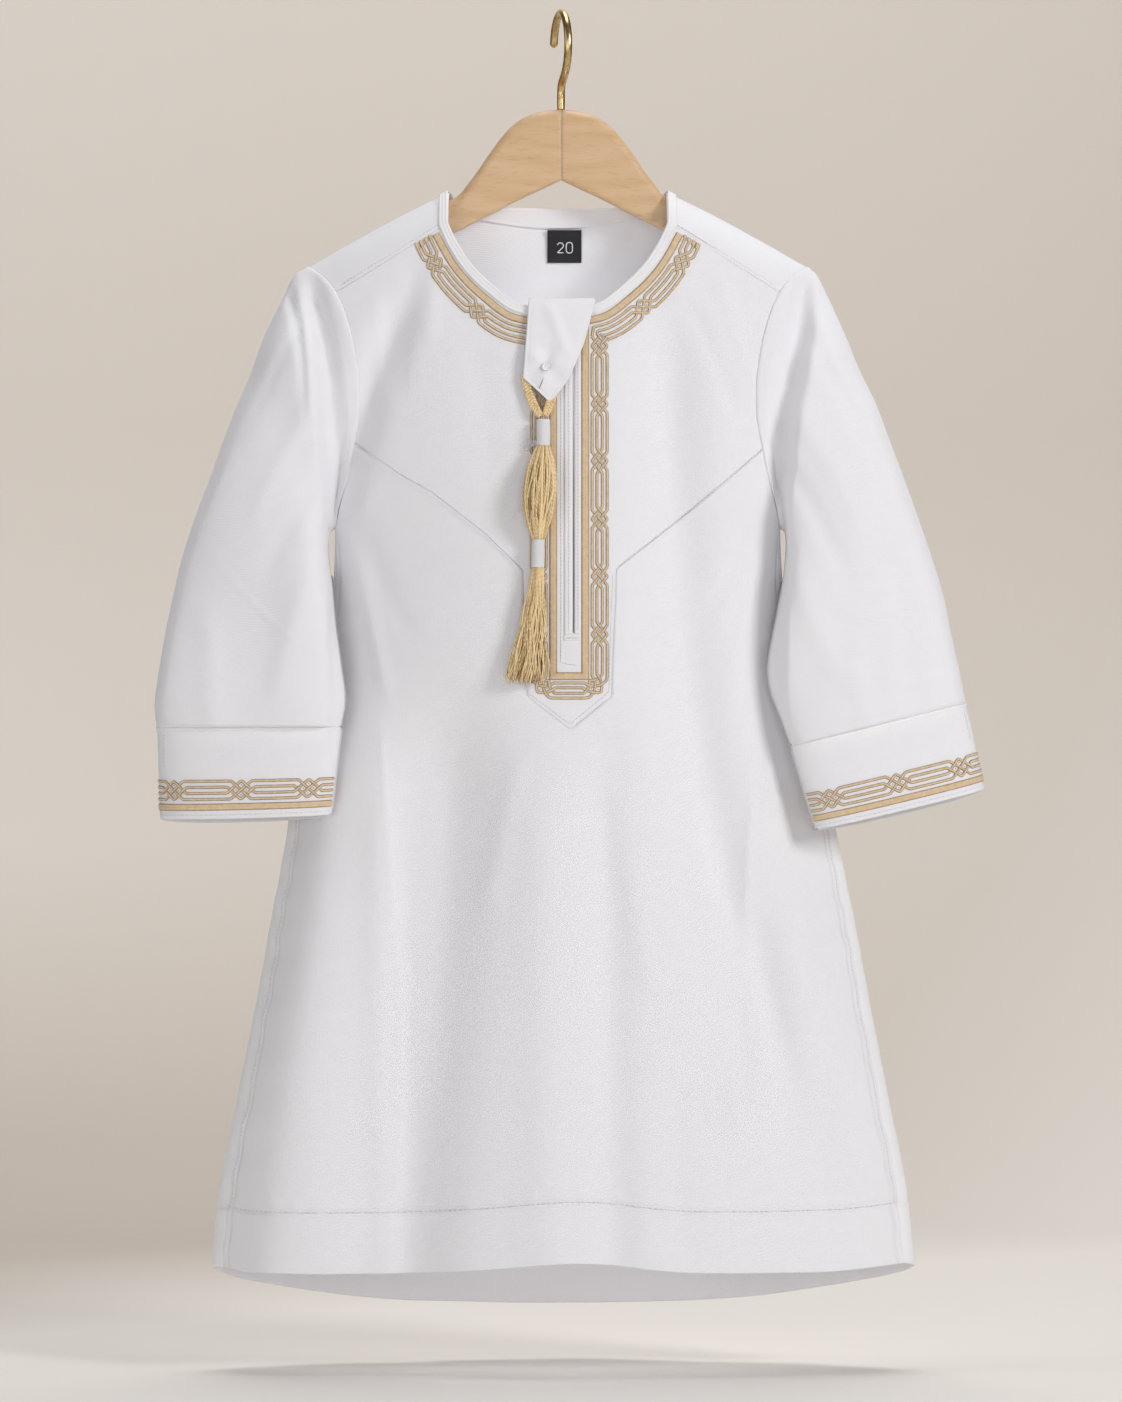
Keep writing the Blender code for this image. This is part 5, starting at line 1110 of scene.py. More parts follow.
class Bundle:
    """Many small closed surfaces gathered into one mesh."""

    def __init__(self):
        """Start empty: rows of points, weave coordinates, painted shade and tones."""
        self.points, self.weave, self.rims, self.tones, self.faces, self.count = [], [], [], [], [], 0

    def add(self, V, faces, uv, rim, tone=0.5):
        """Take vertices, face arrays, weave coordinates, painted shade towards the
        foot (the rim value) and an even tone from 0 dark to 1 light."""
        self.faces += [np.asarray(f) + self.count for f in faces]
        self.points.append(V)
        self.weave.append(uv + np.array([7.37, 0.61]) * len(self.weave))
        self.rims.append(np.broadcast_to(rim, len(V)))
        self.tones.append(np.full(len(V), float(tone)))
        self.count += len(V)

    def make(self, name, mat, **more):
        """Make the gathered surfaces into one piece."""
        # the rim attribute carries the painted shade
        return mesh(name, np.vstack(self.points), self.faces, mat, uv=np.vstack(self.weave),
                    data={"rim": np.concatenate(self.rims), "tone": np.concatenate(self.tones)}, **more)


def resample(path, step, ease=0):
    """Even points step apart along a polyline, corners eased by averaging."""
    path = np.asarray(path, float)
    d = run(path)
    t = np.linspace(0, d[-1], max(3, int(round(d[-1] / step)) + 1))
    out = np.stack([np.interp(t, d, path[:, k]) for k in range(path.shape[1])], -1)
    for _ in range(ease):
        out[1:-1] = (out[:-2] + 2 * out[1:-1] + out[2:]) / 4
    return out


def tube_faces(n, k, closed=False):
    """Side faces of n rings of k corners, with both ends unless it is closed."""
    idx = np.arange(n * k).reshape(n, k)
    now, nxt = (idx, np.roll(idx, -1, 0)) if closed else (idx[:-1], idx[1:])
    sides = np.stack([now, np.roll(now, -1, 1), np.roll(nxt, -1, 1), nxt], -1).reshape(-1, 4)
    return [sides] if closed else [sides, idx[:1, ::-1], idx[-1:]]


def face_out(V, faces, core):
    """The faces as they are, or all turned over if they look at their core."""
    q = faces[0]
    normal = np.cross(V[q[:, 1]] - V[q[:, 0]], V[q[:, 3]] - V[q[:, 0]])
    return faces if (normal * (V[q].mean(1) - core)).sum() >= 0 else [f[:, ::-1] for f in faces]


def swept(section, S, U, P, closed=False):
    """Vertices, faces and weave coordinates of a section (side, up per station
    and corner) carried along points P with side and up directions S and U."""
    n, k = section.shape[:2]
    V = (P[:, None] + S[:, None] * section[..., :1] + U[:, None] * section[..., 1:]).reshape(-1, 3)
    faces = face_out(V, tube_faces(n, k, closed), np.repeat(P if closed else P[:-1], k, axis=0))
    uv = np.stack([np.repeat(run(P), k), np.tile(run(section[0]), n)], -1)
    return V, faces, uv


def frames(P, N, closed=False):
    """Side and up directions along a path; up leans to N."""
    T = unit(np.roll(P, -1, 0) - np.roll(P, 1, 0)) if closed else unit(np.gradient(P, axis=0))
    S = unit(np.cross(T, N))
    return S, unit(np.cross(S, T))


def half_round(P, N, width, height, sides=8, foot=0.15, closed=False, flat=0.75):
    """Raised line: a half oval width wide and height high, foot deep in the cloth."""
    S, U = frames(P, N, closed)
    a = np.linspace(0, math.pi, sides)
    w = np.broadcast_to(width, len(P))[:, None]
    h = np.broadcast_to(height, len(P))[:, None]
    sec = np.stack([np.cos(a) * w / 2, np.sin(a) ** flat * (h + foot) - foot], -1)
    V, faces, uv = swept(sec, S, U, P, closed)
    # rim value: painted shade down both sides of the line towards its foot
    return V, faces, uv, np.tile(np.abs(np.cos(a)) ** 2, len(P))


def yarn(P, r, sides=6, N=FORWARD, squash=1.0):
    """Round thread of radius r (one value or one a point) along P."""
    S, U = frames(P, N)
    a = np.arange(sides) * 2 * math.pi / sides
    r = np.broadcast_to(r, len(P))[:, None]
    sec = np.stack([np.cos(a) * r, np.sin(a) * r * squash], -1)
    V, faces, uv = swept(sec, S, U, P)
    # rim value: painted shade on the side of the yarn turned away from up
    return V, faces, uv, np.tile(np.clip(-np.sin(a), 0, 1), len(P))


def many_solids(bundle, V, uv, inside_out=False):
    """Add many small closed solids; V holds for each its rings of corners."""
    n, rings, k = V.shape[:3]
    base = (np.arange(n) * rings * k)[:, None, None]
    faces = [f[:, ::-1] if inside_out else f for f in tube_faces(rings, k)]
    bundle.add(V.reshape(-1, 3), [(f[None] + base).reshape(-1, f.shape[1]) for f in faces], uv, 0.0)


def stitches(bundle, P, N, pitch=2.0, length=1.35, r=0.21, lean=0.0, dent=0.26):
    """Running stitches on a path: little pointed capsules, each turned by lean
    from the path and sunk at its ends, with a low dome of radius dent between
    each two, painted grey as the shade in the needle hole."""
    P, N = np.asarray(P, float), np.asarray(N, float)
    d = run(P)
    n = int(d[-1] / pitch)
    at = (np.arange(n) + 0.5) * d[-1] / n
    pick = lambda A: np.stack([np.interp(at, d, A[:, k]) for k in range(3)], -1)
    C, Nc = pick(P), unit(pick(N))
    T = unit(pick(P[np.minimum(np.arange(len(P)) + 1, len(P) - 1)] - P[np.maximum(np.arange(len(P)) - 1, 0)]))
    S = unit(np.cross(T, Nc))
    T, S = T * math.cos(lean) + S * math.sin(lean), S * math.cos(lean) - T * math.sin(lean)
    a = np.arange(6) * math.pi / 3
    x = np.array([-0.5, -0.3, 0.3, 0.5]) * length
    rr = np.array([0.3, 1.0, 1.0, 0.3]) * r
    lift = r * 0.55 - np.array([1.1, 0.05, 0.05, 1.1]) * r
    V = (C[:, None, None] + T[:, None, None] * x[None, :, None, None]
         + S[:, None, None] * (rr[:, None] * np.cos(a))[None, :, :, None]
         + Nc[:, None, None] * (lift[:, None] + rr[:, None] * np.sin(a))[None, :, :, None])
    uv = np.stack([np.repeat(x, 6), np.tile(a, 4) * r], -1)
    many_solids(bundle, V, np.tile(uv, (n, 1)), inside_out=True)
    M, up = (C[1:] + C[:-1]) / 2, unit(Nc[1:] + Nc[:-1])
    A, B = T[1:] * dent, unit(np.cross(up, T[1:])) * dent
    disc = A[:, None] * np.cos(a)[None, :, None] + B[:, None] * np.sin(a)[None, :, None]
    V = np.stack([M[:, None] + disc * k + up[:, None] * h for k, h in ((1.0, -0.12), (0.85, 0.13))], 1)
    # the dents are discs of painted shade
    many_solids(DENT_SHADE_DISCS, V, V.reshape(-1, 3)[:, ::2])


def raised_band(place, c, n, b, h, closed=False):
    """Band of stations c with outward directions n and a cross section of
    distances b and heights h, laid on the cloth by place(x, z)."""
    XZ = c[:, None] + n[:, None] * b[None, :, None]
    P, N = place(XZ[..., 0], XZ[..., 1])
    k = len(b)
    V = (P + N * h[None, :, None]).reshape(-1, 3)
    faces = tube_faces(len(c), k, closed)
    m = (len(c) // 2) * k + k // 2
    nq = np.cross(V[m + 1] - V[m], V[m + k] - V[m])
    if (nq * N.reshape(-1, 3)[m]).sum() < 0:
        faces = [f[:, ::-1] for f in faces]
    arc = run(P[:, k // 2])
    uv = np.stack([np.repeat(arc, k), np.tile(b, len(c))], -1)
    # rim value: painted shade at both edges of the band and a little in its middle furrow
    edge = np.abs(2 * (b - b.min()) / (b.max() - b.min()) - 1) ** 4
    mid = 0.18 * np.exp(-((b - b.mean()) / 0.28) ** 2)
    return V, faces, uv, np.tile(np.maximum(edge, mid), len(c))


# ---- embroidery

BAND_STEP = 0.36
SATIN_W = 3.6
BAND_LINES = dict(outer=3.7, inner=1.35, bend=4.2, turn=5.8)
CUFF_LINES = dict(outer=4.28, inner=1.43, bend=4.9, turn=6.7)
LINE_W, LINE_H, BAND_MID = 1.46, 0.55, 8.95


def strip_section(b, h):
    """Cross section of a flat line: distances b and heights h, both edges
    carried down into the cloth."""
    return np.concatenate([[0], b, [b[-1]]]), np.concatenate([[-0.2], h, [-0.2]])


def satin_section(width, crown=0.62):
    """Cross section of a padded satin line with a soft furrow in its middle."""
    b = np.linspace(0, width, 13)
    u = 2 * b / width - 1
    return strip_section(b, 0.22 + (crown - 0.22) * (1 - u ** 4) - 0.04 * np.exp(-(u / 0.16) ** 2))


def interlace(s0, s1, knots, outer, inner, bend, turn):
    """Four lines of the interlaced band from s0 to s1: rows of s, b and
    height.  The outer two change sides at each knot, the inner two reach
    across to a point and come back; over and under follow in turn."""
    ac = outer / (outer / bend + (outer + inner) / turn)
    cd = outer * turn / (outer + inner)
    lines = []
    for kind, start in (("out", -1), ("in", -1), ("in", 1), ("out", 1)):
        pts, waves, at = [], [], start
        off = outer if kind == "out" else inner
        pts.append((s0, at * off))
        for k in knots:
            if kind == "out":
                over = 1 if at < 0 else -1
                pts += [(k - bend, at * off), (k + bend, -at * off)]
                waves += [(k - ac, over), (k, -over), (k + ac, over)]
                at = -at
            else:
                over = -1 if at < 0 else 1
                reach = -at * (outer - 0.05)
                pts += [(k - turn, at * off), (k - 0.25, reach), (k + 0.25, reach), (k + turn, at * off)]
                waves += [(k - cd, over), (k - ac, -over), (k + ac, over), (k + cd, -over)]
        pts.append((s1, at * off))
        pts = np.array([p for p in pts if s0 <= p[0] <= s1])
        pts = resample(pts, BAND_STEP, 2)
        h = sum(w * 0.24 * np.exp(-((pts[:, 0] - s) / 0.85) ** 2) for s, w in waves) if waves else 0
        lines.append(np.column_stack([pts, 0.04 + np.maximum(h, -0.10)]))
    return lines


def sew_lines(bundle, lines, place, height=LINE_H, width=LINE_W):
    """Lay interlaced lines (s, b, height) on the cloth; place(s, b) gives
    point and normal, or None where the line is cut off."""
    for line in lines:
        P, N, ok = place(line[:, 0], line[:, 1])
        P, N, h = P[ok], N[ok], line[ok, 2]
        bundle.add(*half_round(P + N * h[:, None], N, width, height))


def knot_dots(bundle, knots, place, reach=2.1):
    """Seed stitches in the four small gaps of each knot."""
    s = np.concatenate([[k, k, k - reach, k + reach] for k in knots])
    b = np.tile([-reach, reach, 0.0, 0.0], len(knots))
    P, N, ok = place(s, b)
    for p, n in zip(P[ok], N[ok]):
        d = np.array([[-0.28, 0, 0], [0.28, 0, 0]])
        line = np.linspace(p + d[0], p + d[1], 3)
        V, faces, uv, rim = half_round(line, np.tile(n, (3, 1)), 0.5, 0.22, sides=6)
        bundle.add(V, faces, uv, rim, 0.0)


def neck_path(side, t):
    """Front neck edge by share t of its length from the yoke seam to the
    middle: x, z, the direction away from the opening and the length."""
    d = np.linspace(NECK_HALF, 0, 160)
    z = curve(NECK_FRONT, d)
    L = run(np.stack([d, z], -1))
    dd = np.interp(t * L[-1], L, d)
    e = 0.3
    lo = np.maximum(dd - e, 0)
    sl = (curve(NECK_FRONT, dd + e) - curve(NECK_FRONT, lo)) / (dd + e - lo)
    n = np.stack([side * sl, -np.ones_like(sl)], -1)
    return np.stack([MID + side * dd, curve(NECK_FRONT, dd)], -1), unit(n), L[-1]


NECK_IN = 5.45          # satin line from the neck edge
NECK_KNOTS = {-1: [(-60.7, -118.5), (-38.9, -139.8)], 1: [(58.3, -119.0), (38.9, -140.3)]}
ULEG_L, ULEG_R, UTOP, UBOT = -2.8, 8.7, -149.0, -312.6
LEG_KNOTS = [-158.3, -185.8, -212.8, -240.3, -267.3, -294.8]
BAND_TIGHT = 0.96       # placket band a little narrower than the neck's


def neck_band(side, tag):
    """Interlaced band along one side of the neck."""
    t_end = 0.93 if side < 0 else 0.83
    t = np.linspace(0.0, t_end, 240)
    c, n, _ = neck_path(side, t)
    mid_line = c + n * (NECK_IN + BAND_MID)
    arc = run(mid_line)
    first = unit(c[1] - c[0])

    def neck_place(s, b):
        """Band place s, b on the front beside the neck, cut at the yoke seam."""
        cc = np.stack([np.interp(s, arc, c[:, k]) for k in (0, 1)], -1)
        nn = unit(np.stack([np.interp(s, arc, n[:, k]) for k in (0, 1)], -1))
        cc = cc + np.minimum(s, 0)[:, None] * first
        XZ = cc + nn * (NECK_IN + BAND_MID + b)[:, None]
        P, N = front(XZ[:, 0], XZ[:, 1])
        return P, N, XZ[:, 1] < seam_z(XZ[:, 0]) - 0.7

    knots = [arc[np.argmin(np.hypot(*(mid_line - k).T))] for k in NECK_KNOTS[side]]
    gold = Bundle()
    if side < 0:
        sew_lines(gold, interlace(-6.0, arc[-1], knots, **BAND_LINES), neck_place)
    else:
        # the left band runs into the top of the placket band
        lines = interlace(-6.0, knots[-1] + 10.0, knots, **BAND_LINES)
        for line, b in zip(lines, (-3.7, -1.35, 1.35, 3.7)):
            P, N, ok = neck_place(line[:, 0], line[:, 1])
            s_more = np.linspace(line[-1, 0], arc[-1], 60)[1:]
            xz = np.array([(p[0], p[2]) for p in P[ok]])
            cc = np.stack([np.interp(s_more, arc, c[:, k]) for k in (0, 1)], -1)
            nn = unit(np.stack([np.interp(s_more, arc, n[:, k]) for k in (0, 1)], -1))
            more = cc + nn * (NECK_IN + BAND_MID + b)
            leg_x = ULEG_R + BAND_TIGHT * (BAND_MID + b)
            more = more[more[:, 0] > leg_x + 0.4]
            end = [(leg_x, min(more[-1, 1] - 0.4, LEG_KNOTS[0] + (4.9 if abs(b) > 2 else 6.3)) - 0.3)]
            xz = resample(np.vstack([xz, more, end]), BAND_STEP, 1)
            P, N = front(xz[:, 0], xz[:, 1])
            h = np.interp(np.arange(len(xz)), np.arange(len(line)), line[:, 2], right=0.04)
            gold.add(*half_round(P + N * h[:, None], N, LINE_W, LINE_H))
    knot_dots(gold, knots, neck_place)
    gold.make("neck_interlace_" + tag, "gold_cord", replaces=["braid_neck_" + tag], slot="embroidery")


def neck_satin(side, tag):
    """Padded satin line along one side of the neck; its first stations turn
    to run along the yoke seam."""
    t = np.concatenate([[0.012], np.linspace(0.02, 0.93 if side < 0 else 0.90, 150)])
    c, n, _ = neck_path(side, t)
    turn = (1 - smooth((t - 0.012) / 0.09))[:, None]
    n = unit(n * (1 - turn) + np.array([side * 0.853, -0.521]) * turn)
    c = c + np.array([0.0, -0.8]) * turn
    b, h = satin_section(SATIN_W)
    satin = Bundle()
    satin.add(*raised_band(front, c, n, b + NECK_IN, h))
    satin.make("neck_satin_" + tag, "gold_satin", slot="embroidery")


for side, tag in ((-1, "right"), (1, "left")):
    neck_band(side, tag)
    neck_satin(side, tag)

LEG = UTOP - UBOT
ARC = math.pi / 2 * BAND_MID * BAND_TIGHT
FOOT = ULEG_R - ULEG_L


def placket_place(s, b):
    """Band place on the placket: down the left leg, a knotted corner, across
    the foot, a corner, and up the right leg."""
    r = (BAND_MID + b) * BAND_TIGHT
    th1 = np.clip((s - LEG) / ARC, 0, 1) * math.pi / 2
    th2 = np.clip((s - LEG - ARC - FOOT) / ARC, 0, 1) * math.pi / 2
    over = np.clip(s - LEG - ARC, 0, FOOT)
    down = UTOP - np.minimum(s, LEG)
    up = np.maximum(s - LEG - 2 * ARC - FOOT, 0)
    th = th1 + th2
    k = 1 + 0.07 * np.sin(2 * th) ** 2
    x = ULEG_L + over - np.cos(th) * r * k
    z = np.maximum(down, UBOT) + up - np.sin(th) * r * k
    P, N = front(x, z)
    return P, N, np.ones(len(s), bool)


def placket_band():
    """Interlaced band down one side of the slit, round its foot and up again."""
    leg_s = [UTOP - z for z in LEG_KNOTS]
    total = 2 * LEG + 2 * ARC + FOOT
    knots = leg_s + [LEG + ARC / 2, LEG + ARC * 1.5 + FOOT] + [total - s for s in leg_s[::-1]]
    gold = Bundle()
    lines = interlace(0.0, total, knots, **BAND_LINES)
    top = total - leg_s[0]
    for i, line in enumerate(lines):
        stop = top + (4.6 if i in (0, 3) else 6.0)
        sew_lines(gold, [line[line[:, 0] < stop]], placket_place)
    knot_dots(gold, knots, placket_place)
    gold.make("placket_interlace", "gold_cord", replaces=["braid_placket"], slot="embroidery")


def placket_satin():
    """Padded satin line inside the placket band, mitred at both corners."""
    steps = np.linspace(0, 1, 130)[1:-1]
    c = [(ULEG_L, UTOP)] + [(ULEG_L, UTOP + (UBOT - UTOP) * v) for v in steps] + [(ULEG_L, UBOT)]
    c += [(ULEG_L + FOOT * v, UBOT) for v in np.linspace(0.08, 0.92, 12)] + [(ULEG_R, UBOT)]
    c += [(ULEG_R, UBOT + (UTOP - UBOT) * v) for v in steps] + [(ULEG_R, UTOP)]
    c = np.array(c)
    n = np.where((c[:, :1] == ULEG_L) & (c[:, 1:] > UBOT), [[-1.0, 0.0]],
                 np.where((c[:, :1] == ULEG_R) & (c[:, 1:] > UBOT), [[1.0, 0.0]], [[0.0, -1.0]]))
    n[(c[:, 0] == ULEG_L) & (c[:, 1] == UBOT)] = (-1, -1)
    n[(c[:, 0] == ULEG_R) & (c[:, 1] == UBOT)] = (1, -1)
    b, h = satin_section(SATIN_W)
    satin = Bundle()
    satin.add(*raised_band(front, c, n, b, h))
    satin.make("placket_satin", "gold_satin", slot="embroidery")


placket_band()
placket_satin()

CUFF_MID, CUFF_SATIN, CUFF_LONG = 0.685, (0.83, 0.907), 43.3
CUFF_KNOTS = {-1: (-184.4, -152.2, -120.4), 1: (188.2, 158.3, 126.6)}


def cuff_ring(side):
    """Smooth surface of a cuff: turn (0 to 2 pi, front first) and share w of
    its depth to point and outward normal."""
    def point(turn, w):
        """The cuff's surface at turn and w."""
        return cuff_shape(side, (1 - np.cos(turn)) / 2, np.where(np.sin(turn) >= 0, -1.0, 1.0), w)

    def place(turn, w):
        """Point and normal at turn and w."""
        turn, w = np.broadcast_arrays(np.asarray(turn, float), np.asarray(w, float))
        P = point(turn, w)
        along_it = point(turn + 0.02, w) - point(turn - 0.02, w)
        N = unit(np.cross(along_it, point(turn, w + 0.01) - point(turn, w - 0.01)))
        mid = (point(math.pi / 2, w) + point(1.5 * math.pi, w)) / 2
        away = (P - mid) * np.array([0.2, 1.0, 0.2])
        return P, N * np.where((N * away).sum(-1) < 0, -1, 1)[..., None]
    return place


def cuff_trim(side, tag):
    """Interlaced band and satin line all round one cuff."""
    ring = cuff_ring(side)
    turn = np.linspace(0, 2 * math.pi, 721)
    R, _ = ring(turn, CUFF_MID)
    arc = run(R)
    fr = turn < math.pi
    s_front = [float(np.interp(side * -x, side * -R[fr, 0], arc[fr])) for x in CUFF_KNOTS[side]]
    rest = (arc[-1] - (s_front[-1] - s_front[0])) / 3
    knots = s_front + [s_front[-1] + rest, s_front[-1] + 2 * rest]

    def cuff_place(s, b):
        """Band place s, b on the cuff, all round."""
        P, N = ring(np.interp(s, arc, turn), CUFF_MID + b / CUFF_LONG)
        return P, N, np.ones(len(s), bool)

    gold = Bundle()
    sew_lines(gold, interlace(0.0, arc[-1], knots, **CUFF_LINES), cuff_place)
    knot_dots(gold, knots, cuff_place, 2.4)
    gold.make("cuff_interlace_" + tag, "gold_cord", replaces=["braid_cuff_" + tag], slot="embroidery")
    b, h = satin_section(CUFF_LONG * (CUFF_SATIN[1] - CUFF_SATIN[0]))
    t = np.arange(300) / 300 * 2 * math.pi
    satin = Bundle()
    satin.add(*raised_band(ring, np.stack([t, np.full(300, CUFF_SATIN[0])], -1),
                           np.tile([0.0, 1.0 / CUFF_LONG], (300, 1)), b, h, closed=True))
    satin.make("cuff_satin_" + tag, "gold_satin", slot="embroidery")


for side, tag in ((-1, "right"), (1, "left")):
    cuff_trim(side, tag)

# ---- neck, label, placket and tab


def settle_on_cape(x, q, target, rounds=6):
    """x and q of the shoulder point nearest to each target point."""
    for _ in range(rounds):
        P = cape(x, q)
        ex = (cape(x + 0.05, q) - cape(x - 0.05, q)) / 0.1
        eq = (cape(x, q + 0.01) - cape(x, q - 0.01)) / 0.02
        r = target - P
        a, b, c = (ex * ex).sum(-1), (ex * eq).sum(-1), (eq * eq).sum(-1)
        u, v = (ex * r).sum(-1), (eq * r).sum(-1)
        det = a * c - b * b
        x = x + np.clip((c * u - b * v) / det, -4, 4)
        q = q + np.clip((a * v - b * u) / det, -0.4, 0.4)
    return x, q


def neck_ring():
    """x, q round the neck edge from one lip of the slit to the other."""
    left, _, _ = neck_path(1, np.linspace(0, 1, 90))
    right, _, _ = neck_path(-1, np.linspace(0, 1, 90))
    left, right = left[left[:, 0] > SLIT[1] + 0.3][::-1], right[right[:, 0] < MID]
    end = np.stack([np.linspace(MID, SLIT[0] - 0.3, 12), np.zeros(12)], -1)
    end[:, 1] = curve(NECK_FRONT, np.abs(end[:, 0] - MID))
    right = np.vstack([right, end])
    q1 = float(drop(MID + NECK_HALF, NECK_FRONT[-1, 1]))
    wide = 0.955 * NECK_HALF
    q2 = float(drop(MID + wide, curve(NECK_BACK, wide)))
    behind = wide * np.sin(np.linspace(1, -1, 90) * math.pi / 2)
    behind_q = drop(MID + behind, curve(NECK_BACK, np.abs(behind)))
    side_q = np.concatenate([np.linspace(-q1, 0, 12)[1:], np.linspace(0, q2, 6)[1:-1]])
    side_d = np.interp(side_q, [0, q2], [NECK_HALF, wide])
    x = np.concatenate([left[:, 0], MID + side_d, MID + behind, MID - side_d[::-1], right[:, 0]])
    q = np.concatenate([-drop(left[:, 0], left[:, 1]), side_q, behind_q, side_q[::-1],
                        -drop(right[:, 0], right[:, 1])])
    return x, q


def neck_binding():
    """Folded strip round the neck edge: soft rolls side by side, each point
    settled on the shoulders at its distance from the edge."""
    xr, qr = neck_ring()
    edge, normal = cape(xr, qr), cape_normal(xr, qr)
    away = unit(np.cross(np.gradient(edge, axis=0), normal))
    for _ in range(4):
        away[1:-1] = unit(away[:-2] + 2 * away[1:-1] + away[2:])
    lift = 0.75 + 0.25 * smooth(1.15 - np.abs(qr)) + 0.2 * smooth(1.3 - 2.2 * np.abs(qr - 0.3))
    cols = np.array([0.1, 0.5, 0.9, 1.25, 1.55, 1.85, 2.25, 2.65, 2.95, 3.25, 3.6, 3.95, 4.25, 4.6])
    rolls = 0.26 * np.abs(np.sin(math.pi * cols / 1.55)) ** 0.8 - 0.14
    P, N = [], []
    for b, h in zip(cols, rolls):
        xb, qb = settle_on_cape(xr, qr, edge + away * b)
        nb = cape_normal(xb, qb)
        P.append(cape(xb, qb) + nb * (lift + h)[:, None])
        N.append(nb)
    P, N = np.stack(P, 1), np.stack(N, 1)
    piece = cloth_piece("neck_binding_strip", P, N, quads_of(len(P), len(cols), flip=True), wall=0.7,
                        seam=0.0, soft=0.34, uv=np.stack(np.broadcast_arrays(run(edge)[:, None], cols), -1),
                        mat="white_tape", replaces=["neck_binding"])


# lower edge of the facing: x, z
FACING = np.array([
    (-45.5, -94.6), (-37.5, -96.4), (-28.5, -97.9), (-18.5, -99.2), (-7.5, -99.9),
    (2.5, -99.8), (13.5, -99), (23.5, -97.7), (32.5, -96.1), (40.5, -94.4)])


def neck_facing():
    """Curved facing inside the back neck, with a turned lower edge."""
    x = MID + np.linspace(-43, 43, 90)
    top = curve(NECK_BACK, np.abs(x - MID)) - 0.6
    v = np.linspace(0, 1, 16)[:, None]
    z = top + (curve(FACING, x) - top) * v
    x = np.broadcast_to(x, z.shape)
    P, N = back(x, z)
    depth = CLOTH + 0.45 + 0.25 * np.exp(-((v - 0.93) / 0.04) ** 2)
    piece = cloth_piece("neck_facing", P - N * depth[..., None], N, quads_of(*z.shape, flip=True), wall=0.8,
                        seam=0.0, uv=np.stack([x, z], -1), replaces=["back_neck_facing"])


LABEL = (-7.5, 8.9, -100.6, -116.2)     # x of both sides, z of top and bottom


def label_height(x, z):
    """How far the label's face lies off the back's inside: it puffs in its
    middle and climbs over the facing at its top."""
    u = np.clip((x - LABEL[0]) / (LABEL[1] - LABEL[0]), 0, 1)
    v = (z - LABEL[2]) / (LABEL[3] - LABEL[2])
    puff = 0.35 * np.sin(math.pi * u) ** 0.5 * smooth(v * 2.5) * (1 - 0.7 * smooth((v - 0.8) / 0.2))
    return CLOTH + 0.5 + 0.9 * smooth((0.25 - v) / 0.2) + puff


def size_label():
    """Woven label sewn under the facing by its top edge."""
    x, z = np.meshgrid(np.linspace(*LABEL[:2], 26), np.linspace(*LABEL[2:], 24))
    P, N = back(x, z)
    piece = cloth_piece("woven_size_label", P - N * label_height(x, z)[..., None], N,
                        quads_of(*x.shape, flip=True), wall=0.5, seam=0.0, soft=0.2,
                        uv=np.stack([x, z], -1), mat="black_tape", replaces=["size_label"], slot="label")


def label_place(x, z):
    """Point just in front of the label at x, z, and the way it faces."""
    P, N = back(x, z)
    return P - N * (label_height(x, z) + 0.5)[:, None], -N


def size_numeral():
    """The size in plain strokes: a two, and a nought drawn as a rounded box."""
    hook = [(-1.25 + 1.45 * math.cos(t), -107.95 + 1.35 * math.sin(t))
            for t in np.linspace(math.radians(168), math.radians(-38), 14)]
    two = hook + [(-2.75, -111.3), (0.2, -111.3)]
    squared = lambda v: math.copysign(abs(v) ** 0.6, v)
    zero = [(3.05 + squared(math.cos(t)) * 1.5, -108.95 + squared(math.sin(t)) * 2.5)
            for t in np.linspace(0, 2 * math.pi, 29)]
    numeral = Bundle()
    for glyph in (two, zero):
        xz = resample(glyph, 0.25, 1)
        P, N = label_place(xz[:, 0], xz[:, 1])
        numeral.add(*half_round(P, N, 0.6, 0.12, foot=0.25))
    numeral.make("size_numeral", "white_thread", slot="label")


def placket_strips():
    """Folded strips beside the slit and the box that closes their foot."""
    strips = Bundle()
    zs = np.linspace(-150.0, -294.6, 150)
    for x0, x1, high in ((0.45, 4.6, 0.85), (5.4, 8.2, 0.8)):
        b = np.linspace(0, x1 - x0, 11)
        u = 2 * b / (x1 - x0) - 1
        h = high * (1 - u ** 8) - 0.12 * np.exp(-((u - 0.1) / 0.12) ** 2)
        c = np.stack([np.full(len(zs), x0), zs], -1)
        V, faces, uv, rim = raised_band(front, c, np.tile([1.0, 0.0], (len(zs), 1)), *strip_section(b, h))
        strips.add(V, faces, uv, rim * 0)
    b = np.linspace(0, 3.4, 9)
    h = 0.5 * (1 - (2 * b / 3.4 - 1) ** 8)
    c = np.stack([np.linspace(0.45, 8.2, 20), np.full(20, -294.4)], -1)
    strips.add(*raised_band(front, c, np.tile([0.0, -1.0], (20, 1)), *strip_section(b, h)))
    piece = strips.make("placket_strips", "white_tape", replaces=["placket_welt"], slot="cloth")


def placket_underlap():
    """The strip of cloth seen through the slit, behind the front."""
    x, z = np.meshgrid(np.linspace(0.5, 11.0, 12), np.linspace(-146.0, -298.0, 120))
    P, N = front(x, z)
    piece = cloth_piece("placket_underlap", P - N * (CLOTH + 5.5), N, quads_of(*x.shape), wall=0.8, seam=0.0,
                        uv=np.stack([x, z], -1))


neck_binding()
neck_facing()
size_label()
size_numeral()
placket_strips()
placket_underlap()

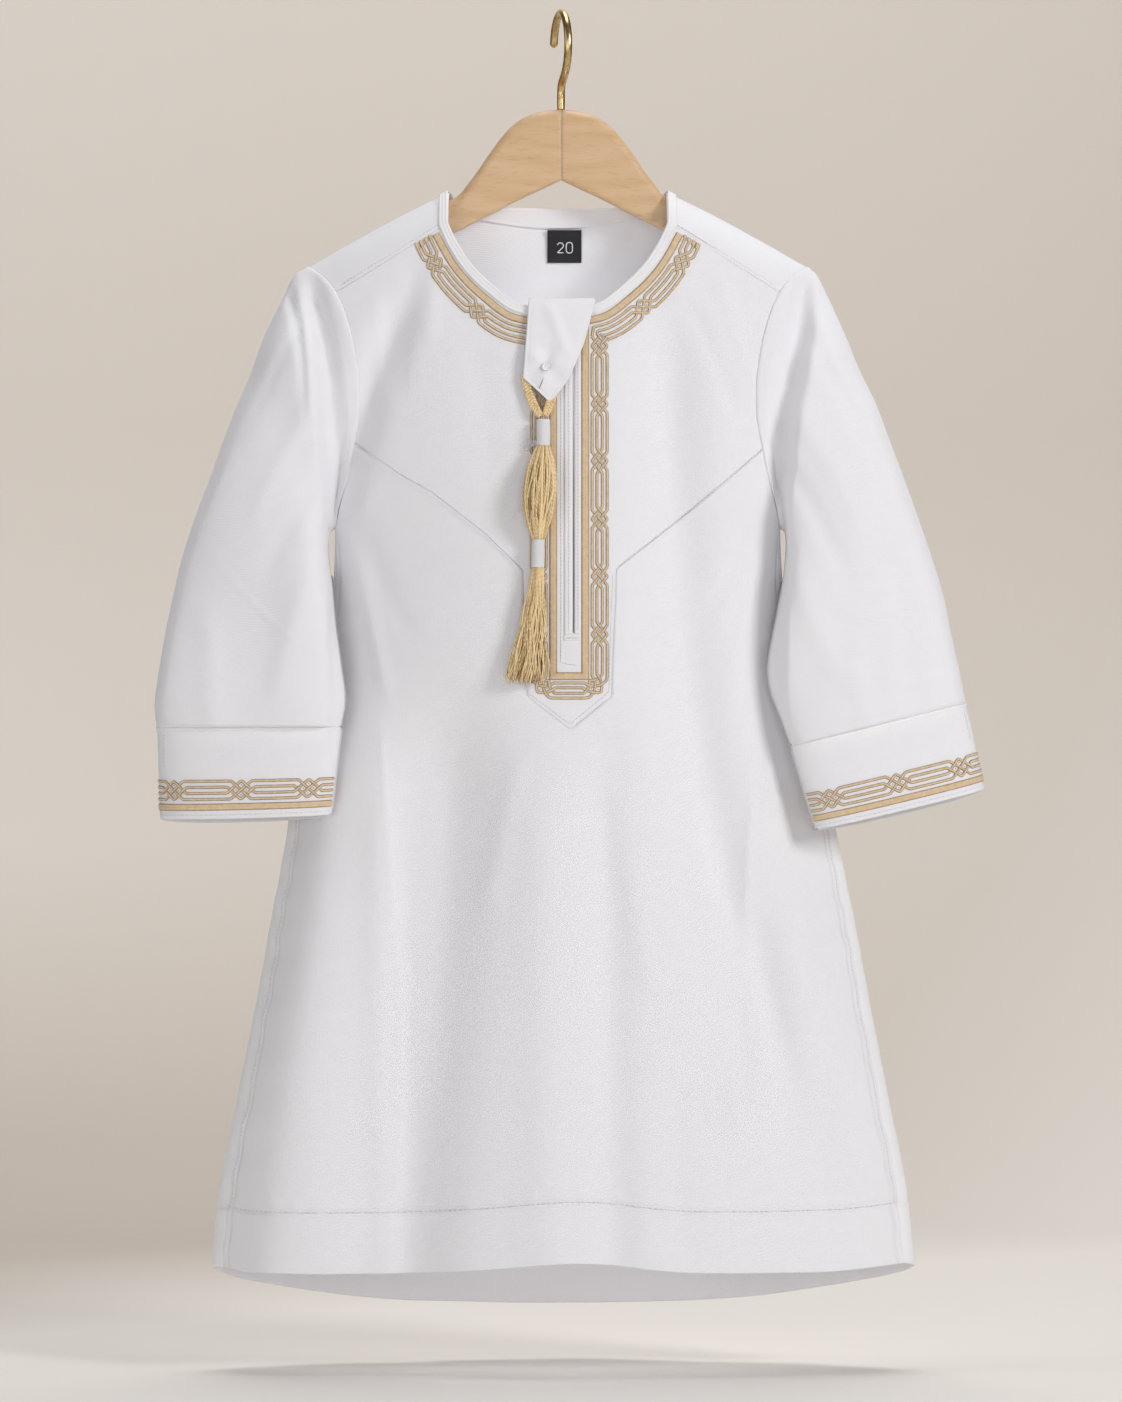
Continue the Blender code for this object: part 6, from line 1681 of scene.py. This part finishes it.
# z, height above the cloth, x of both edges, from the inside over the edge
TAB = np.array([
    (-150, -3.3, -15, 10), (-141, -3.2, -16, 14.6), (-137.6, -2.6, -16.1, 15), (-135.9, -1.2, -16.1, 15.1),
    (-135.4, 0.4, -16.1, 15.2), (-135.9, 2, -16.1, 15.2), (-137.4, 3.1, -16.2, 15.1),
    (-143.5, 3.4, -16.6, 13.6),
    (-150, 3.5, -17, 11.9), (-157, 3.9, -17.5, 10), (-163, 4.7, -17.9, 7.7), (-169, 5.2, -18.2, 5.1),
    (-174, 5.4, -18.5, 2.9), (-180, 5.5, -12.4, -1), (-185, 5.5, -6.9, -5.4)])
BUTTON = (-8.1, -168.7)


def tab_shape():
    """The tab's outer sheet: x, z, whether it lies outside, and its points.
    Outside it has a groove 1.5 mm from its edge, a dimple under the button with
    three soft lobes round it, and a slanting ridge below the fold."""
    length = run(TAB[:, :2])
    t = np.unique(np.concatenate([np.linspace(0, length[-1], 120), length[-3:]]))
    rows = np.stack([np.interp(t, length, TAB[:, k]) for k in range(4)], -1)
    for _ in range(3):
        rows[1:-30, :2] = (rows[:-31, :2] + 2 * rows[1:-30, :2] + rows[2:-29, :2]) / 4
    f = np.concatenate([[0, 0.02], np.linspace(0, 1, 44)[1:-1], [0.98, 1]])
    x = rows[:, 2:3] + (rows[:, 3:4] - rows[:, 2:3]) * f
    z = np.broadcast_to(rows[:, :1], x.shape)
    outside = smooth((t[:, None] - length[5]) / 8.0)
    edge = np.minimum(x - rows[:, 2:3], rows[:, 3:4] - x)
    slope = np.minimum(np.abs((z + 185.0) * 0.72 + (x + 6.9) * 0.69),
                       np.abs((z + 185.0) * 0.6 - (x + 5.4) * 0.8))
    edge = np.where(z < -172.0, np.minimum(edge, slope + 0.2), edge)
    r = np.hypot(x - BUTTON[0], z - BUTTON[1])
    th = np.arctan2(z - BUTTON[1], x - BUTTON[0])
    ridge_line = (x + 3.0) * 0.94 + (z + 150.0) * 0.34
    relief = (-0.22 * np.exp(-((edge - 1.5) / 0.35) ** 2) + 0.10 * smooth(edge / 4.0)
              - 0.75 * np.exp(-(r / 3.6) ** 2)
              + 0.95 * np.cos(3 * th - 1.1) * np.exp(-((r - 6.5) / 4.2) ** 2)
              + 0.85 * np.exp(-(ridge_line / 3.0) ** 2) * smooth((z + 168) / 8))
    P, N = front(x, z)
    return x, z, outside, P + N * (rows[:, 1][:, None] + relief * outside)[..., None]


TAB_X, TAB_Z, TAB_OUT, TAB_P = tab_shape()
TAB_N = grid_normals(TAB_P)


def collar_tab():
    """The pointed tab, folded over the front neck edge."""
    tab = cloth_piece("collar_tab_cloth", TAB_P, TAB_N, quads_of(*TAB_X.shape), wall=1.15, seam=0.0, soft=0.3,
                      uv=np.stack([TAB_X, TAB_Z], -1), replaces=["collar_tab"])


def ahead(x, z, h):
    """Point h in front of the cloth at x, z."""
    p, n = front(np.array([x]), np.array([z]))
    return p[0] + n[0] * h


def on_tab(x, z, h=0.0):
    """Point and normal on the outer face of the tab."""
    x, z = np.atleast_1d(np.asarray(x, float)), np.atleast_1d(np.asarray(z, float))
    below = 50 * (TAB_OUT < 0.5)
    i = np.array([np.argmin(np.hypot(TAB_X - a, TAB_Z - b) + below) for a, b in zip(x, z)])
    base, nn = TAB_P.reshape(-1, 3)[i], TAB_N.reshape(-1, 3)[i]
    q = base + np.stack([x - base[:, 0], np.zeros(len(x)), z - base[:, 2]], -1)
    return q + nn * h, nn


def lathe(mid, axis, rows, sides=40):
    """Round solid from rows of radius and height along its axis."""
    axis = unit(np.asarray(axis, float))
    s = unit(np.cross(axis, [0.0, 0.0, 1.0]))
    t = np.cross(axis, s)
    a = np.arange(sides) * 2 * math.pi / sides
    rr, hh = np.array(rows).T
    spoke = s * np.cos(a)[:, None] + t * np.sin(a)[:, None]
    V = (mid + axis * hh[:, None, None] + spoke * rr[:, None, None]).reshape(-1, 3)
    faces = face_out(V, tube_faces(len(rows), sides), mid)
    uv = np.stack([np.repeat(np.arange(len(rows)) * 0.5, sides), np.tile(a, len(rows))], -1)
    # the last value marks the rows on the side and back, which the pearl finish darkens as painted shade
    return V, faces, uv, np.repeat(np.where(hh < 0.3, 1.0, 0.0), sides)


# radius and height of the button, from its dished middle over the rim to its back
BUTTON_ROWS = [
    (0.02, 0.42), (0.5, 0.45), (0.95, 0.36), (1.15, 0.34), (1.3, 0.52), (1.6, 0.60), (1.85, 0.48),
    (1.98, 0.2), (1.98, -0.1), (1.75, -0.35), (0.7, -0.45), (0.6, -0.9), (0.02, -0.95)]


def pearl_button():
    """Small shirt button with a raised rim and a dished face."""
    place, facing = on_tab(*BUTTON)
    button = Bundle()
    button.add(*lathe(place[0] + facing[0] * 0.75, facing[0], BUTTON_ROWS))
    button.make("shirt_button", "pearl", replaces=["pearl_button"], slot="button")


def buttonhole():
    """Slanted buttonhole: two whipped lips and a strip of painted shade in the slot between them."""
    hole = Bundle()
    hx, hz = np.linspace(-8.9, -11.2, 24), np.linspace(-173.2, -178.6, 24)
    ph, nh = on_tab(hx, hz)
    for off in (-0.36, 0.36):
        side_dir = unit(np.cross(np.gradient(ph, axis=0), nh))
        hole.add(*half_round(ph + side_dir * off, nh, 0.62, 0.22, sides=6))
    hole.make("buttonhole_edge", "white_thread", slot="cloth")
    # painted shade: a dark strip laid in the slot
    dark = Bundle()
    dark.add(*half_round(ph, nh, 0.42, 0.2, sides=5))
    dark.make("buttonhole_slot_shade", "deep_shade", slot="cloth")


collar_tab()
pearl_button()
buttonhole()

# ---- tassel

rng = np.random.default_rng(11)
# both legs of the plaited loop: x, z, height above the cloth
LOOP_LEGS = (
    [(-17.4, -171.5, 3.4), (-16.9, -176.5, 3.3), (-15.8, -181.5, 3.2), (-13.6, -187.2, 3.6),
     (-10.4, -192.2, 4.6)],
    [(-2.2, -173.5, 3.4), (-3.6, -178.5, 3.4), (-5.2, -183.8, 3.5), (-6.9, -188.2, 4.0),
     (-8.2, -192.2, 4.8)])
PLAIT_STEP = 0.30
# the two windings: piece, node, top and bottom x, z and distance off the cloth, radius
WINDINGS = (
    ("upper_wrap_thread", "tassel_wrap_upper", (-9.2, -193.6, 5.45), (-9.2, -205.5, 5.6), 3.0),
    ("lower_wrap_thread", "tassel_wrap_lower", (-11.6, -250.1, 5.9), (-11.8, -263.0, 5.9), 2.9))
# skein: z, x of its middle, radius, distance off the cloth
SKEIN = np.array([
    (-205.6, -9.3, 2.3, 5.7), (-211, -9.6, 4.6, 6.6), (-219, -10.2, 6.9, 8), (-228, -10.9, 7.7, 8.6),
    (-236, -11.4, 6.9, 8.2), (-244, -11.6, 4.6, 6.8), (-250, -11.6, 2.3, 5.9)])
GOLDEN_TURN = 2.39996   # radians from yarn to yarn, which spreads them evenly
TAIL_YARNS = 150
# wisps of thread: x, z of both ends
WISPS = ((-14.5, -222.0, -24.5, -241.0), (-3.4, -217.5, 0.5, -233.0), (-13.5, -196.0, -17.0, -207.0))


def off_cloth(x, z, gap):
    """Point gap in front of the cloth at x, z, measured straight forwards."""
    return ahead(x, z, 0.0) + FORWARD * gap


def tassel_plait():
    """Loop of the tassel: in each leg three plies of four yarns, plaited; a
    ply swings sideways as a sine and in depth at twice its rate."""
    plait = Bundle()
    for leg in LOOP_LEGS:
        pts = resample([ahead(*p) for p in leg], PLAIT_STEP, 15)
        S, U = frames(pts, FORWARD)
        s = np.arange(len(pts)) * PLAIT_STEP
        taper = np.interp(s, [0, s[-1] - 5, s[-1]], [1.15, 1.05, 0.75])
        for k in range(3):
            turn = 2 * math.pi * (s / 4.6 + k / 3)
            P = pts + S * (np.sin(turn) * 1.35 * taper)[:, None] + U * (np.sin(2 * turn) * 0.42)[:, None]
            for j in range(4):
                a = j * math.pi / 2 + s * 0.9
                Q = P + S * (np.cos(a) * 0.42 * taper)[:, None] + U * (np.sin(a) * 0.36)[:, None]
                plait.add(*yarn(Q, 0.40, 6), tone=rng.uniform(0.3, 0.8))
    plait.make("tassel_plait", "tassel_yarn", replaces=["tassel_loop"], slot="tassel")


def winding(name, node, top, low, r):
    """Thread wound round the yarn: a helix of fine turns on a slim barrel."""
    top, low = off_cloth(*top), off_cloth(*low)
    coil = Bundle()
    turns = 30
    a = np.linspace(0, 2 * math.pi * turns, turns * 20)
    v = a / a[-1]
    mid = top + (low - top) * v[:, None]
    rr = r * (0.97 + 0.05 * np.sin(math.pi * v)) + 0.05 * np.sin(v * 61)
    P = mid + np.stack([np.cos(a) * rr, np.sin(a) * rr * 0.92, 0 * a], -1)
    coil.add(*yarn(P, 0.26, 6, N=unit((P - mid) * np.array([1, 1, 0]))))
    core = np.linspace(top + [0, 0, 0.1], low - [0, 0, 0.1], 6)
    V, faces, uv, rim = yarn(core, r * 0.98, 24, squash=0.92)
    coil.add(V, faces, uv, rim * 0)
    coil.make(name, "white_thread", replaces=[node], slot="thread")


def tassel_skein():
    """Bulging skein between the windings: a core painted dark as the shade
    between the yarns and 66 yarns round it, each a meridian of the bulge that
    strays a little, the deeper ones with more painted shade."""
    z = np.linspace(SKEIN[0, 0], -250.0, 36)
    v = (z - z[0]) / (z[-1] - z[0])
    mx, mr, gap = (curve(SKEIN[::-1], z, k) for k in (1, 2, 3))
    my = np.array([ahead(*p, 0)[1] for p in zip(mx, z)]) - gap
    bulb = Bundle()
    V, faces, uv, rim = yarn(np.stack([mx, my, z], -1), mr * 0.80, 28, squash=0.8)
    # the core is painted dark as the shade between the yarns
    bulb.add(V, faces, uv, rim * 0 + 1, 0.15)
    for k in range(66):
        layer = 0.90 + 0.07 * ((k * 7) % 5) / 4
        bow = np.sin(math.pi * v)
        a = k * GOLDEN_TURN + 0.25 * rng.normal() * (v - 0.5)
        a = a + 0.10 * rng.normal() * np.sin(2 * math.pi * v * rng.uniform(0.7, 1.5) + rng.uniform(0, 6))
        rr = mr * layer * (1 + 0.035 * rng.normal() * bow) + 0.25
        P = np.stack([mx + np.cos(a) * rr, my + np.sin(a) * rr * 0.8, z], -1)
        V, faces, uv, rim = yarn(P, rng.uniform(0.46, 0.66), 6)
        # painted shade: more on the deeper yarns and on their undersides
        bulb.add(V, faces, uv, rim * 0.4 + (0.98 - layer) * 6, rng.uniform(0.15, 1.0))
    bulb.make("tassel_skein", "tassel_yarn", replaces=["tassel_bulb"], slot="tassel")


def tassel_tail():
    """Fringe: fine yarns in an even disc that spread, wave and end unevenly."""
    tail = Bundle()
    m = off_cloth(-11.8, -263.5, 5.9)
    v = np.linspace(0, 1, 20)
    spread = 0.75 * v + 0.25 * v * v
    for k in range(TAIL_YARNS):
        rad = math.sqrt((k + 0.5) / TAIL_YARNS)
        u, w = rad * math.cos(k * GOLDEN_TURN), rad * math.sin(k * GOLDEN_TURN)
        long = 54.6 + rng.uniform(-4.5, 0.5)
        x = u * (2.6 + 7.2 * spread) - 5.4 * spread + 1.1 * rng.normal() * v ** 2
        x = x + 0.85 * np.sin(v * rng.uniform(6, 15) + rng.uniform(0, 6)) * smooth(v * 2)
        y = w * (2.2 + 1.0 * spread) - 0.6 * spread
        y = y + 0.2 * np.sin(v * rng.uniform(5, 9) + rng.uniform(0, 6)) * v
        r = rng.uniform(0.27, 0.38) * np.interp(v, [0, 0.9, 1], [1, 1, 0.7])
        V, faces, uv, rim = yarn(m + np.stack([x, y, 0.6 - long * v], -1), r, 6)
        # painted shade: darker on each yarn's underside, towards the middle of the fringe and on the yarns
        # behind
        tail.add(V, faces, uv, rim * 0.5 + (1 - rad) * 0.45 + 0.35 * (w > 0.2), rng.uniform(0.0, 1.0))
    tail.make("tassel_tail", "tassel_yarn", replaces=["tassel_fringe"], slot="tassel")


def loose_ends():
    """Thread ends that stick out of the upper winding, and three fine wisps."""
    ends = Bundle()
    v = np.linspace(0, 1, 20)
    for k in range(7):
        reach = rng.uniform(4.0, 7.5)
        x = -12.2 - reach * v + 0.5 * np.sin(v * rng.uniform(6, 12))
        z = -205.0 - (2.0 - 0.8 * k) * v + 0.9 * np.sin(v * rng.uniform(5, 10) + k) - 1.2 * v ** 2
        ends.add(*yarn(np.array([ahead(*p) for p in zip(x, z, 3.6 - 1.6 * v)]), 0.17, 5))
    v = np.linspace(0, 1, 14)
    for x0, z0, x1, z1 in WISPS:
        x, z = x0 + (x1 - x0) * v, z0 + (z1 - z0) * v - 1.5 * np.sin(math.pi * v)
        ends.add(*yarn(np.array([ahead(*p) for p in zip(x, z, 4.2 - 2.6 * v)]), 0.10, 4))
    ends.make("loose_thread_ends", "white_thread", slot="thread")


tassel_plait()
for winding_row in WINDINGS:
    winding(*winding_row)
tassel_skein()
tassel_tail()
loose_ends()

# ---- machine stitching

sewn, DENT_SHADE_DISCS = Bundle(), Bundle()


def sew_front(points, pitch=2.0, ease=0, sew=front, lift=0.0, **more):
    """A row of stitches through x, z points on the front or back."""
    xz = resample(points, 0.6, ease)
    P, N = sew(xz[:, 0], xz[:, 1])
    stitches(sewn, P + N * lift, N, pitch, **more)


# straight rows on the placket: x, z of both ends, pitch, lift, lean
PLACKET_ROWS = (
    (-1.0, -170.0, -1.0, -308.0, 1.7, 0.0, 0.0), (2.6, -170.0, 2.6, -293.0, 1.7, 0.8, 0.0),
    (6.95, -160.0, 6.95, -293.0, 1.7, 0.8, 0.5), (1.4, -296.4, 7.4, -296.4, 1.5, 0.85, 0.0),
    (-1.0, -308.0, 7.0, -309.5, 1.7, 0.0, 0.0))
# the tongue's edge stitching: x, z
TONGUE_ROWS = (
    [(23.6, -266.0), (22.6, -290.0), (21.6, -322.0), (3.3, -337.0)], [(-15.9, -322.6), (3.3, -337.0)])


def hem_rows():
    """The row above each hem: 29 mm above the front and the back edge."""
    x = np.linspace(-160, 160, 120)
    more = dict(pitch=2.7, lift=0.12, length=1.7)
    sew_front(np.stack([x, curve(HEM_FRONT, x) + HEM_DEEP], -1), **more)
    turn = np.linspace(-98, -262, 160)
    z = curve(HEM_BACK, turn) + HEM_DEEP
    sew_front(np.stack([centre(z) + half(z) * np.sin(np.radians(turn)), z], -1), sew=back, **more)


def body_rows():
    """Rows beside the side seams, above the yoke seam, on the bib and tongue
    and round the placket."""
    for sign, inside in ((-1, 4.2), (1, 5.2)):
        z = np.linspace(-256, -566, 200)
        P, N = body_cloth(sign * (arm_phi(z) - inside / 150.0), z)
        stitches(sewn, P, N, 2.0)
    for side in (-1, 1):
        x = MID + side * np.linspace(54, 103, 60)
        q = -drop(x, seam_z(x) + 1.9)
        stitches(sewn, cape(x, q), cape_normal(x, q), 1.9)
    sew_front(BIB[(BIB[:, 0] > 24) & (BIB[:, 0] < 104)] + np.array([1.0, 1.4]), ease=3)
    for row in TONGUE_ROWS:
        sew_front(row, pitch=1.9)
    for x0, z0, x1, z1, pitch, lift, lean in PLACKET_ROWS:
        sew_front([(x0, z0), (x1, z1)], pitch=pitch, lift=lift, lean=lean)


def facing_and_cuff_rows():
    """Rows on the neck facing, below each cuff seam, in the white edge and up
    the closing seam of the cuff."""
    x = MID + np.linspace(-36, 36, 80)
    P, N = back(x, curve(NECK_BACK, np.abs(x - MID)) - 3.6)
    stitches(sewn, P - N * (CLOTH + 0.45), -N, 2.0)
    for side, closing in ((-1, 0.42), (1, 0.30)):
        ring = cuff_ring(side)
        for w, pitch in ((0.035, 2.0), (0.955, 2.4)):
            stitches(sewn, *ring(np.linspace(0, 2 * math.pi, 400), w), pitch)
        stitches(sewn, *ring(closing, np.linspace(0.0, 0.42, 20)), 1.8)


hem_rows()
body_rows()
facing_and_cuff_rows()
sewn.make("white_stitching", "white_thread", slot="cloth")
# discs of painted shade in the needle holes
DENT_SHADE_DISCS.make("needle_dent_shade", "dent_shade", slot="cloth")

# ---- hanger

HX = -0.95      # x of the mitre and the hook
# distance from the mitre, top z, bottom z, half thickness of an arm
ARM = np.array([
    (0.15, -44.1, -77.8, 6), (9, -45, -82, 6), (18, -48.3, -86.2, 6), (24, -52.6, -89.2, 6),
    (29, -58.3, -91.9, 6), (34.6, -65.9, -94.7, 6), (39.4, -73, -97.1, 6), (44.2, -79.4, -99.5, 6),
    (48.4, -84.6, -101.7, 5.8), (53, -87.4, -104.1, 5.6), (62, -90, -108.9, 5.9), (75, -97, -115.8, 5.4),
    (90, -105, -123.8, 4.4), (102, -111, -130.2, 3.3), (109, -115, -132.6, 2.7), (112.5, -119, -131.8, 2.2),
    (114, -122.5, -129.6, 1.5)])
HOOK_R, HOOK_WIRE, HOOK_TURN = 16.0, 1.9, math.radians(12.5)
HOOK_FOOT = [(0.0, -44.4), (0.0, -37.5), (0.1, -35.2), (0.9, -33.0), (2.6, -31.2), (4.8, -30.0)]
HOOK_STEP = 0.8


def hanger_arm(side, tag):
    """One flat beech arm: its section, rounded over at the top and eased at
    the bottom, is carried out from the mitre between the heights of ARM; it
    stays 1.95 mm below the shoulder ridge."""
    d = np.concatenate([[0.1], np.linspace(1.5, 113, 110), [114.0]])
    zt, zb, thick = curve(ARM, d, 1), curve(ARM, d, 2), curve(ARM, d, 3)
    zt = np.where(d > 47, np.minimum(zt, ridge(HX + side * d) - 1.95), zt)
    a = np.linspace(0, math.pi / 2, 7)
    share = np.concatenate([np.sin(a), [1.0], 1 - 0.38 * (1 - np.cos(a)), [0.0]])
    fall = np.concatenate([6.0 * (1 - np.cos(a)) ** 1.15, [7.0], 2.2 * (1 - np.sin(a)), [0.0]])
    low = np.arange(16) >= 8
    share, fall, low = (np.concatenate([v, f * v[-2:0:-1]]) for v, f in ((share, -1), (fall, 1), (low, True)))
    fall = fall * np.minimum(1.0, (zt - zb) / 9.0)[:, None]
    z = np.where(low, zb[:, None] + fall, zt[:, None] - fall)
    x = HX + side * d
    V = np.stack([np.broadcast_to(x[:, None], z.shape), thick[:, None] * share, z], -1).reshape(-1, 3)
    core = np.stack([x, 0 * d, (zt + zb) / 2], -1)[:-1]
    faces = face_out(V, tube_faces(*z.shape), np.repeat(core, z.shape[1], axis=0))
    mesh("beech_arm_" + tag, V, faces, "beech_" + tag, uv=V[:, [0, 2]],
         replaces=["hanger_arm_" + tag], slot="wood")


def brass_hook():
    """Round wire: straight out of the wood, a short bend, then an open ring of
    radius HOOK_R, all turned a little about the upright, with a rounded end."""
    ring = [(HOOK_R * math.cos(math.radians(t)), HOOK_WIRE - HOOK_R + HOOK_R * math.sin(math.radians(t)))
            for t in range(-62, 179, 8)]
    hook = resample(HOOK_FOOT + ring, HOOK_STEP, 2)
    P = np.stack([HX + math.sin(HOOK_TURN) * hook[:, 0], -math.cos(HOOK_TURN) * hook[:, 0], hook[:, 1]], -1)
    s = np.arange(len(P)) * HOOK_STEP
    r = HOOK_WIRE * np.sqrt(np.clip((s[-1] + 0.02 - s) / 1.6, 0.01, 1.0))
    wire = Bundle()
    wire.add(*yarn(P, r, 24, N=np.array([math.cos(HOOK_TURN), math.sin(HOOK_TURN), 0.0])))
    wire.make("brass_hook", "brass", replaces=["hanger_hook"], slot="hook")


for side, tag in ((-1, "right"), (1, "left")):
    hanger_arm(side, tag)
brass_hook()

# ---- floor, light and camera

# soft area lights, in metres: name, place, aim, size, watts
LIGHTS = (
    ("key", (2.1, -2.0, 0.75), (0.0, 0.1, -0.3), 0.8, 42.0),
    ("front", (0.2, -3.5, -0.1), (0.0, 0.1, -0.38), 1.6, 19.3),
    ("side_fill", (-2.3, -0.7, 0.5), (0.0, 0.1, -0.3), 1.2, 5.0),
    ("low_fill", (-1.8, -2.8, -0.60), (-0.08, 0.1, -0.48), 1.8, 27.0),
    ("overhead", (0.1, 0.4, 1.9), (0.1, 0.3, -0.6), 1.5, 31.0))
# light that comes through the thin cloth into the hollow: name, place, watts
GLOWS = (("glow_neck", (0.004, -0.010, -0.185), 0.045), ("glow_hem", (0.0, 0.0, -0.50), 0.07))
FLOOR_Z = -645.0


def place_object(name, data, at=(0.0, 0.0, 0.0)):
    """Put a light, camera or mesh into the scene."""
    ob = bpy.data.objects.new(name, data)
    ob.location = at
    bpy.context.scene.collection.objects.link(ob)
    return ob


def backdrop(name, wide, profile):
    """Plain sheet from -wide to wide in x along a profile of y, z."""
    V = np.array([(x, y, z) for x in (-wide, wide) for y, z in profile]) * MM
    n = len(profile)
    me = bpy.data.meshes.new(name)
    me.from_pydata(V.tolist(), [], [(i, n + i, n + i + 1, i + 1) for i in range(n - 1)])
    me.polygons.foreach_set("use_smooth", np.ones(n - 1, bool))
    me.materials.append(MATS["pale_wall"])
    place_object(name, me)


def studio():
    """Pale floor, a backdrop that sweeps up behind, soft lights and the camera."""
    t = np.linspace(0, math.pi / 2, 24)
    sweep = np.stack([900 + 500 * np.sin(t), FLOOR_Z - 0.05 + 500 * (1 - np.cos(t))], -1)
    backdrop("pale_floor", 5000.0, [(-3000.0, FLOOR_Z), (3500.0, FLOOR_Z)])
    backdrop("pale_backdrop", 850.0, np.concatenate([sweep, [(1400.0, 3500.0)]]))
    for name, at, aim, size, watts in LIGHTS:
        lamp = bpy.data.lights.new(name, "AREA")
        lamp.size, lamp.energy = size, watts
        way = Vector(aim) - Vector(at)
        place_object(name, lamp, at).rotation_euler = way.to_track_quat("-Z", "Y").to_euler()
    for name, at, watts in GLOWS:
        lamp = bpy.data.lights.new(name, "POINT")
        lamp.energy, lamp.shadow_soft_size = watts, 0.012
        place_object(name, lamp, at)
    world = bpy.data.worlds.new("soft_room")
    world.use_nodes = True
    world.node_tree.nodes["Background"].inputs["Color"].default_value = (0.78, 0.785, 0.80, 1.0)
    world.node_tree.nodes["Background"].inputs["Strength"].default_value = 0.17
    scene = bpy.context.scene
    scene.world = world
    scene.view_settings.view_transform = "Standard"
    cam = bpy.data.cameras.new("camera")
    cam.lens, cam.clip_end = 189.6, 50.0
    scene.camera = place_object("camera", cam, (-0.00095, -3.52, -0.3261))
    scene.camera.rotation_euler = (math.pi / 2, 0.0, 0.0)


def pale_wall():
    """Matt floor and wall with painted light: darker to the right, a warmer
    painted shadow low down at the left, and paler where the floor comes forward."""
    f = Finish("pale_wall", (0.66, 0.61, 0.56), 0.9, Specular_IOR_Level=0.1)
    across, deep, up = (f.node("SeparateXYZ", Vector=f.place())[k] for k in ("X", "Y", "Z"))
    cloud = f.math("MULTIPLY", f.noise(f.place(), 0.5, 3.0), 0.2)
    # painted light and shade: the wall darker towards the right, with a mottled cloud
    wall = f.ramp(f.math("ADD", f.span(across, 0.55, -0.55), cloud),
                  (0.1, (0.62, 0.565, 0.51)), (1.0, (0.77, 0.71, 0.65)))
    # painted shadow: darker and warmer low down at the left
    painted_shadow_low_left = f.math("MULTIPLY", f.span(up, -0.42, -0.60), f.span(across, 0.50, -0.10))
    wall = f.mix(painted_shadow_low_left, wall, (0.60, 0.54, 0.48, 1.0))
    # painted light: the floor paler where it comes forward
    forward = f.span(f.math("SUBTRACT", deep, across), 1.02, 0.46)
    f.colour(f.mix(forward, wall, (0.86, 0.82, 0.78, 1.0)))


pale_wall()
studio()
